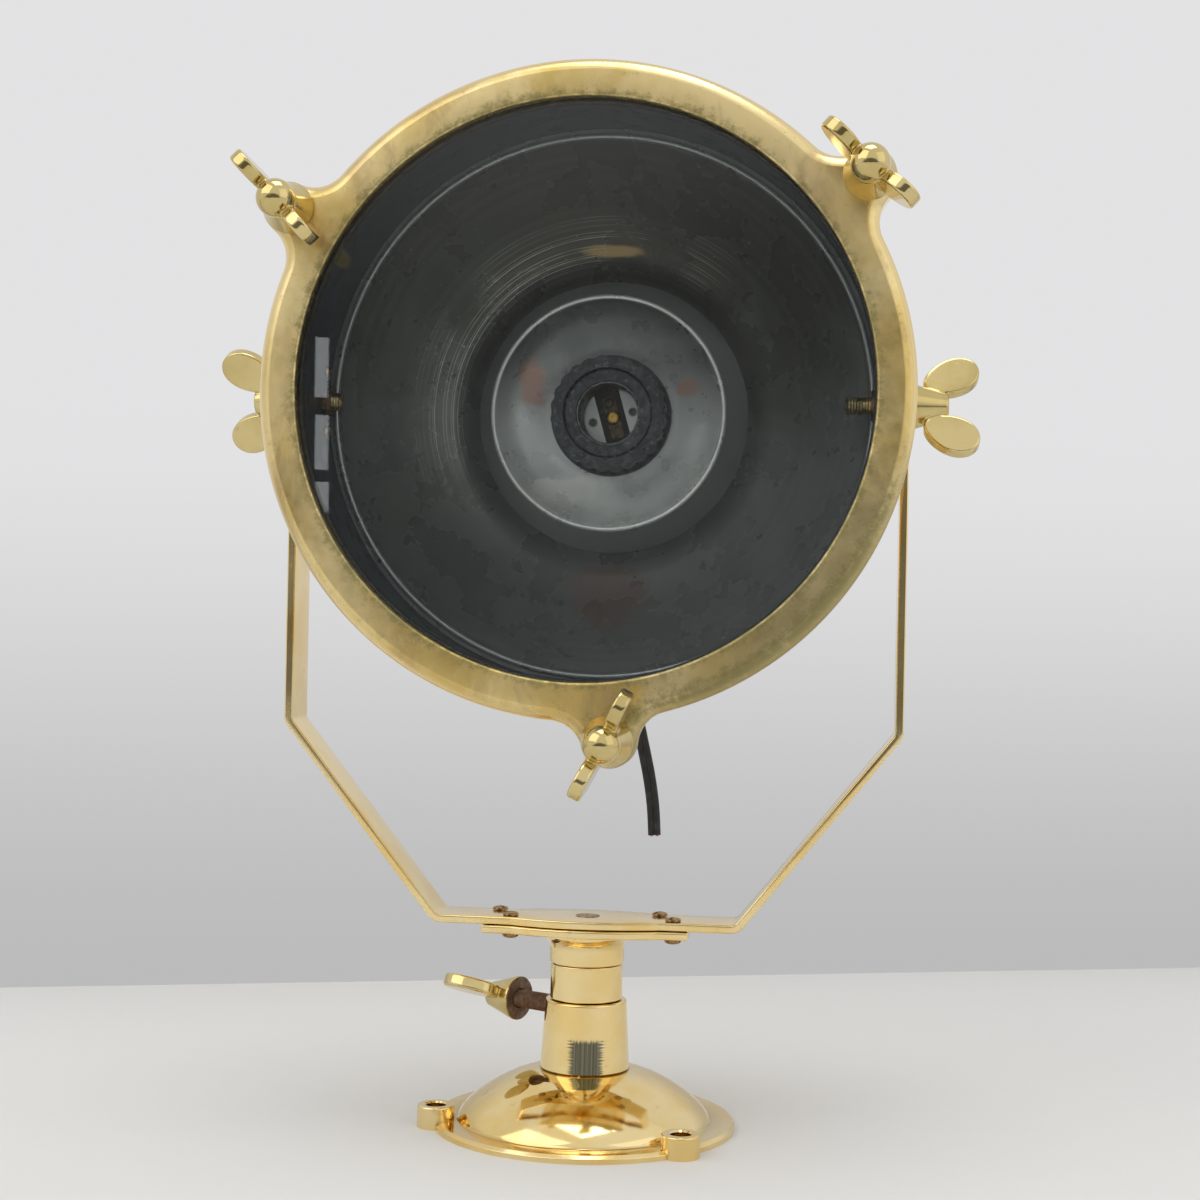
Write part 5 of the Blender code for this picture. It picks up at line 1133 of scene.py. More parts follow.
def make_base(brass):
    bore = SPIGOT_RADIUS + FIT_GAP
    crown = COLLAR_FOOT_RADIUS - COLLAR_UNDERCUT
    bevel = FLANGE_THICKNESS * FLANGE_BEVEL_SHARE
    flange = eased([
        (BASE_RADIUS, 0, 0),
        (BASE_RADIUS, FLANGE_THICKNESS - bevel, EDGE_ROUND / 2),
        (BASE_RADIUS - bevel, FLANGE_THICKNESS, EDGE_ROUND / 2),
        (DOME_FOOT_RADIUS + EDGE_ROUND, FLANGE_THICKNESS, 0),
    ])
    foot = FLANGE_THICKNESS + EDGE_ROUND
    dome = dome_profile(DOME_FOOT_RADIUS, crown, foot, DOME_TOP_HEIGHT, DOME_STEPS)
    collar = eased([
        (crown, DOME_TOP_HEIGHT, 0),
        (COLLAR_FOOT_RADIUS, DOME_TOP_HEIGHT + COLLAR_UNDERCUT, EDGE_ROUND / 3),
        (COLLAR_TOP_RADIUS, COLLAR_TOP_HEIGHT, COLLAR_ROUND),
        (bore, COLLAR_TOP_HEIGHT, EDGE_ROUND / 2),
        (bore, COLLAR_BOSS_BOTTOM, 0),
        (COLLAR_TOP_RADIUS, COLLAR_BOSS_BOTTOM, 0),
    ])[1:]
    ceiling = DOME_TOP_HEIGHT - DOME_WALL
    inside = dome_profile(DOME_FOOT_RADIUS - DOME_WALL, COLLAR_TOP_RADIUS, 0, ceiling, DOME_STEPS // 2)
    mesh = turned("base_shell", flange + dome + collar + inside[::-1], BIG_FACETS, True)
    mesh = cut("base_shell", mesh, base_lugs(), "UNION")
    mesh = cut("base_shell", mesh, lug_holes())
    lock = rod_mesh("lock_hole", [(0, 0, LOCK_SHANK_RADIUS + FIT_GAP, 0, BASE_RADIUS)], SMALL_FACETS)
    mesh = cut("base_shell", mesh, moved(lock, lock_matrix()))
    add("base_shell", mesh, brass["base"], "base", ["base_casting"])

    sleeve = eased([
        (bore, COLLAR_TOP_HEIGHT + FIT_GAP, 0),
        (SLEEVE_RADIUS, COLLAR_TOP_HEIGHT + FIT_GAP, SEAM_ROUND),
        (SLEEVE_RADIUS, SLEEVE_TOP_HEIGHT, SEAM_ROUND),
        (bore, SLEEVE_TOP_HEIGHT, 0),
    ])
    mesh = turned("sleeve_ring", sleeve, MIDDLE_FACETS, True)
    add("sleeve_ring", mesh, brass["stem"], "base", ["swivel_sleeve"])


def make_lock_screw(brass, rust):
    place = lock_matrix()
    start = SPIGOT_RADIUS + FIT_GAP
    end = LOCK_HUB_DISTANCE + NUT_BORE_DEPTH - FIT_GAP
    depth = LOCK_PITCH / 3
    thread = thread_profile(LOCK_SHANK_RADIUS, depth, start + EDGE_ROUND, end, LOCK_PITCH)
    profile = [(0, start), (LOCK_SHANK_RADIUS - EDGE_ROUND, start)] + thread + [(0, end)]
    mesh = turned("lock_shank", profile, TINY_FACETS)
    add("lock_shank", mesh, rust, "pan_lock", ["pan_lock_shank"], place)
    seat = turned_about(place @ Matrix.Translation((0, 0, LOCK_HUB_DISTANCE)), LOCK_WING_TURN)
    mesh = wing_nut_mesh("lock_wing", LOCK_HUB_FOOT_RADIUS, LOCK_SHANK_RADIUS, False)
    add("lock_wing", mesh, [brass["nut"], rust], "pan_lock", ["pan_lock_wing"], seat)
    paint_foot(mesh, LOCK_SHANK_RADIUS, LOCK_HUB_FOOT_RADIUS)


# Cast wing nuts

def lobe_outline(side):
    """An egg-shaped lobe leaning outwards from the hub."""
    lean = math.radians(WING_LEAN)
    points = []
    for step in range(WING_STEPS):
        angle = math.tau * step / WING_STEPS
        along = WING_HALF_LENGTH * math.cos(angle)
        across = WING_HALF_WIDTH * math.sin(angle) * (1 + WING_TAPER_SHARE * math.cos(angle))
        out = WING_CENTRE_RADIUS + along * math.sin(lean) + across * math.cos(lean)
        up = WING_CENTRE_HEIGHT + along * math.cos(lean) - across * math.sin(lean)
        points.append((side * out, up))
    return points if side < 0 else points[::-1]


def wing_nut_mesh(name, foot_radius, bore_radius, ball):
    """A turned hub and two egg-shaped lobes, run together as one casting."""
    bore = bore_radius + FIT_GAP
    depth = NUT_BORE_DEPTH + (BALL_CENTRE_HEIGHT - HUB_HEIGHT if ball else 0)
    shoulder = (HUB_TOP_RADIUS, HUB_HEIGHT, EDGE_ROUND)
    if ball:
        shoulder = (HUB_TOP_RADIUS + HUB_FOOT_RIM, BALL_CENTRE_HEIGHT - BALL_RADIUS, 0)
    profile = [(0, depth), (bore, depth)] + eased([
        (bore, 0, 0), (foot_radius, 0, EDGE_ROUND), (foot_radius, HUB_FOOT_RIM, EDGE_ROUND / 2),
        shoulder, (0, HUB_HEIGHT, 0),
    ])
    if ball:
        neck = math.degrees(math.acos(HUB_TOP_RADIUS / BALL_RADIUS))
        profile[-1:] = arc((0, BALL_CENTRE_HEIGHT), BALL_RADIUS, -neck, 90, DOME_STEPS)
    hub = turned(name, profile, SMALL_FACETS)
    lobes = []
    for side in (-1, 1):
        lobe = slab("lobe", lobe_outline(side), -WING_THICKNESS / 2, WING_THICKNESS / 2, WING_EDGE_ROUND)
        lobes.append(moved(lobe, Matrix.Rotation(math.pi / 2, 4, "X")))
    mesh = joined(name, hub, *lobes)
    mesh = baked(
        name, mesh,
        ("REMESH", {"mode": "VOXEL", "voxel_size": NUT_VOXEL, "use_smooth_shade": True}),
        ("SMOOTH", {"factor": NUT_SMOOTHING, "iterations": NUT_SMOOTHINGS}),
    )
    mesh.shade_smooth()
    return mesh


def paint_foot(mesh, bore_radius, foot_radius):
    """The unpolished foot face of a nut and its bore take the second material."""
    for face in mesh.polygons:
        reach = math.hypot(face.center.x, face.center.y)
        at_foot = face.center.z < EDGE_ROUND / 2 and reach < foot_radius
        in_bore = face.center.z < HUB_HEIGHT / 2 and reach < bore_radius + EDGE_ROUND
        face.material_index = 1 if at_foot or in_bore else 0


def make_bezel_nuts(brass):
    for name, angle in STUD_ANGLES.items():
        seat = Matrix.Translation((*polar(STUD_CIRCLE_RADIUS, angle), BEZEL_FRONT + FIT_GAP))
        place = turned_about(HEAD @ seat, BEZEL_NUT_TURNS[name])
        node = "bezel_wing_nut_" + name
        mesh = wing_nut_mesh("clamp_nut_" + name, BEZEL_HUB_FOOT_RADIUS, STUD_RADIUS, True)
        add("clamp_nut_" + name, mesh, brass["nut"], "bezel_nut_" + name, [node], place)


def make_tilt_nuts(brass):
    for name, side in SIDES:
        out = YOKE_INNER_HALF_SPAN + STRAP_THICKNESS + FIT_GAP + TILT_NUT_BACK_OFF[name]
        seat = axes_matrix((side * out, 0, TILT_HEIGHT), (side, 0, 0), (0, 0, 1))
        place = turned_about(seat, TILT_NUT_TURNS[name])
        node = "tilt_wing_nut_" + name
        mesh = wing_nut_mesh("side_nut_" + name, TILT_HUB_FOOT_RADIUS, PIVOT_STUD_RADIUS, False)
        add("side_nut_" + name, mesh, brass["nut"], "tilt_nut_" + name, [node], place)


# Yoke

def swollen_bar(half_length, half_width):
    """A bar's outline, wider in the middle by arcs on both long sides."""
    reach = PLATE_SWELL_HALF_SPAN
    swell = PLATE_SWELL
    radius = (reach ** 2 + swell ** 2) / (2 * swell)
    spread = math.degrees(math.asin(reach / radius))
    centre = half_width + swell - radius
    front = arc((0, -centre), radius, -90 - spread, -90 + spread, PLATE_SWELL_STEPS)
    back = arc((0, centre), radius, 90 - spread, 90 + spread, PLATE_SWELL_STEPS)
    corners = [(-half_length, -half_width)] + front + [(half_length, -half_width)]
    corners += [(half_length, half_width)] + back + [(-half_length, half_width)]
    ends = {0, len(front) + 1, len(front) + 2, len(corners) - 1}
    rounded = [(x, y, EDGE_ROUND if index in ends else 0) for index, (x, y) in enumerate(corners)]
    return eased(rounded, True)


def make_swivel_plate(brass):
    neck_bottom = SLEEVE_TOP_HEIGHT + FIT_GAP
    plate_top = PLATE_BOTTOM_HEIGHT + PLATE_THICKNESS
    flare_radius = NECK_RADIUS + NECK_FLARE_REACH
    flare_foot = PLATE_BOTTOM_HEIGHT - NECK_FLARE_HEIGHT
    flare = superellipse((NECK_RADIUS, flare_foot), (flare_radius, PLATE_BOTTOM_HEIGHT))
    middle = PLATE_BOTTOM_HEIGHT + PLATE_THICKNESS / 2
    profile = eased([
        (0, SPIGOT_STUD_END_HEIGHT, 0),
        (SPIGOT_STUD_RADIUS, SPIGOT_STUD_END_HEIGHT, EDGE_ROUND),
        (SPIGOT_STUD_RADIUS, COLLAR_BOSS_BOTTOM, 0),
        (SPIGOT_RADIUS, COLLAR_BOSS_BOTTOM, 0),
        (SPIGOT_RADIUS, neck_bottom, 0),
        (NECK_RADIUS, neck_bottom, SEAM_ROUND),
        (NECK_RADIUS, flare_foot, 0),
    ]) + flare[1:] + [(flare_radius, middle), (0, middle)]
    neck = turned("neck", profile, MIDDLE_FACETS)
    trim = slab(
        "trim", swollen_bar(PLATE_LENGTH / 2, PLATE_WIDTH / 2 - EDGE_ROUND / 2), 0, plate_top, EDGE_ROUND / 4,
    )
    neck = cut("neck", neck, trim, "INTERSECT")
    outline = swollen_bar(PLATE_LENGTH / 2, PLATE_WIDTH / 2)
    bar = slab("bar", outline, PLATE_BOTTOM_HEIGHT, plate_top, PLATE_EDGE_ROUND)
    mesh = joined("neck_plate", neck, bar)
    add("neck_plate", mesh, brass["stem"], "yoke", ["swivel_plate"])


def strap_path(half_span, floor, floor_half_span, shoulder, bend):
    """One face of the strap in the XZ plane, left tip to right tip, as (x, z, half width)."""
    half_width = STRAP_WIDTH / 2
    left = []
    for step in range(STRAP_TIP_STEPS, -1, -1):
        angle = STRAP_TIP_ANGLE * step / STRAP_TIP_STEPS
        left.append((-half_span, TILT_HEIGHT + half_width * math.sin(angle), half_width * math.cos(angle)))
    corners = [
        (-half_span, TILT_HEIGHT, 0), (-half_span, shoulder, bend),
        (-floor_half_span, floor, bend), (0, floor, 0),
    ]
    left += [(x, z, half_width) for x, z in eased(corners)[1:-1]]
    for step in range(STRAP_SWELL_STEPS):
        share = step / STRAP_SWELL_STEPS
        swell = STRAP_SWELL * (1 - (1 - share) ** 2)
        left.append((-PLATE_SWELL_HALF_SPAN * (1 - share), floor, half_width + swell))
    middle = [(0, floor, half_width + STRAP_SWELL)]
    return left + middle + [(-x, z, width) for x, z, width in reversed(left)]


def make_strap(brass):
    outer_half = YOKE_INNER_HALF_SPAN + STRAP_THICKNESS
    slope = math.atan2(STRAP_SHOULDER_HEIGHT - STRAP_BOTTOM, outer_half - STRAP_FLOOR_HALF_SPAN)
    shift_floor = STRAP_THICKNESS * math.tan(slope / 2)
    shift_shoulder = STRAP_THICKNESS * math.tan((math.pi / 2 - slope) / 2)
    outer = strap_path(
        outer_half, STRAP_BOTTOM, STRAP_FLOOR_HALF_SPAN,
        STRAP_SHOULDER_HEIGHT, STRAP_BEND_RADIUS + STRAP_THICKNESS,
    )
    inner = strap_path(
        YOKE_INNER_HALF_SPAN, STRAP_TOP, STRAP_FLOOR_HALF_SPAN - shift_floor,
        STRAP_SHOULDER_HEIGHT + shift_shoulder, STRAP_BEND_RADIUS,
    )
    share = STRAP_EDGE_ROUND / STRAP_THICKNESS
    corners = [(0, -1), (1, -1), (1, 1), (0, 1)]
    bm = bmesh.new()
    loops = []
    for (x0, z0, width), (x1, z1, _) in zip(outer, inner):
        loop = []
        for index, (depth, side) in enumerate(corners):
            start = (180, 270, 0, 90)[index]
            for run, rise in arc((0, 0), 1, start, start + 90, ROUND_STEPS):
                at = share + depth * (1 - 2 * share) + run * share
                ease = min(STRAP_EDGE_ROUND, width / 2)
                reach = side * (width - ease) + rise * ease
                loop.append(bm.verts.new((x0 + (x1 - x0) * at, reach, z0 + (z1 - z0) * at)))
        loops.append(loop)
    bridge(bm, loops)
    cap(bm, loops)
    mesh = finished_mesh("strap_bow", bm)
    add("strap_bow", mesh, brass["strap"], "yoke", ["yoke_strap"])


def slot_cutter(radius, top, width=SCREW_SLOT_WIDTH, depth=SCREW_SLOT_DEPTH, degrees=0):
    """A bar that cuts a slot across a round top."""
    outline = rectangle(2 * (radius + CUT_OVERRUN), width)
    bm = bmesh.new()
    rings = [[bm.verts.new((x, y, z)) for x, y in outline] for z in (top - depth, top + CUT_OVERRUN)]
    cap(bm, rings)
    bridge(bm, rings)
    return moved(finished_mesh("slot", bm), Matrix.Rotation(math.radians(degrees), 4, "Z"))


def make_yoke_screws(aged):
    seat = STRAP_TOP + FIT_GAP
    nut_seat = PLATE_BOTTOM_HEIGHT - FIT_GAP
    screw_end = nut_seat - SCREW_NUT_HEIGHT / 2
    top = seat + SCREW_HEAD_HEIGHT
    head = domed(SCREW_HEAD_RADIUS, seat, seat + SCREW_HEAD_HEIGHT / 4, top, SCREW_DOME_POWER)[1:]
    screw = [(0, screw_end), (SCREW_RADIUS, screw_end), (SCREW_RADIUS, seat)] + head
    low = nut_seat - SCREW_NUT_HEIGHT
    nut = domed(SCREW_NUT_RADIUS, nut_seat, nut_seat - SCREW_NUT_HEIGHT / 4, low, SCREW_DOME_POWER)
    for row, shift in SCREW_SHIFTS.items():
        depth = -SCREW_DEPTH_OFFSET if row == "front" else SCREW_DEPTH_OFFSET
        for end, side in SIDES:
            tag = row + "_" + end
            place = Matrix.Translation((shift + side * SCREW_HALF_SPAN, depth, 0))
            mesh = turned("screw_" + tag, screw, TINY_FACETS)
            cutter = slot_cutter(SCREW_HEAD_RADIUS, top, degrees=SCREW_SLOT_TURNS[tag])
            mesh = cut("screw_" + tag, mesh, cutter)
            add("screw_" + tag, mesh, aged, "yoke", ["strap_screw_" + tag], place)
            mesh = turned("cap_" + tag, nut, TINY_FACETS)
            add("cap_" + tag, mesh, aged, "yoke", ["strap_nut_" + tag], place)
    proud = STRAP_TOP + FIT_GAP
    centre = eased([
        (0, STRAP_TOP - CENTRE_SCREW_DEPTH, 0), (SCREW_RADIUS, STRAP_TOP - CENTRE_SCREW_DEPTH, 0),
        (SCREW_RADIUS, STRAP_BOTTOM, 0), (CENTRE_SCREW_RADIUS, STRAP_TOP, 0),
        (CENTRE_SCREW_RADIUS, proud, EDGE_ROUND / 5), (0, proud, 0),
    ])
    mesh = turned("middle_screw", centre, SMALL_FACETS)
    mesh = cut("middle_screw", mesh, slot_cutter(CENTRE_SCREW_RADIUS, proud))
    add("middle_screw", mesh, aged, "yoke", ["centre_screw"])


# Head

def make_drum(brass, paint):
    outer = DRUM_INNER_RADIUS + DRUM_WALL
    step = DRUM_INNER_RADIUS - SEAT_STEP
    seat_back = SEAT_FORWARD - DRUM_WALL
    start = SEAT_FORWARD - SEAT_STEP
    inside, outside = (
        superellipse((step + wall, start), (DRUM_TAIL_RADIUS, tail), DRUM_DOME_SHARE, DOME_STEPS)
        for wall, tail in ((0, DRUM_TAIL + DRUM_WALL), (DRUM_WALL, DRUM_TAIL))
    )
    band = eased([
        (step, start, 0), (step, SEAT_FORWARD, EDGE_ROUND / 2),
        (DRUM_INNER_RADIUS, SEAT_FORWARD, EDGE_ROUND / 2),
        (DRUM_INNER_RADIUS, DRUM_FRONT, 0), (outer, DRUM_FRONT, EDGE_ROUND / 2),
        (outer, seat_back, 2 * EDGE_ROUND), (step + DRUM_WALL, seat_back, EDGE_ROUND),
        (step + DRUM_WALL, start, 0),
    ])
    profile = [(0, DRUM_TAIL + DRUM_WALL)] + inside[::-1] + band[1:-1] + outside + [(0, DRUM_TAIL)]
    mesh = turned("drum_shell", profile, BIG_FACETS)
    add("drum_shell", mesh, [brass["drum"], paint], "head", ["drum", "drum_tail"], HEAD)
    middle = Vector((0, 0, start))
    for face in mesh.polygons:
        face.material_index = 1 if face.normal.dot(face.center - middle) < 0 else 0


def lug_ring_outline(ring_radius, lug_circle, lug_radius, fillet, angles):
    """A circle with round lugs blended in by fillets: points and outward normals, anticlockwise."""
    reach = ring_radius + fillet
    side = lug_radius + fillet
    spread = math.acos((reach ** 2 + lug_circle ** 2 - side ** 2) / (2 * reach * lug_circle))
    stations = []

    def sweep(centre, radius, start, end, hollow):
        first = math.atan2(start.y, start.x)
        turn = (math.atan2(end.y, end.x) - first) % math.tau
        if hollow and turn > math.pi:
            turn -= math.tau
        steps = BEND_STEPS if hollow else 2 * BEND_STEPS
        for index in range(steps + 1):
            if not hollow and index in (0, steps):
                continue
            angle = first + turn * index / steps
            direction = Vector((math.cos(angle), math.sin(angle)))
            stations.append((centre + direction * radius, -direction if hollow else direction))

    ordered = sorted(math.radians(angle) for angle in angles)
    for index, middle in enumerate(ordered):
        following = ordered[(index + 1) % len(ordered)]
        if following <= middle:
            following += math.tau
        lug = Vector((lug_circle * math.cos(middle), lug_circle * math.sin(middle)))
        before = Vector((reach * math.cos(middle - spread), reach * math.sin(middle - spread)))
        after = Vector((reach * math.cos(middle + spread), reach * math.sin(middle + spread)))
        sweep(before, fillet, -before, lug - before, True)
        sweep(lug, lug_radius, before - lug, after - lug, False)
        sweep(after, fillet, lug - after, -after, True)
        start = middle + spread
        end = following - spread
        steps = max(2, round((end - start) / math.tau * BIG_FACETS))
        for step in range(1, steps):
            angle = start + (end - start) * step / steps
            normal = Vector((math.cos(angle), math.sin(angle)))
            stations.append((normal * ring_radius, normal))
    return stations


def lofted_ring(name, stations, outer_offsets, inner_profile):
    bm = bmesh.new()
    loops = []
    for point, normal in stations:
        loop = []
        for inset, height in outer_offsets:
            at = point - normal * inset
            loop.append(bm.verts.new((at.x, at.y, height)))
        direction = point.normalized()
        for radius, height in inner_profile:
            loop.append(bm.verts.new((direction.x * radius, direction.y * radius, height)))
        loops.append(loop)
    bridge(bm, loops + loops[:1])
    return finished_mesh(name, bm)


def make_front_ring(brass):
    stations = lug_ring_outline(
        FRONT_RING_RADIUS, STUD_CIRCLE_RADIUS, RING_LUG_RADIUS, RING_LUG_FILLET, STUD_ANGLES.values(),
    )
    outer = eased([
        (2 * EDGE_ROUND, FRONT_RING_BACK, 0), (0, FRONT_RING_BACK, EDGE_ROUND), (0, DRUM_FRONT, EDGE_ROUND),
        (2 * EDGE_ROUND, DRUM_FRONT, 0),
    ])
    bore = DRUM_RADIUS + FIT_GAP
    inner = [(bore, DRUM_FRONT), (bore, FRONT_RING_BACK)]
    mesh = lofted_ring("carrier_ring", stations, outer, inner)
    add("carrier_ring", mesh, brass["drum"], "head", ["front_ring"], HEAD)


def make_studs(brass):
    seat = FRONT_RING_BACK - FIT_GAP
    head = eased([
        (0, seat - STUD_HEAD_THICKNESS, 0), (STUD_HEAD_RADIUS, seat - STUD_HEAD_THICKNESS, EDGE_ROUND),
        (STUD_HEAD_RADIUS, seat, 0), (STUD_RADIUS, seat, 0), (STUD_RADIUS, DRUM_FRONT, 0),
    ])
    thread = thread_profile(STUD_RADIUS, EDGE_ROUND / 3, DRUM_FRONT, STUD_FRONT - EDGE_ROUND, EDGE_ROUND)
    end = [(STUD_RADIUS - EDGE_ROUND, STUD_FRONT), (0, STUD_FRONT)]
    for name, angle in STUD_ANGLES.items():
        mesh = turned("clamp_stud_" + name, head + thread[1:] + end, TINY_FACETS)
        place = HEAD @ Matrix.Translation((*polar(STUD_CIRCLE_RADIUS, angle), 0))
        add("clamp_stud_" + name, mesh, brass["nut"], "head", ["bezel_stud_" + name], place)


def make_reflector(mirror):
    """A dish whose depth grows with the square of its radius, with a rolled rim and a seating flange."""
    outer = DRUM_INNER_RADIUS - FIT_GAP
    seat = SEAT_FORWARD + FIT_GAP
    hole = REFLECTOR_HOLE_RADIUS
    span = REFLECTOR_RADIUS ** 2 - hole ** 2
    depth = REFLECTOR_RIM_FORWARD - REFLECTOR_HOLE_FORWARD
    dish = []
    for step in range(DOME_STEPS):
        radius = hole + (REFLECTOR_RADIUS - hole) * step / DOME_STEPS
        dish.append((radius, REFLECTOR_HOLE_FORWARD + depth * (radius ** 2 - hole ** 2) / span))
    rise = seat + REFLECTOR_SHEET - REFLECTOR_HOLE_FORWARD
    meeting = math.sqrt(hole ** 2 + span * rise / depth)
    back = [(radius, height - REFLECTOR_SHEET) for radius, height in dish if radius < meeting]
    middle = (REFLECTOR_RADIUS + REFLECTOR_BEAD, REFLECTOR_RIM_FORWARD)
    bead = arc(middle, REFLECTOR_BEAD, 180, 0, 2 * ROUND_STEPS)
    flange = [(outer, seat + REFLECTOR_SHEET), (outer, seat), (meeting, seat)]
    mesh = turned("mirror_dish", dish + bead + flange + back[::-1], BIG_FACETS, True)
    add("mirror_dish", mesh, mirror, "head", ["reflector"], HEAD)


def make_cup(silver):
    bore = HOLDER_THREAD_RADIUS + FIT_GAP
    front, back = (
        superellipse(
            (CUP_RIM_RADIUS + sheet, CUP_RIM_FORWARD), (CUP_FLOOR_RADIUS, CUP_FLOOR_FORWARD - sheet),
            CUP_ROUND_SHARE, DOME_STEPS,
        )
        for sheet in (0, CUP_SHEET)
    )
    bead = arc((CUP_RIM_RADIUS + CUP_BEAD, CUP_RIM_FORWARD), CUP_BEAD, 180, 0, ROUND_STEPS)
    profile = [(bore, CUP_FLOOR_FORWARD)] + front[::-1][:-1] + bead + back[1:]
    profile.append((bore, CUP_FLOOR_FORWARD - CUP_SHEET))
    mesh = turned("silver_cup", profile, MIDDLE_FACETS, True)
    add("silver_cup", mesh, silver, "head", ["reflector_cup"], HEAD)


def make_shade_ring(plastic):
    bore = HOLDER_THREAD_RADIUS + FIT_GAP
    back = CUP_FLOOR_FORWARD + FIT_GAP
    facets = SHADE_RING_KNURLS * SHADE_RING_KNURL_STEPS
    bm = bmesh.new()
    loops = []
    for index in range(facets):
        angle = math.tau * index / facets
        wave = abs(math.sin(angle * SHADE_RING_KNURLS / 2))
        knurl = SHADE_RING_RADIUS - SHADE_RING_LIP / 2 - SHADE_RING_KNURL_DEPTH * (1 - wave)
        section = eased([
            (bore, back, 0), (SHADE_RING_RADIUS, back, EDGE_ROUND / 2),
            (SHADE_RING_RADIUS, back + SHADE_RING_LIP, EDGE_ROUND / 2),
            (knurl, back + SHADE_RING_LIP, 0), (knurl, SHADE_RING_FRONT, EDGE_ROUND),
            (bore, SHADE_RING_FRONT, 0),
        ])
        across, up = math.cos(angle), math.sin(angle)
        loops.append([bm.verts.new((radius * across, radius * up, height)) for radius, height in section])
    bridge(bm, loops + loops[:1])
    mesh = finished_mesh("knurled_ring", bm)
    add("knurled_ring", mesh, plastic, "head", ["shade_ring"], HEAD)


def make_holder_barrel(plastic, floor):
    """The moulded body, threaded in front for the shade ring."""
    bore = SHELL_RADIUS + FIT_GAP
    shoulder = CUP_FLOOR_FORWARD - CUP_SHEET - FIT_GAP
    front = HOLDER_FRONT - EDGE_ROUND
    rim = (HOLDER_THREAD_RADIUS - EDGE_ROUND, HOLDER_FRONT)
    thread = thread_profile(HOLDER_THREAD_RADIUS, EDGE_ROUND, front, shoulder, 3 * EDGE_ROUND)
    barrel = [(0, floor), (bore, floor), (bore, HOLDER_FRONT), rim] + thread + eased([
        (HOLDER_THREAD_RADIUS, shoulder, 0), (HOLDER_BODY_RADIUS, shoulder, EDGE_ROUND),
        (HOLDER_BODY_RADIUS, HOLDER_BACK + HOLDER_TAPER, EDGE_ROUND),
        (HOLDER_BODY_RADIUS - HOLDER_TAPER, HOLDER_BACK, EDGE_ROUND), (0, HOLDER_BACK, 0),
    ])[1:]
    mesh = turned("holder_barrel", barrel, MIDDLE_FACETS)
    add("holder_barrel", mesh, plastic, "head", ["lampholder_body"], HEAD)


def make_screw_shell(metal):
    """The rolled sheet thread that takes the lamp's cap."""
    inner = SHELL_RADIUS - SHELL_WALL
    pitch = (SHELL_DEPTH - PORCELAIN_THICKNESS) / SHELL_THREADS
    end = SHELL_FRONT - pitch * SHELL_THREADS
    wave_in = thread_profile(inner, SHELL_THREAD_DEPTH, SHELL_FRONT, end, pitch)
    wave_out = [(radius + SHELL_WALL, height) for radius, height in wave_in]
    back = SHELL_FRONT - SHELL_DEPTH
    shell = wave_in + [(inner, back), (SHELL_RADIUS, back)] + wave_out[::-1]
    mesh = turned("screw_shell", shell, MIDDLE_FACETS, True)
    add("screw_shell", mesh, metal, "head", ["lamp_shell"], HEAD)


def make_porcelain(white, place, seat, slot_floor):
    """The disc at the bottom of the shell, with a slot across it and two holes."""
    face = slot_floor + CONTACT_SLOT_DEPTH
    radius = SHELL_RADIUS - SHELL_WALL - FIT_GAP
    disc = eased([(0, seat, 0), (radius, seat, 0), (radius, face, EDGE_ROUND), (0, face, 0)])
    mesh = turned("white_disc", disc, MIDDLE_FACETS)
    mesh = cut("white_disc", mesh, slot_cutter(radius, face, CONTACT_SLOT_WIDTH, CONTACT_SLOT_DEPTH, 90))
    top = face + CUT_OVERRUN
    holes = [(side * PORCELAIN_HOLE_PLACE, 0, PORCELAIN_HOLE_RADIUS, slot_floor, top) for side in (-1, 1)]
    mesh = cut("white_disc", mesh, rod_mesh("holes", holes, TINY_FACETS))
    add("white_disc", mesh, white, "head", ["porcelain_insert"], place)


def make_contacts(dark, contact, place, low):
    """The contact strip with its bright button, and the screw that holds it."""
    top = low + CONTACT_STRIP_THICKNESS
    outline = rectangle(CONTACT_STRIP_WIDTH, CONTACT_STRIP_LENGTH, 2 * EDGE_ROUND)
    strip = slab("strip", outline, low, top, EDGE_ROUND / 5)
    button = domed(CONTACT_BUTTON_RADIUS, low, top, top + CONTACT_BUTTON_HEIGHT, CONTACT_DOME_POWER)
    mesh = joined("spring_contact", strip, turned("button", button, SMALL_FACETS))
    add("spring_contact", mesh, [dark, contact], "head", ["contact_strip"], place)
    for face in mesh.polygons:
        raised = face.center.z > top + EDGE_ROUND / 8
        face.material_index = 1 if raised and face.center.xy.length < CONTACT_BUTTON_RADIUS else 0
    seat = top + FIT_GAP
    crown = seat + CONTACT_SCREW_HEIGHT
    head = domed(CONTACT_SCREW_RADIUS, seat, seat + CONTACT_SCREW_HEIGHT / 3, crown, CONTACT_DOME_POWER)
    mesh = turned("terminal_screw", head, TINY_FACETS)
    cutter = slot_cutter(CONTACT_SCREW_RADIUS, crown, *CONTACT_SCREW_SLOT, CONTACT_SCREW_TURN)
    mesh = cut("terminal_screw", mesh, cutter)
    screw_place = place @ Matrix.Translation((0, CONTACT_SCREW_PLACE, 0))
    add("terminal_screw", mesh, dark, "head", ["contact_screw"], screw_place)


def make_lampholder(plastic, shell_metal, white, contact, dark):
    seat = SHELL_FRONT - SHELL_DEPTH
    slot_floor = seat + PORCELAIN_THICKNESS - FIT_GAP - CONTACT_SLOT_DEPTH
    place = turned_about(HEAD, CONTACT_SLOT_TURN)
    make_holder_barrel(plastic, seat - FIT_GAP)
    make_screw_shell(shell_metal)
    make_porcelain(white, place, seat, slot_floor)
    make_contacts(dark, contact, place, slot_floor + FIT_GAP)


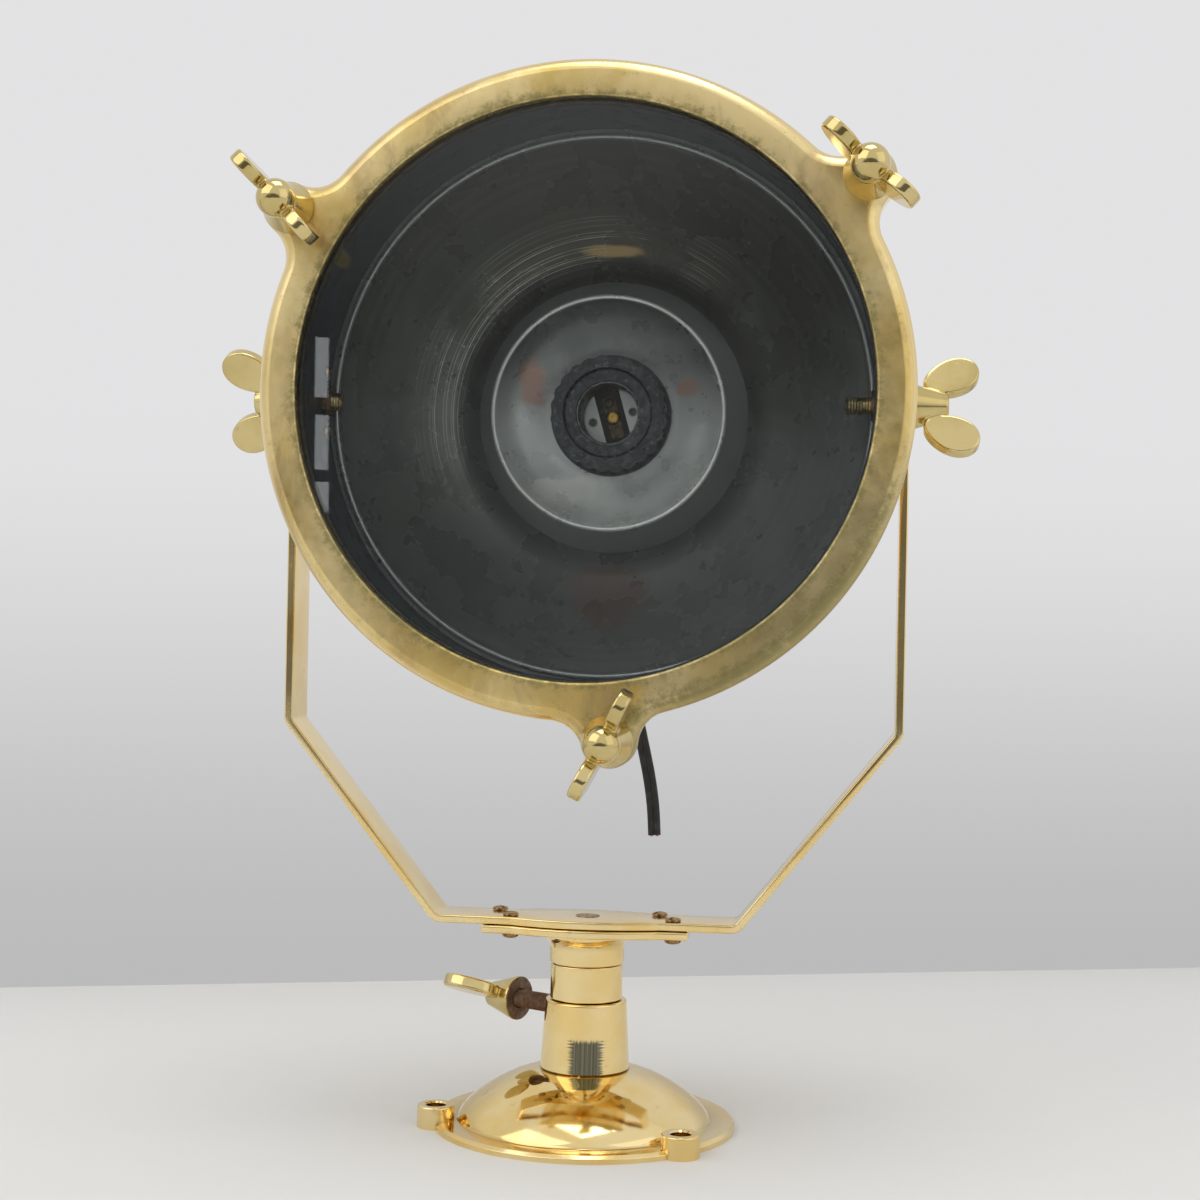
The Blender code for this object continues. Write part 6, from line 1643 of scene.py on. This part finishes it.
def make_bracket(plate, brass):
    low = DRUM_TAIL + DRUM_WALL + FIT_GAP
    high = HOLDER_BACK - FIT_GAP
    waist = HOLDER_BODY_RADIUS - HOLDER_TAPER
    profile = eased([
        (0, low, 0), (BRACKET_RADIUS, low, EDGE_ROUND), (BRACKET_RADIUS, low + BRACKET_THICKNESS, EDGE_ROUND),
        (waist, low + BRACKET_THICKNESS, 0), (waist, high, 0), (0, high, 0),
    ])
    mesh = turned("tail_plate", profile, MIDDLE_FACETS)
    add("tail_plate", mesh, plate, "head", ["holder_bracket"], HEAD)
    seat = DRUM_TAIL - FIT_GAP
    top = seat - TAIL_BOLT_HEAD_HEIGHT
    head = domed(TAIL_BOLT_HEAD_RADIUS, seat, seat - EDGE_ROUND, top, TAIL_BOLT_DOME_POWER)
    end = low + BRACKET_THICKNESS
    bolt = head[:0:-1] + [(TAIL_BOLT_RADIUS, seat), (TAIL_BOLT_RADIUS, end), (0, end)]
    over = Matrix.Rotation(math.pi, 4, "X")
    for name, side in reversed(SIDES):
        mesh = turned("tail_screw_" + name, bolt, TINY_FACETS)
        cutter = moved(slot_cutter(TAIL_BOLT_HEAD_RADIUS, -top, degrees=TAIL_BOLT_SLOT_TURN * side), over)
        mesh = cut("tail_screw_" + name, mesh, cutter)
        place = HEAD @ Matrix.Translation((side * TAIL_BOLT_PLACE, 0, 0))
        add("tail_screw_" + name, mesh, brass, "head", ["tail_bolt_" + name], place)


def wall_seat(height):
    apothem = DRUM_INNER_RADIUS * math.cos(math.pi / CAD_FACETS)
    return math.sqrt(apothem ** 2 - height ** 2) - FIT_GAP


def make_pivot_pad(name, across, brass):
    """A block between the drum and the yoke's arm, hollowed to fit round the drum."""
    outline = rectangle(PAD_WIDTH, PAD_HEIGHT, 3 * EDGE_ROUND)
    mesh = slab("side_pad_" + name, outline, DRUM_INNER_RADIUS - SEAT_STEP, PAD_OUTER, EDGE_ROUND)
    drum = rod_mesh("drum_round", [(0, 0, DRUM_RADIUS + FIT_GAP, -PAD_WIDTH, PAD_WIDTH)], BIG_FACETS)
    mesh = cut("side_pad_" + name, mesh, moved(drum, Matrix.Rotation(math.pi / 2, 4, "Y")))
    add("side_pad_" + name, mesh, brass, "head", ["pivot_pad_" + name], across)


def make_pivot_stud(name, across, dull_brass):
    start = DRUM_INNER_RADIUS - PIVOT_STUD_REACH[name]
    seat = YOKE_INNER_HALF_SPAN + STRAP_THICKNESS + FIT_GAP + TILT_NUT_BACK_OFF[name]
    end = seat + NUT_BORE_DEPTH - 2 * FIT_GAP
    thread = thread_profile(PIVOT_STUD_RADIUS, PIVOT_PITCH / 3, start + EDGE_ROUND, end, PIVOT_PITCH)
    profile = [(0, start), (PIVOT_STUD_RADIUS - EDGE_ROUND, start)] + thread + [(0, end)]
    mesh = turned("side_stud_" + name, profile, TINY_FACETS)
    add("side_stud_" + name, mesh, dull_brass, "head", ["pivot_stud_" + name], across)


def make_pivot_nut(name, across, aged):
    """The six-sided nut inside the drum, with its corners turned off on the face that is seen."""
    seat = wall_seat(PIVOT_NUT_RADIUS)
    top = seat - PIVOT_NUT_THICKNESS
    face = PIVOT_NUT_RADIUS * PIVOT_NUT_FACE_SHARE
    clear = PIVOT_NUT_RADIUS * PIVOT_NUT_CLEAR_SHARE
    hexagon = slab("hexagon", circle_points(PIVOT_NUT_RADIUS, 6), top, seat, EDGE_ROUND / 8)
    profile = [(0, top), (face, top), (clear, top + EDGE_ROUND), (clear, seat), (0, seat)]
    mesh = cut("inner_nut_" + name, hexagon, turned("chamfer", profile, SMALL_FACETS), "INTERSECT")
    add("inner_nut_" + name, mesh, aged, "head", ["pivot_nut_" + name], across)


def make_pivot_rivets(name, across, aged):
    low = wall_seat(RIVET_OFFSET + RIVET_HEAD_RADIUS)
    head = domed(RIVET_HEAD_RADIUS, low, low - EDGE_ROUND / 2, low - RIVET_HEAD_HEIGHT)
    rivet = head[:0:-1] + [(RIVET_RADIUS, low), (RIVET_RADIUS, PAD_OUTER), (0, PAD_OUTER)]
    for row, side in (("upper", 1), ("lower", -1)):
        tag = name + "_" + row
        mesh = turned("side_rivet_" + tag, rivet, TINY_FACETS)
        place = Matrix.Translation((0, 0, side * RIVET_OFFSET)) @ across
        add("side_rivet_" + tag, mesh, aged, "head", ["pivot_rivet_" + tag], place)


def make_pivots(brass, dull_brass, aged):
    for name, side in SIDES:
        across = axes_matrix((0, 0, TILT_HEIGHT), (side, 0, 0), (0, -side, 0))
        make_pivot_pad(name, across, brass["drum"])
        make_pivot_stud(name, across, dull_brass)
        make_pivot_nut(name, across, aged)
        make_pivot_rivets(name, across, aged)


# Cord and grommet

def gland_matrix():
    start = SEAT_FORWARD - SEAT_STEP
    rise = (GLAND_FORWARD - start) / (DRUM_TAIL - start)
    run = 1 - (1 - rise ** DRUM_DOME_SHARE) ** (1 / DRUM_DOME_SHARE)
    wide = DRUM_INNER_RADIUS - SEAT_STEP + DRUM_WALL
    x, y = polar(wide + (DRUM_TAIL_RADIUS - wide) * run, GLAND_ANGLE)
    return HEAD @ axes_matrix((x, y, GLAND_FORWARD), (x, y, 0), (0, 0, 1))


def smooth_route(points):
    """A smooth curve through the route's points."""
    found = []
    count = len(points)
    for index in range(count - 1):
        before, start = points[max(0, index - 1)], points[index]
        end, after = points[index + 1], points[min(count - 1, index + 2)]
        for step in range(CORD_ROUTE_STEPS):
            t = step / CORD_ROUTE_STEPS
            bend = start * 2 + (end - before) * t
            bend += (before * 2 - start * 5 + end * 4 - after) * t ** 2
            bend += (start * 3 - before - end * 3 + after) * t ** 3
            found.append(bend / 2)
    return found + [points[-1]]


def cord_section():
    """The outline of flat twin flex: two round cores side by side with a groove between."""
    radius = CORD_DEPTH / 2
    middle = CORD_WIDTH / 2 - radius
    meet = math.degrees(math.acos(min(1, middle * CORD_GROOVE_SHARE / radius)))
    right = arc((middle, 0), radius, meet - 180, 180 - meet, CORD_ARC_STEPS)
    return right + arc((-middle, 0), radius, meet, 360 - meet, CORD_ARC_STEPS)


def across_cord(ahead):
    """The direction of the cord's width: square to its run, and as near to sideways as that allows."""
    side = Vector((1, 0, 0))
    return (side - ahead * side.dot(ahead)).normalized()


def make_cord(black, copper):
    gland = gland_matrix()
    path = smooth_route([gland.translation + Vector(step) for step in CORD_ROUTE])
    section = cord_section()
    bm = bmesh.new()
    rings = []
    for before, at, after in zip(path[:1] + path, path, path[1:] + path[-1:]):
        ahead = (after - before).normalized()
        wide = across_cord(ahead)
        deep = ahead.cross(wide)
        rings.append([bm.verts.new(at + wide * x + deep * y) for x, y in section])
    bridge(bm, rings)
    cap(bm, rings)
    cord = add("twin_cord", finished_mesh("twin_cord", bm), black, "head", ["supply_cord"])
    ends = make_cores(copper, path[-1], (path[-1] - path[-2]).normalized())
    make_grommet(black, gland)


def make_cores(copper, end, ahead):
    """The two cut wires that stand a little out of the cord's end."""
    wide = across_cord(ahead)
    core = eased([
        (0, -2 * CORE_STAND_OUT, 0), (CORE_RADIUS, -2 * CORE_STAND_OUT, 0),
        (CORE_RADIUS, CORE_STAND_OUT, CORE_RADIUS / 3), (0, CORE_STAND_OUT, 0),
    ])
    cores = []
    for side in (-1, 1):
        at = end + wide * side * (CORD_WIDTH - CORD_DEPTH) / 2
        cores.append(moved(turned("core", core, TINY_FACETS), axes_matrix(at, ahead, wide)))
    return add("cord_cores", joined("cord_cores", *cores), copper, "head", [])


def make_grommet(black, gland):
    """A sleeve round the cord, held in the drum's back by its flange, with ribs that taper outwards."""
    skirt = -DRUM_WALL - GLAND_FLANGE_THICKNESS
    bore = CORD_WIDTH / 2 + FIT_GAP / 2
    top = GLAND_FLANGE_SEAT + GLAND_FLANGE_THICKNESS
    rise = (GLAND_LENGTH - top) / GLAND_RIBS
    ribs = []
    for step in range(GLAND_RIBS):
        radius = GLAND_RADIUS + (bore + EDGE_ROUND - GLAND_RADIUS) * step / GLAND_RIBS
        crest, waist, end = (top + rise * (step + share) for share in GLAND_RIB_SHARES)
        ribs += [
            (radius, top + rise * step, EDGE_ROUND / 3), (radius, crest, EDGE_ROUND / 3),
            (radius - EDGE_ROUND, waist, 0), (radius - EDGE_ROUND, end, 0),
        ]
    grommet = eased([
        (bore, skirt, 0), (GLAND_RADIUS, skirt, EDGE_ROUND), (GLAND_RADIUS, GLAND_FLANGE_SEAT, 0),
        (GLAND_FLANGE_RADIUS, GLAND_FLANGE_SEAT, EDGE_ROUND / 2), (GLAND_FLANGE_RADIUS, top, EDGE_ROUND),
        *ribs, (bore + EDGE_ROUND / 2, GLAND_LENGTH, 0), (bore, GLAND_LENGTH, 0),
    ])
    mesh = turned("cord_sleeve", grommet, SMALL_FACETS, True)
    add("cord_sleeve", mesh, black, "head", ["cord_grommet"], gland)


# Bezel

def make_bezel(satin, glass, seal):
    stations = lug_ring_outline(
        BEZEL_RADIUS, STUD_CIRCLE_RADIUS, BEZEL_LUG_RADIUS, BEZEL_LUG_FILLET, STUD_ANGLES.values(),
    )
    lip_back = BEZEL_FRONT - BEZEL_LIP_THICKNESS
    outer = [(EDGE_ROUND, BEZEL_BACK), (0, BEZEL_BACK + EDGE_ROUND)] + superellipse(
        (0, BEZEL_FRONT - BEZEL_BEVEL_DEPTH), (BEZEL_BEVEL_WIDTH, BEZEL_FRONT), BEVEL_SHARE, 2 * BEND_STEPS,
    )
    pocket = GLASS_RADIUS + FIT_GAP
    inner = eased([
        (BEZEL_OPENING_RADIUS + 3 * BEZEL_LIP_ROUND, BEZEL_FRONT, 0),
        (BEZEL_OPENING_RADIUS, BEZEL_FRONT, BEZEL_LIP_ROUND),
        (BEZEL_OPENING_RADIUS, lip_back, EDGE_ROUND / 3),
        (pocket, lip_back, 0), (pocket, BEZEL_BACK, 0),
    ])
    mesh = lofted_ring("bezel_face", stations, outer, inner)
    add("bezel_face", mesh, satin, "bezel", ["bezel_ring"], HEAD)

    glass_front = lip_back - FIT_GAP
    glass_back = glass_front - GLASS_THICKNESS
    disc = circle_points(GLASS_RADIUS, BIG_FACETS)
    mesh = slab("window", disc, glass_back, glass_front, EDGE_ROUND / 2)
    add("window", mesh, glass, "bezel", ["front_glass"], HEAD)
    inside = GLASS_RADIUS - GASKET_WIDTH
    gasket = eased([
        (inside, DRUM_FRONT + FIT_GAP, EDGE_ROUND), (GLASS_RADIUS, DRUM_FRONT + FIT_GAP, EDGE_ROUND),
        (GLASS_RADIUS, glass_back - FIT_GAP, EDGE_ROUND), (inside, glass_back - FIT_GAP, EDGE_ROUND),
    ], True)
    mesh = turned("seal_ring", gasket, BIG_FACETS, True)
    add("seal_ring", mesh, seal, "bezel", ["glass_gasket"], HEAD)


def make_retaining_nut(plate):
    washer_top = COLLAR_BOSS_BOTTOM - FIT_GAP
    washer_low = washer_top - RETAINING_WASHER_THICKNESS
    bore = SPIGOT_STUD_RADIUS + FIT_GAP
    washer = eased([
        (bore, washer_low, 0), (RETAINING_WASHER_RADIUS, washer_low, EDGE_ROUND / 2),
        (RETAINING_WASHER_RADIUS, washer_top, EDGE_ROUND / 2),
        (bore, washer_top, 0),
    ])
    mesh = turned("hold_washer", washer, MIDDLE_FACETS, True)
    add("hold_washer", mesh, plate, "yoke", ["retaining_washer"])
    nut_top = washer_low - FIT_GAP
    nut_low = nut_top - RETAINING_NUT_THICKNESS
    corner = RETAINING_NUT_FLATS / math.sqrt(3)
    mesh = slab("hold_nut", circle_points(corner, 6), nut_low, nut_top, EDGE_ROUND / 4)
    hole = rod_mesh("nut_bore", [(0, 0, bore, nut_low - bore, nut_top + bore)], TINY_FACETS)
    mesh = cut("hold_nut", mesh, hole)
    add("hold_nut", mesh, plate, "yoke", ["retaining_nut"])


# Camera, room and light

def make_camera():
    right = Vector((math.cos(CAMERA_YAW), math.sin(CAMERA_YAW), 0))
    forward = Vector((-math.sin(CAMERA_YAW), math.cos(CAMERA_YAW), 0))
    up = Vector((0, 0, 1))
    across = right * math.cos(CAMERA_ROLL) + up * math.sin(CAMERA_ROLL)
    above = up * math.cos(CAMERA_ROLL) - right * math.sin(CAMERA_ROLL)
    data = bpy.data.cameras.new("camera")
    data.sensor_width = SENSOR_WIDTH_MM
    data.lens = FOCAL_PIXELS / PHOTO_SIDE * SENSOR_WIDTH_MM
    data.shift_y = PRINCIPAL_DROP_PIXELS / PHOTO_SIDE
    data.clip_start = CAMERA_CLIP
    camera = bpy.data.objects.new("camera", data)
    bpy.context.collection.objects.link(camera)
    turn = Matrix((across, above, -forward)).transposed().to_4x4()
    camera.matrix_world = Matrix.Translation(CAMERA_PLACE) @ turn
    bpy.context.scene.camera = camera


def room_look(name):
    """A matt, faintly uneven surface, still without its colour."""
    look = Look(name)
    grain = look.noise(60, 4)
    look.set(Roughness=look.step(grain, 0, 1, 0.55, 0.75), Specular_IOR_Level=0.25)
    look.bump((grain, 200, 0.05))
    return look


def floor_material():
    look = room_look("floor")
    look.set(Base_Color=FLOOR_COLOUR)
    return look.material


def wall_material():
    """Paler upwards, a painted gradient of light; in front it glows with that colour for camera, glossy and
    transmission rays, and it is see-through from behind.
    """
    look = room_look("wall")
    surface = look.node("ShaderNodeNewGeometry").outputs
    height = look.node("ShaderNodeSeparateXYZ")
    look.link(surface["Position"], height.inputs[0])
    tone = look.step(height.outputs["Z"], 0, WALL_GRADIENT_HEIGHT)
    colour = look.mix(tone, WALL_LOW_COLOUR, WALL_HIGH_COLOUR)
    look.set(Base_Color=colour)
    # painted light: the wall glows with its own gradient
    glow = look.node("ShaderNodeEmission")
    look.link(colour, glow.inputs["Color"])
    ray = look.node("ShaderNodeLightPath").outputs
    seen = look.maths("MAXIMUM", ray["Is Camera Ray"], ray["Is Glossy Ray"])
    seen = look.maths("MAXIMUM", seen, ray["Is Transmission Ray"])
    shown = look.blend(seen, look.shader.outputs["BSDF"], glow.outputs["Emission"])
    clear = look.node("ShaderNodeBsdfTransparent")
    return look.finish(look.blend(surface["Backfacing"], shown, clear.outputs["BSDF"]))


def make_room():
    def sheet(name, corners, material):
        mesh = bpy.data.meshes.new(name)
        mesh.from_pydata(corners, [], [(0, 1, 2, 3)])
        made = bpy.data.objects.new(name, mesh)
        bpy.context.collection.objects.link(made)
        mesh.materials.append(material)

    lean = math.tan(WALL_TURN) * FLOOR_HALF_WIDTH
    left = (-FLOOR_HALF_WIDTH, WALL_DISTANCE - lean)
    right = (FLOOR_HALF_WIDTH, WALL_DISTANCE + lean)
    near = [(-FLOOR_HALF_WIDTH, -FLOOR_FRONT, 0), (FLOOR_HALF_WIDTH, -FLOOR_FRONT, 0)]
    sheet("floor", near + [(*right, 0), (*left, 0)], floor_material())
    corners = [(*left, 0), (*right, 0), (*right, WALL_HEIGHT), (*left, WALL_HEIGHT)]
    sheet("wall", corners, wall_material())


def add_lamp(name, place, target, width, height, power, colour):
    data = bpy.data.lights.new(name, "AREA")
    data.shape = "RECTANGLE"
    data.size = width
    data.size_y = height
    data.energy = power
    data.color = colour
    lamp = bpy.data.objects.new(name, data)
    bpy.context.collection.objects.link(lamp)
    aim = Vector(target) - Vector(place)
    lamp.visible_camera = False
    lamp.matrix_world = Matrix.Translation(place) @ aim.to_track_quat("-Z", "Y").to_matrix().to_4x4()


def make_window_panes():
    """Three bright panes in front of the lamp whose mirror image shows low on the left of the glass."""
    camera = Vector(CAMERA_PLACE)
    glass = -(BEZEL_FRONT - BEZEL_LIP_THICKNESS)
    for index, (across, up, height) in enumerate(WINDOW_PANES):
        at = Vector((across, glass, up))
        ray = at - camera
        back = Vector((ray.x, -ray.y, ray.z)).normalized()
        place = at + back * WINDOW_DISTANCE
        size = (ray.length + WINDOW_DISTANCE) / FOCAL_PIXELS
        wide, tall = WINDOW_WIDTH_PIXELS * size, height * size
        power = math.pi * wide * tall * WINDOW_RADIANCE
        add_lamp("pane_" + str(index), place, at, wide, tall, power, WINDOW_COLOUR)


def make_light():
    world = bpy.data.worlds.new("room_light")
    bpy.context.scene.world = world
    world.use_nodes = True
    nodes = Nodes(world.node_tree)
    parts = nodes.node("ShaderNodeSeparateXYZ")
    nodes.link(nodes.node("ShaderNodeTexCoord").outputs["Generated"], parts.inputs[0])
    x, y, z = parts.outputs
    up = nodes.over(nodes.minus(z, DIM_CENTRE), DIM_HALF_HEIGHT)
    away = nodes.step(nodes.far_out(nodes.over(x, DIM_HALF_WIDTH), up), *DIM_EDGE)
    bright = nodes.maths("MAXIMUM", away, nodes.step(y, *BEHIND_EDGE))
    background = world.node_tree.nodes["Background"].inputs
    nodes.link(nodes.plus(nodes.times(bright, BRIGHT_EXTRA), DIM_STRENGTH), background["Strength"])
    nodes.link(ROOM_COLOUR, background["Color"])
    for name, (place, width, height, power, colour) in LAMPS.items():
        add_lamp(name, place, (0, 0, TILT_HEIGHT), width, height, power, colour)
    make_window_panes()


HEAD = axes_matrix((0, 0, TILT_HEIGHT), (0, -1, 0), (1, 0, 0))


def main():
    brass = {
        "base": polished_brass("base_brass", (0.3, 0, 0), lines="collar"),
        "stem": polished_brass("stem_brass", (0, 0.4, 0), lines="round"),
        "strap": polished_brass("strap_brass", (0, 0, 0.5), (0.07, 0.2), 20, "smooth"),
        "nut": polished_brass("nut_brass", (0.7, 0.1, 0), (0.05, 0.17), tones=(DEEP_GOLD, OLIVE_GOLD)),
        "drum": polished_brass("drum_brass", (0.2, 0.6, 0), (0.10, 0.26), lines="round"),
    }
    aged = aged_brass()
    dull_brass = aged_brass("dull_brass", (0.50, 0.40, 0.20), (0.17, 0.13, 0.065))
    contact = aged_brass("contact_brass", (0.80, 0.52, 0.14), (0.30, 0.17, 0.05))
    dark = aged_brass("dark_contact", (0.15, 0.115, 0.075), (0.045, 0.038, 0.028))
    shell_metal = aged_brass("shell_metal", (0.24, 0.255, 0.265), (0.10, 0.105, 0.11))
    black = rubber("black_rubber")
    plate = plated_steel()
    rust = rusty_steel()
    plastic = bakelite()

    make_camera()
    make_cord(black, copper_ends())
    make_base(brass)
    make_lock_screw(brass, rust)
    make_swivel_plate(brass)
    make_strap(brass)
    make_yoke_screws(aged)
    make_retaining_nut(plate)
    make_drum(brass, drum_paint())
    make_front_ring(brass)
    make_studs(brass)
    make_reflector(dark_mirror())
    make_cup(cup_silver())
    make_shade_ring(plastic)
    make_lampholder(plastic, shell_metal, porcelain(), contact, dark)
    make_bracket(plate, brass["drum"])
    make_pivots(brass, dull_brass, aged)
    make_bezel(bezel_brass(), clear_glass(), rubber("seal_rubber"))
    make_bezel_nuts(brass)
    make_tilt_nuts(brass)
    make_room()
    make_light()
    bpy.context.scene.view_settings.view_transform = "Standard"


main()
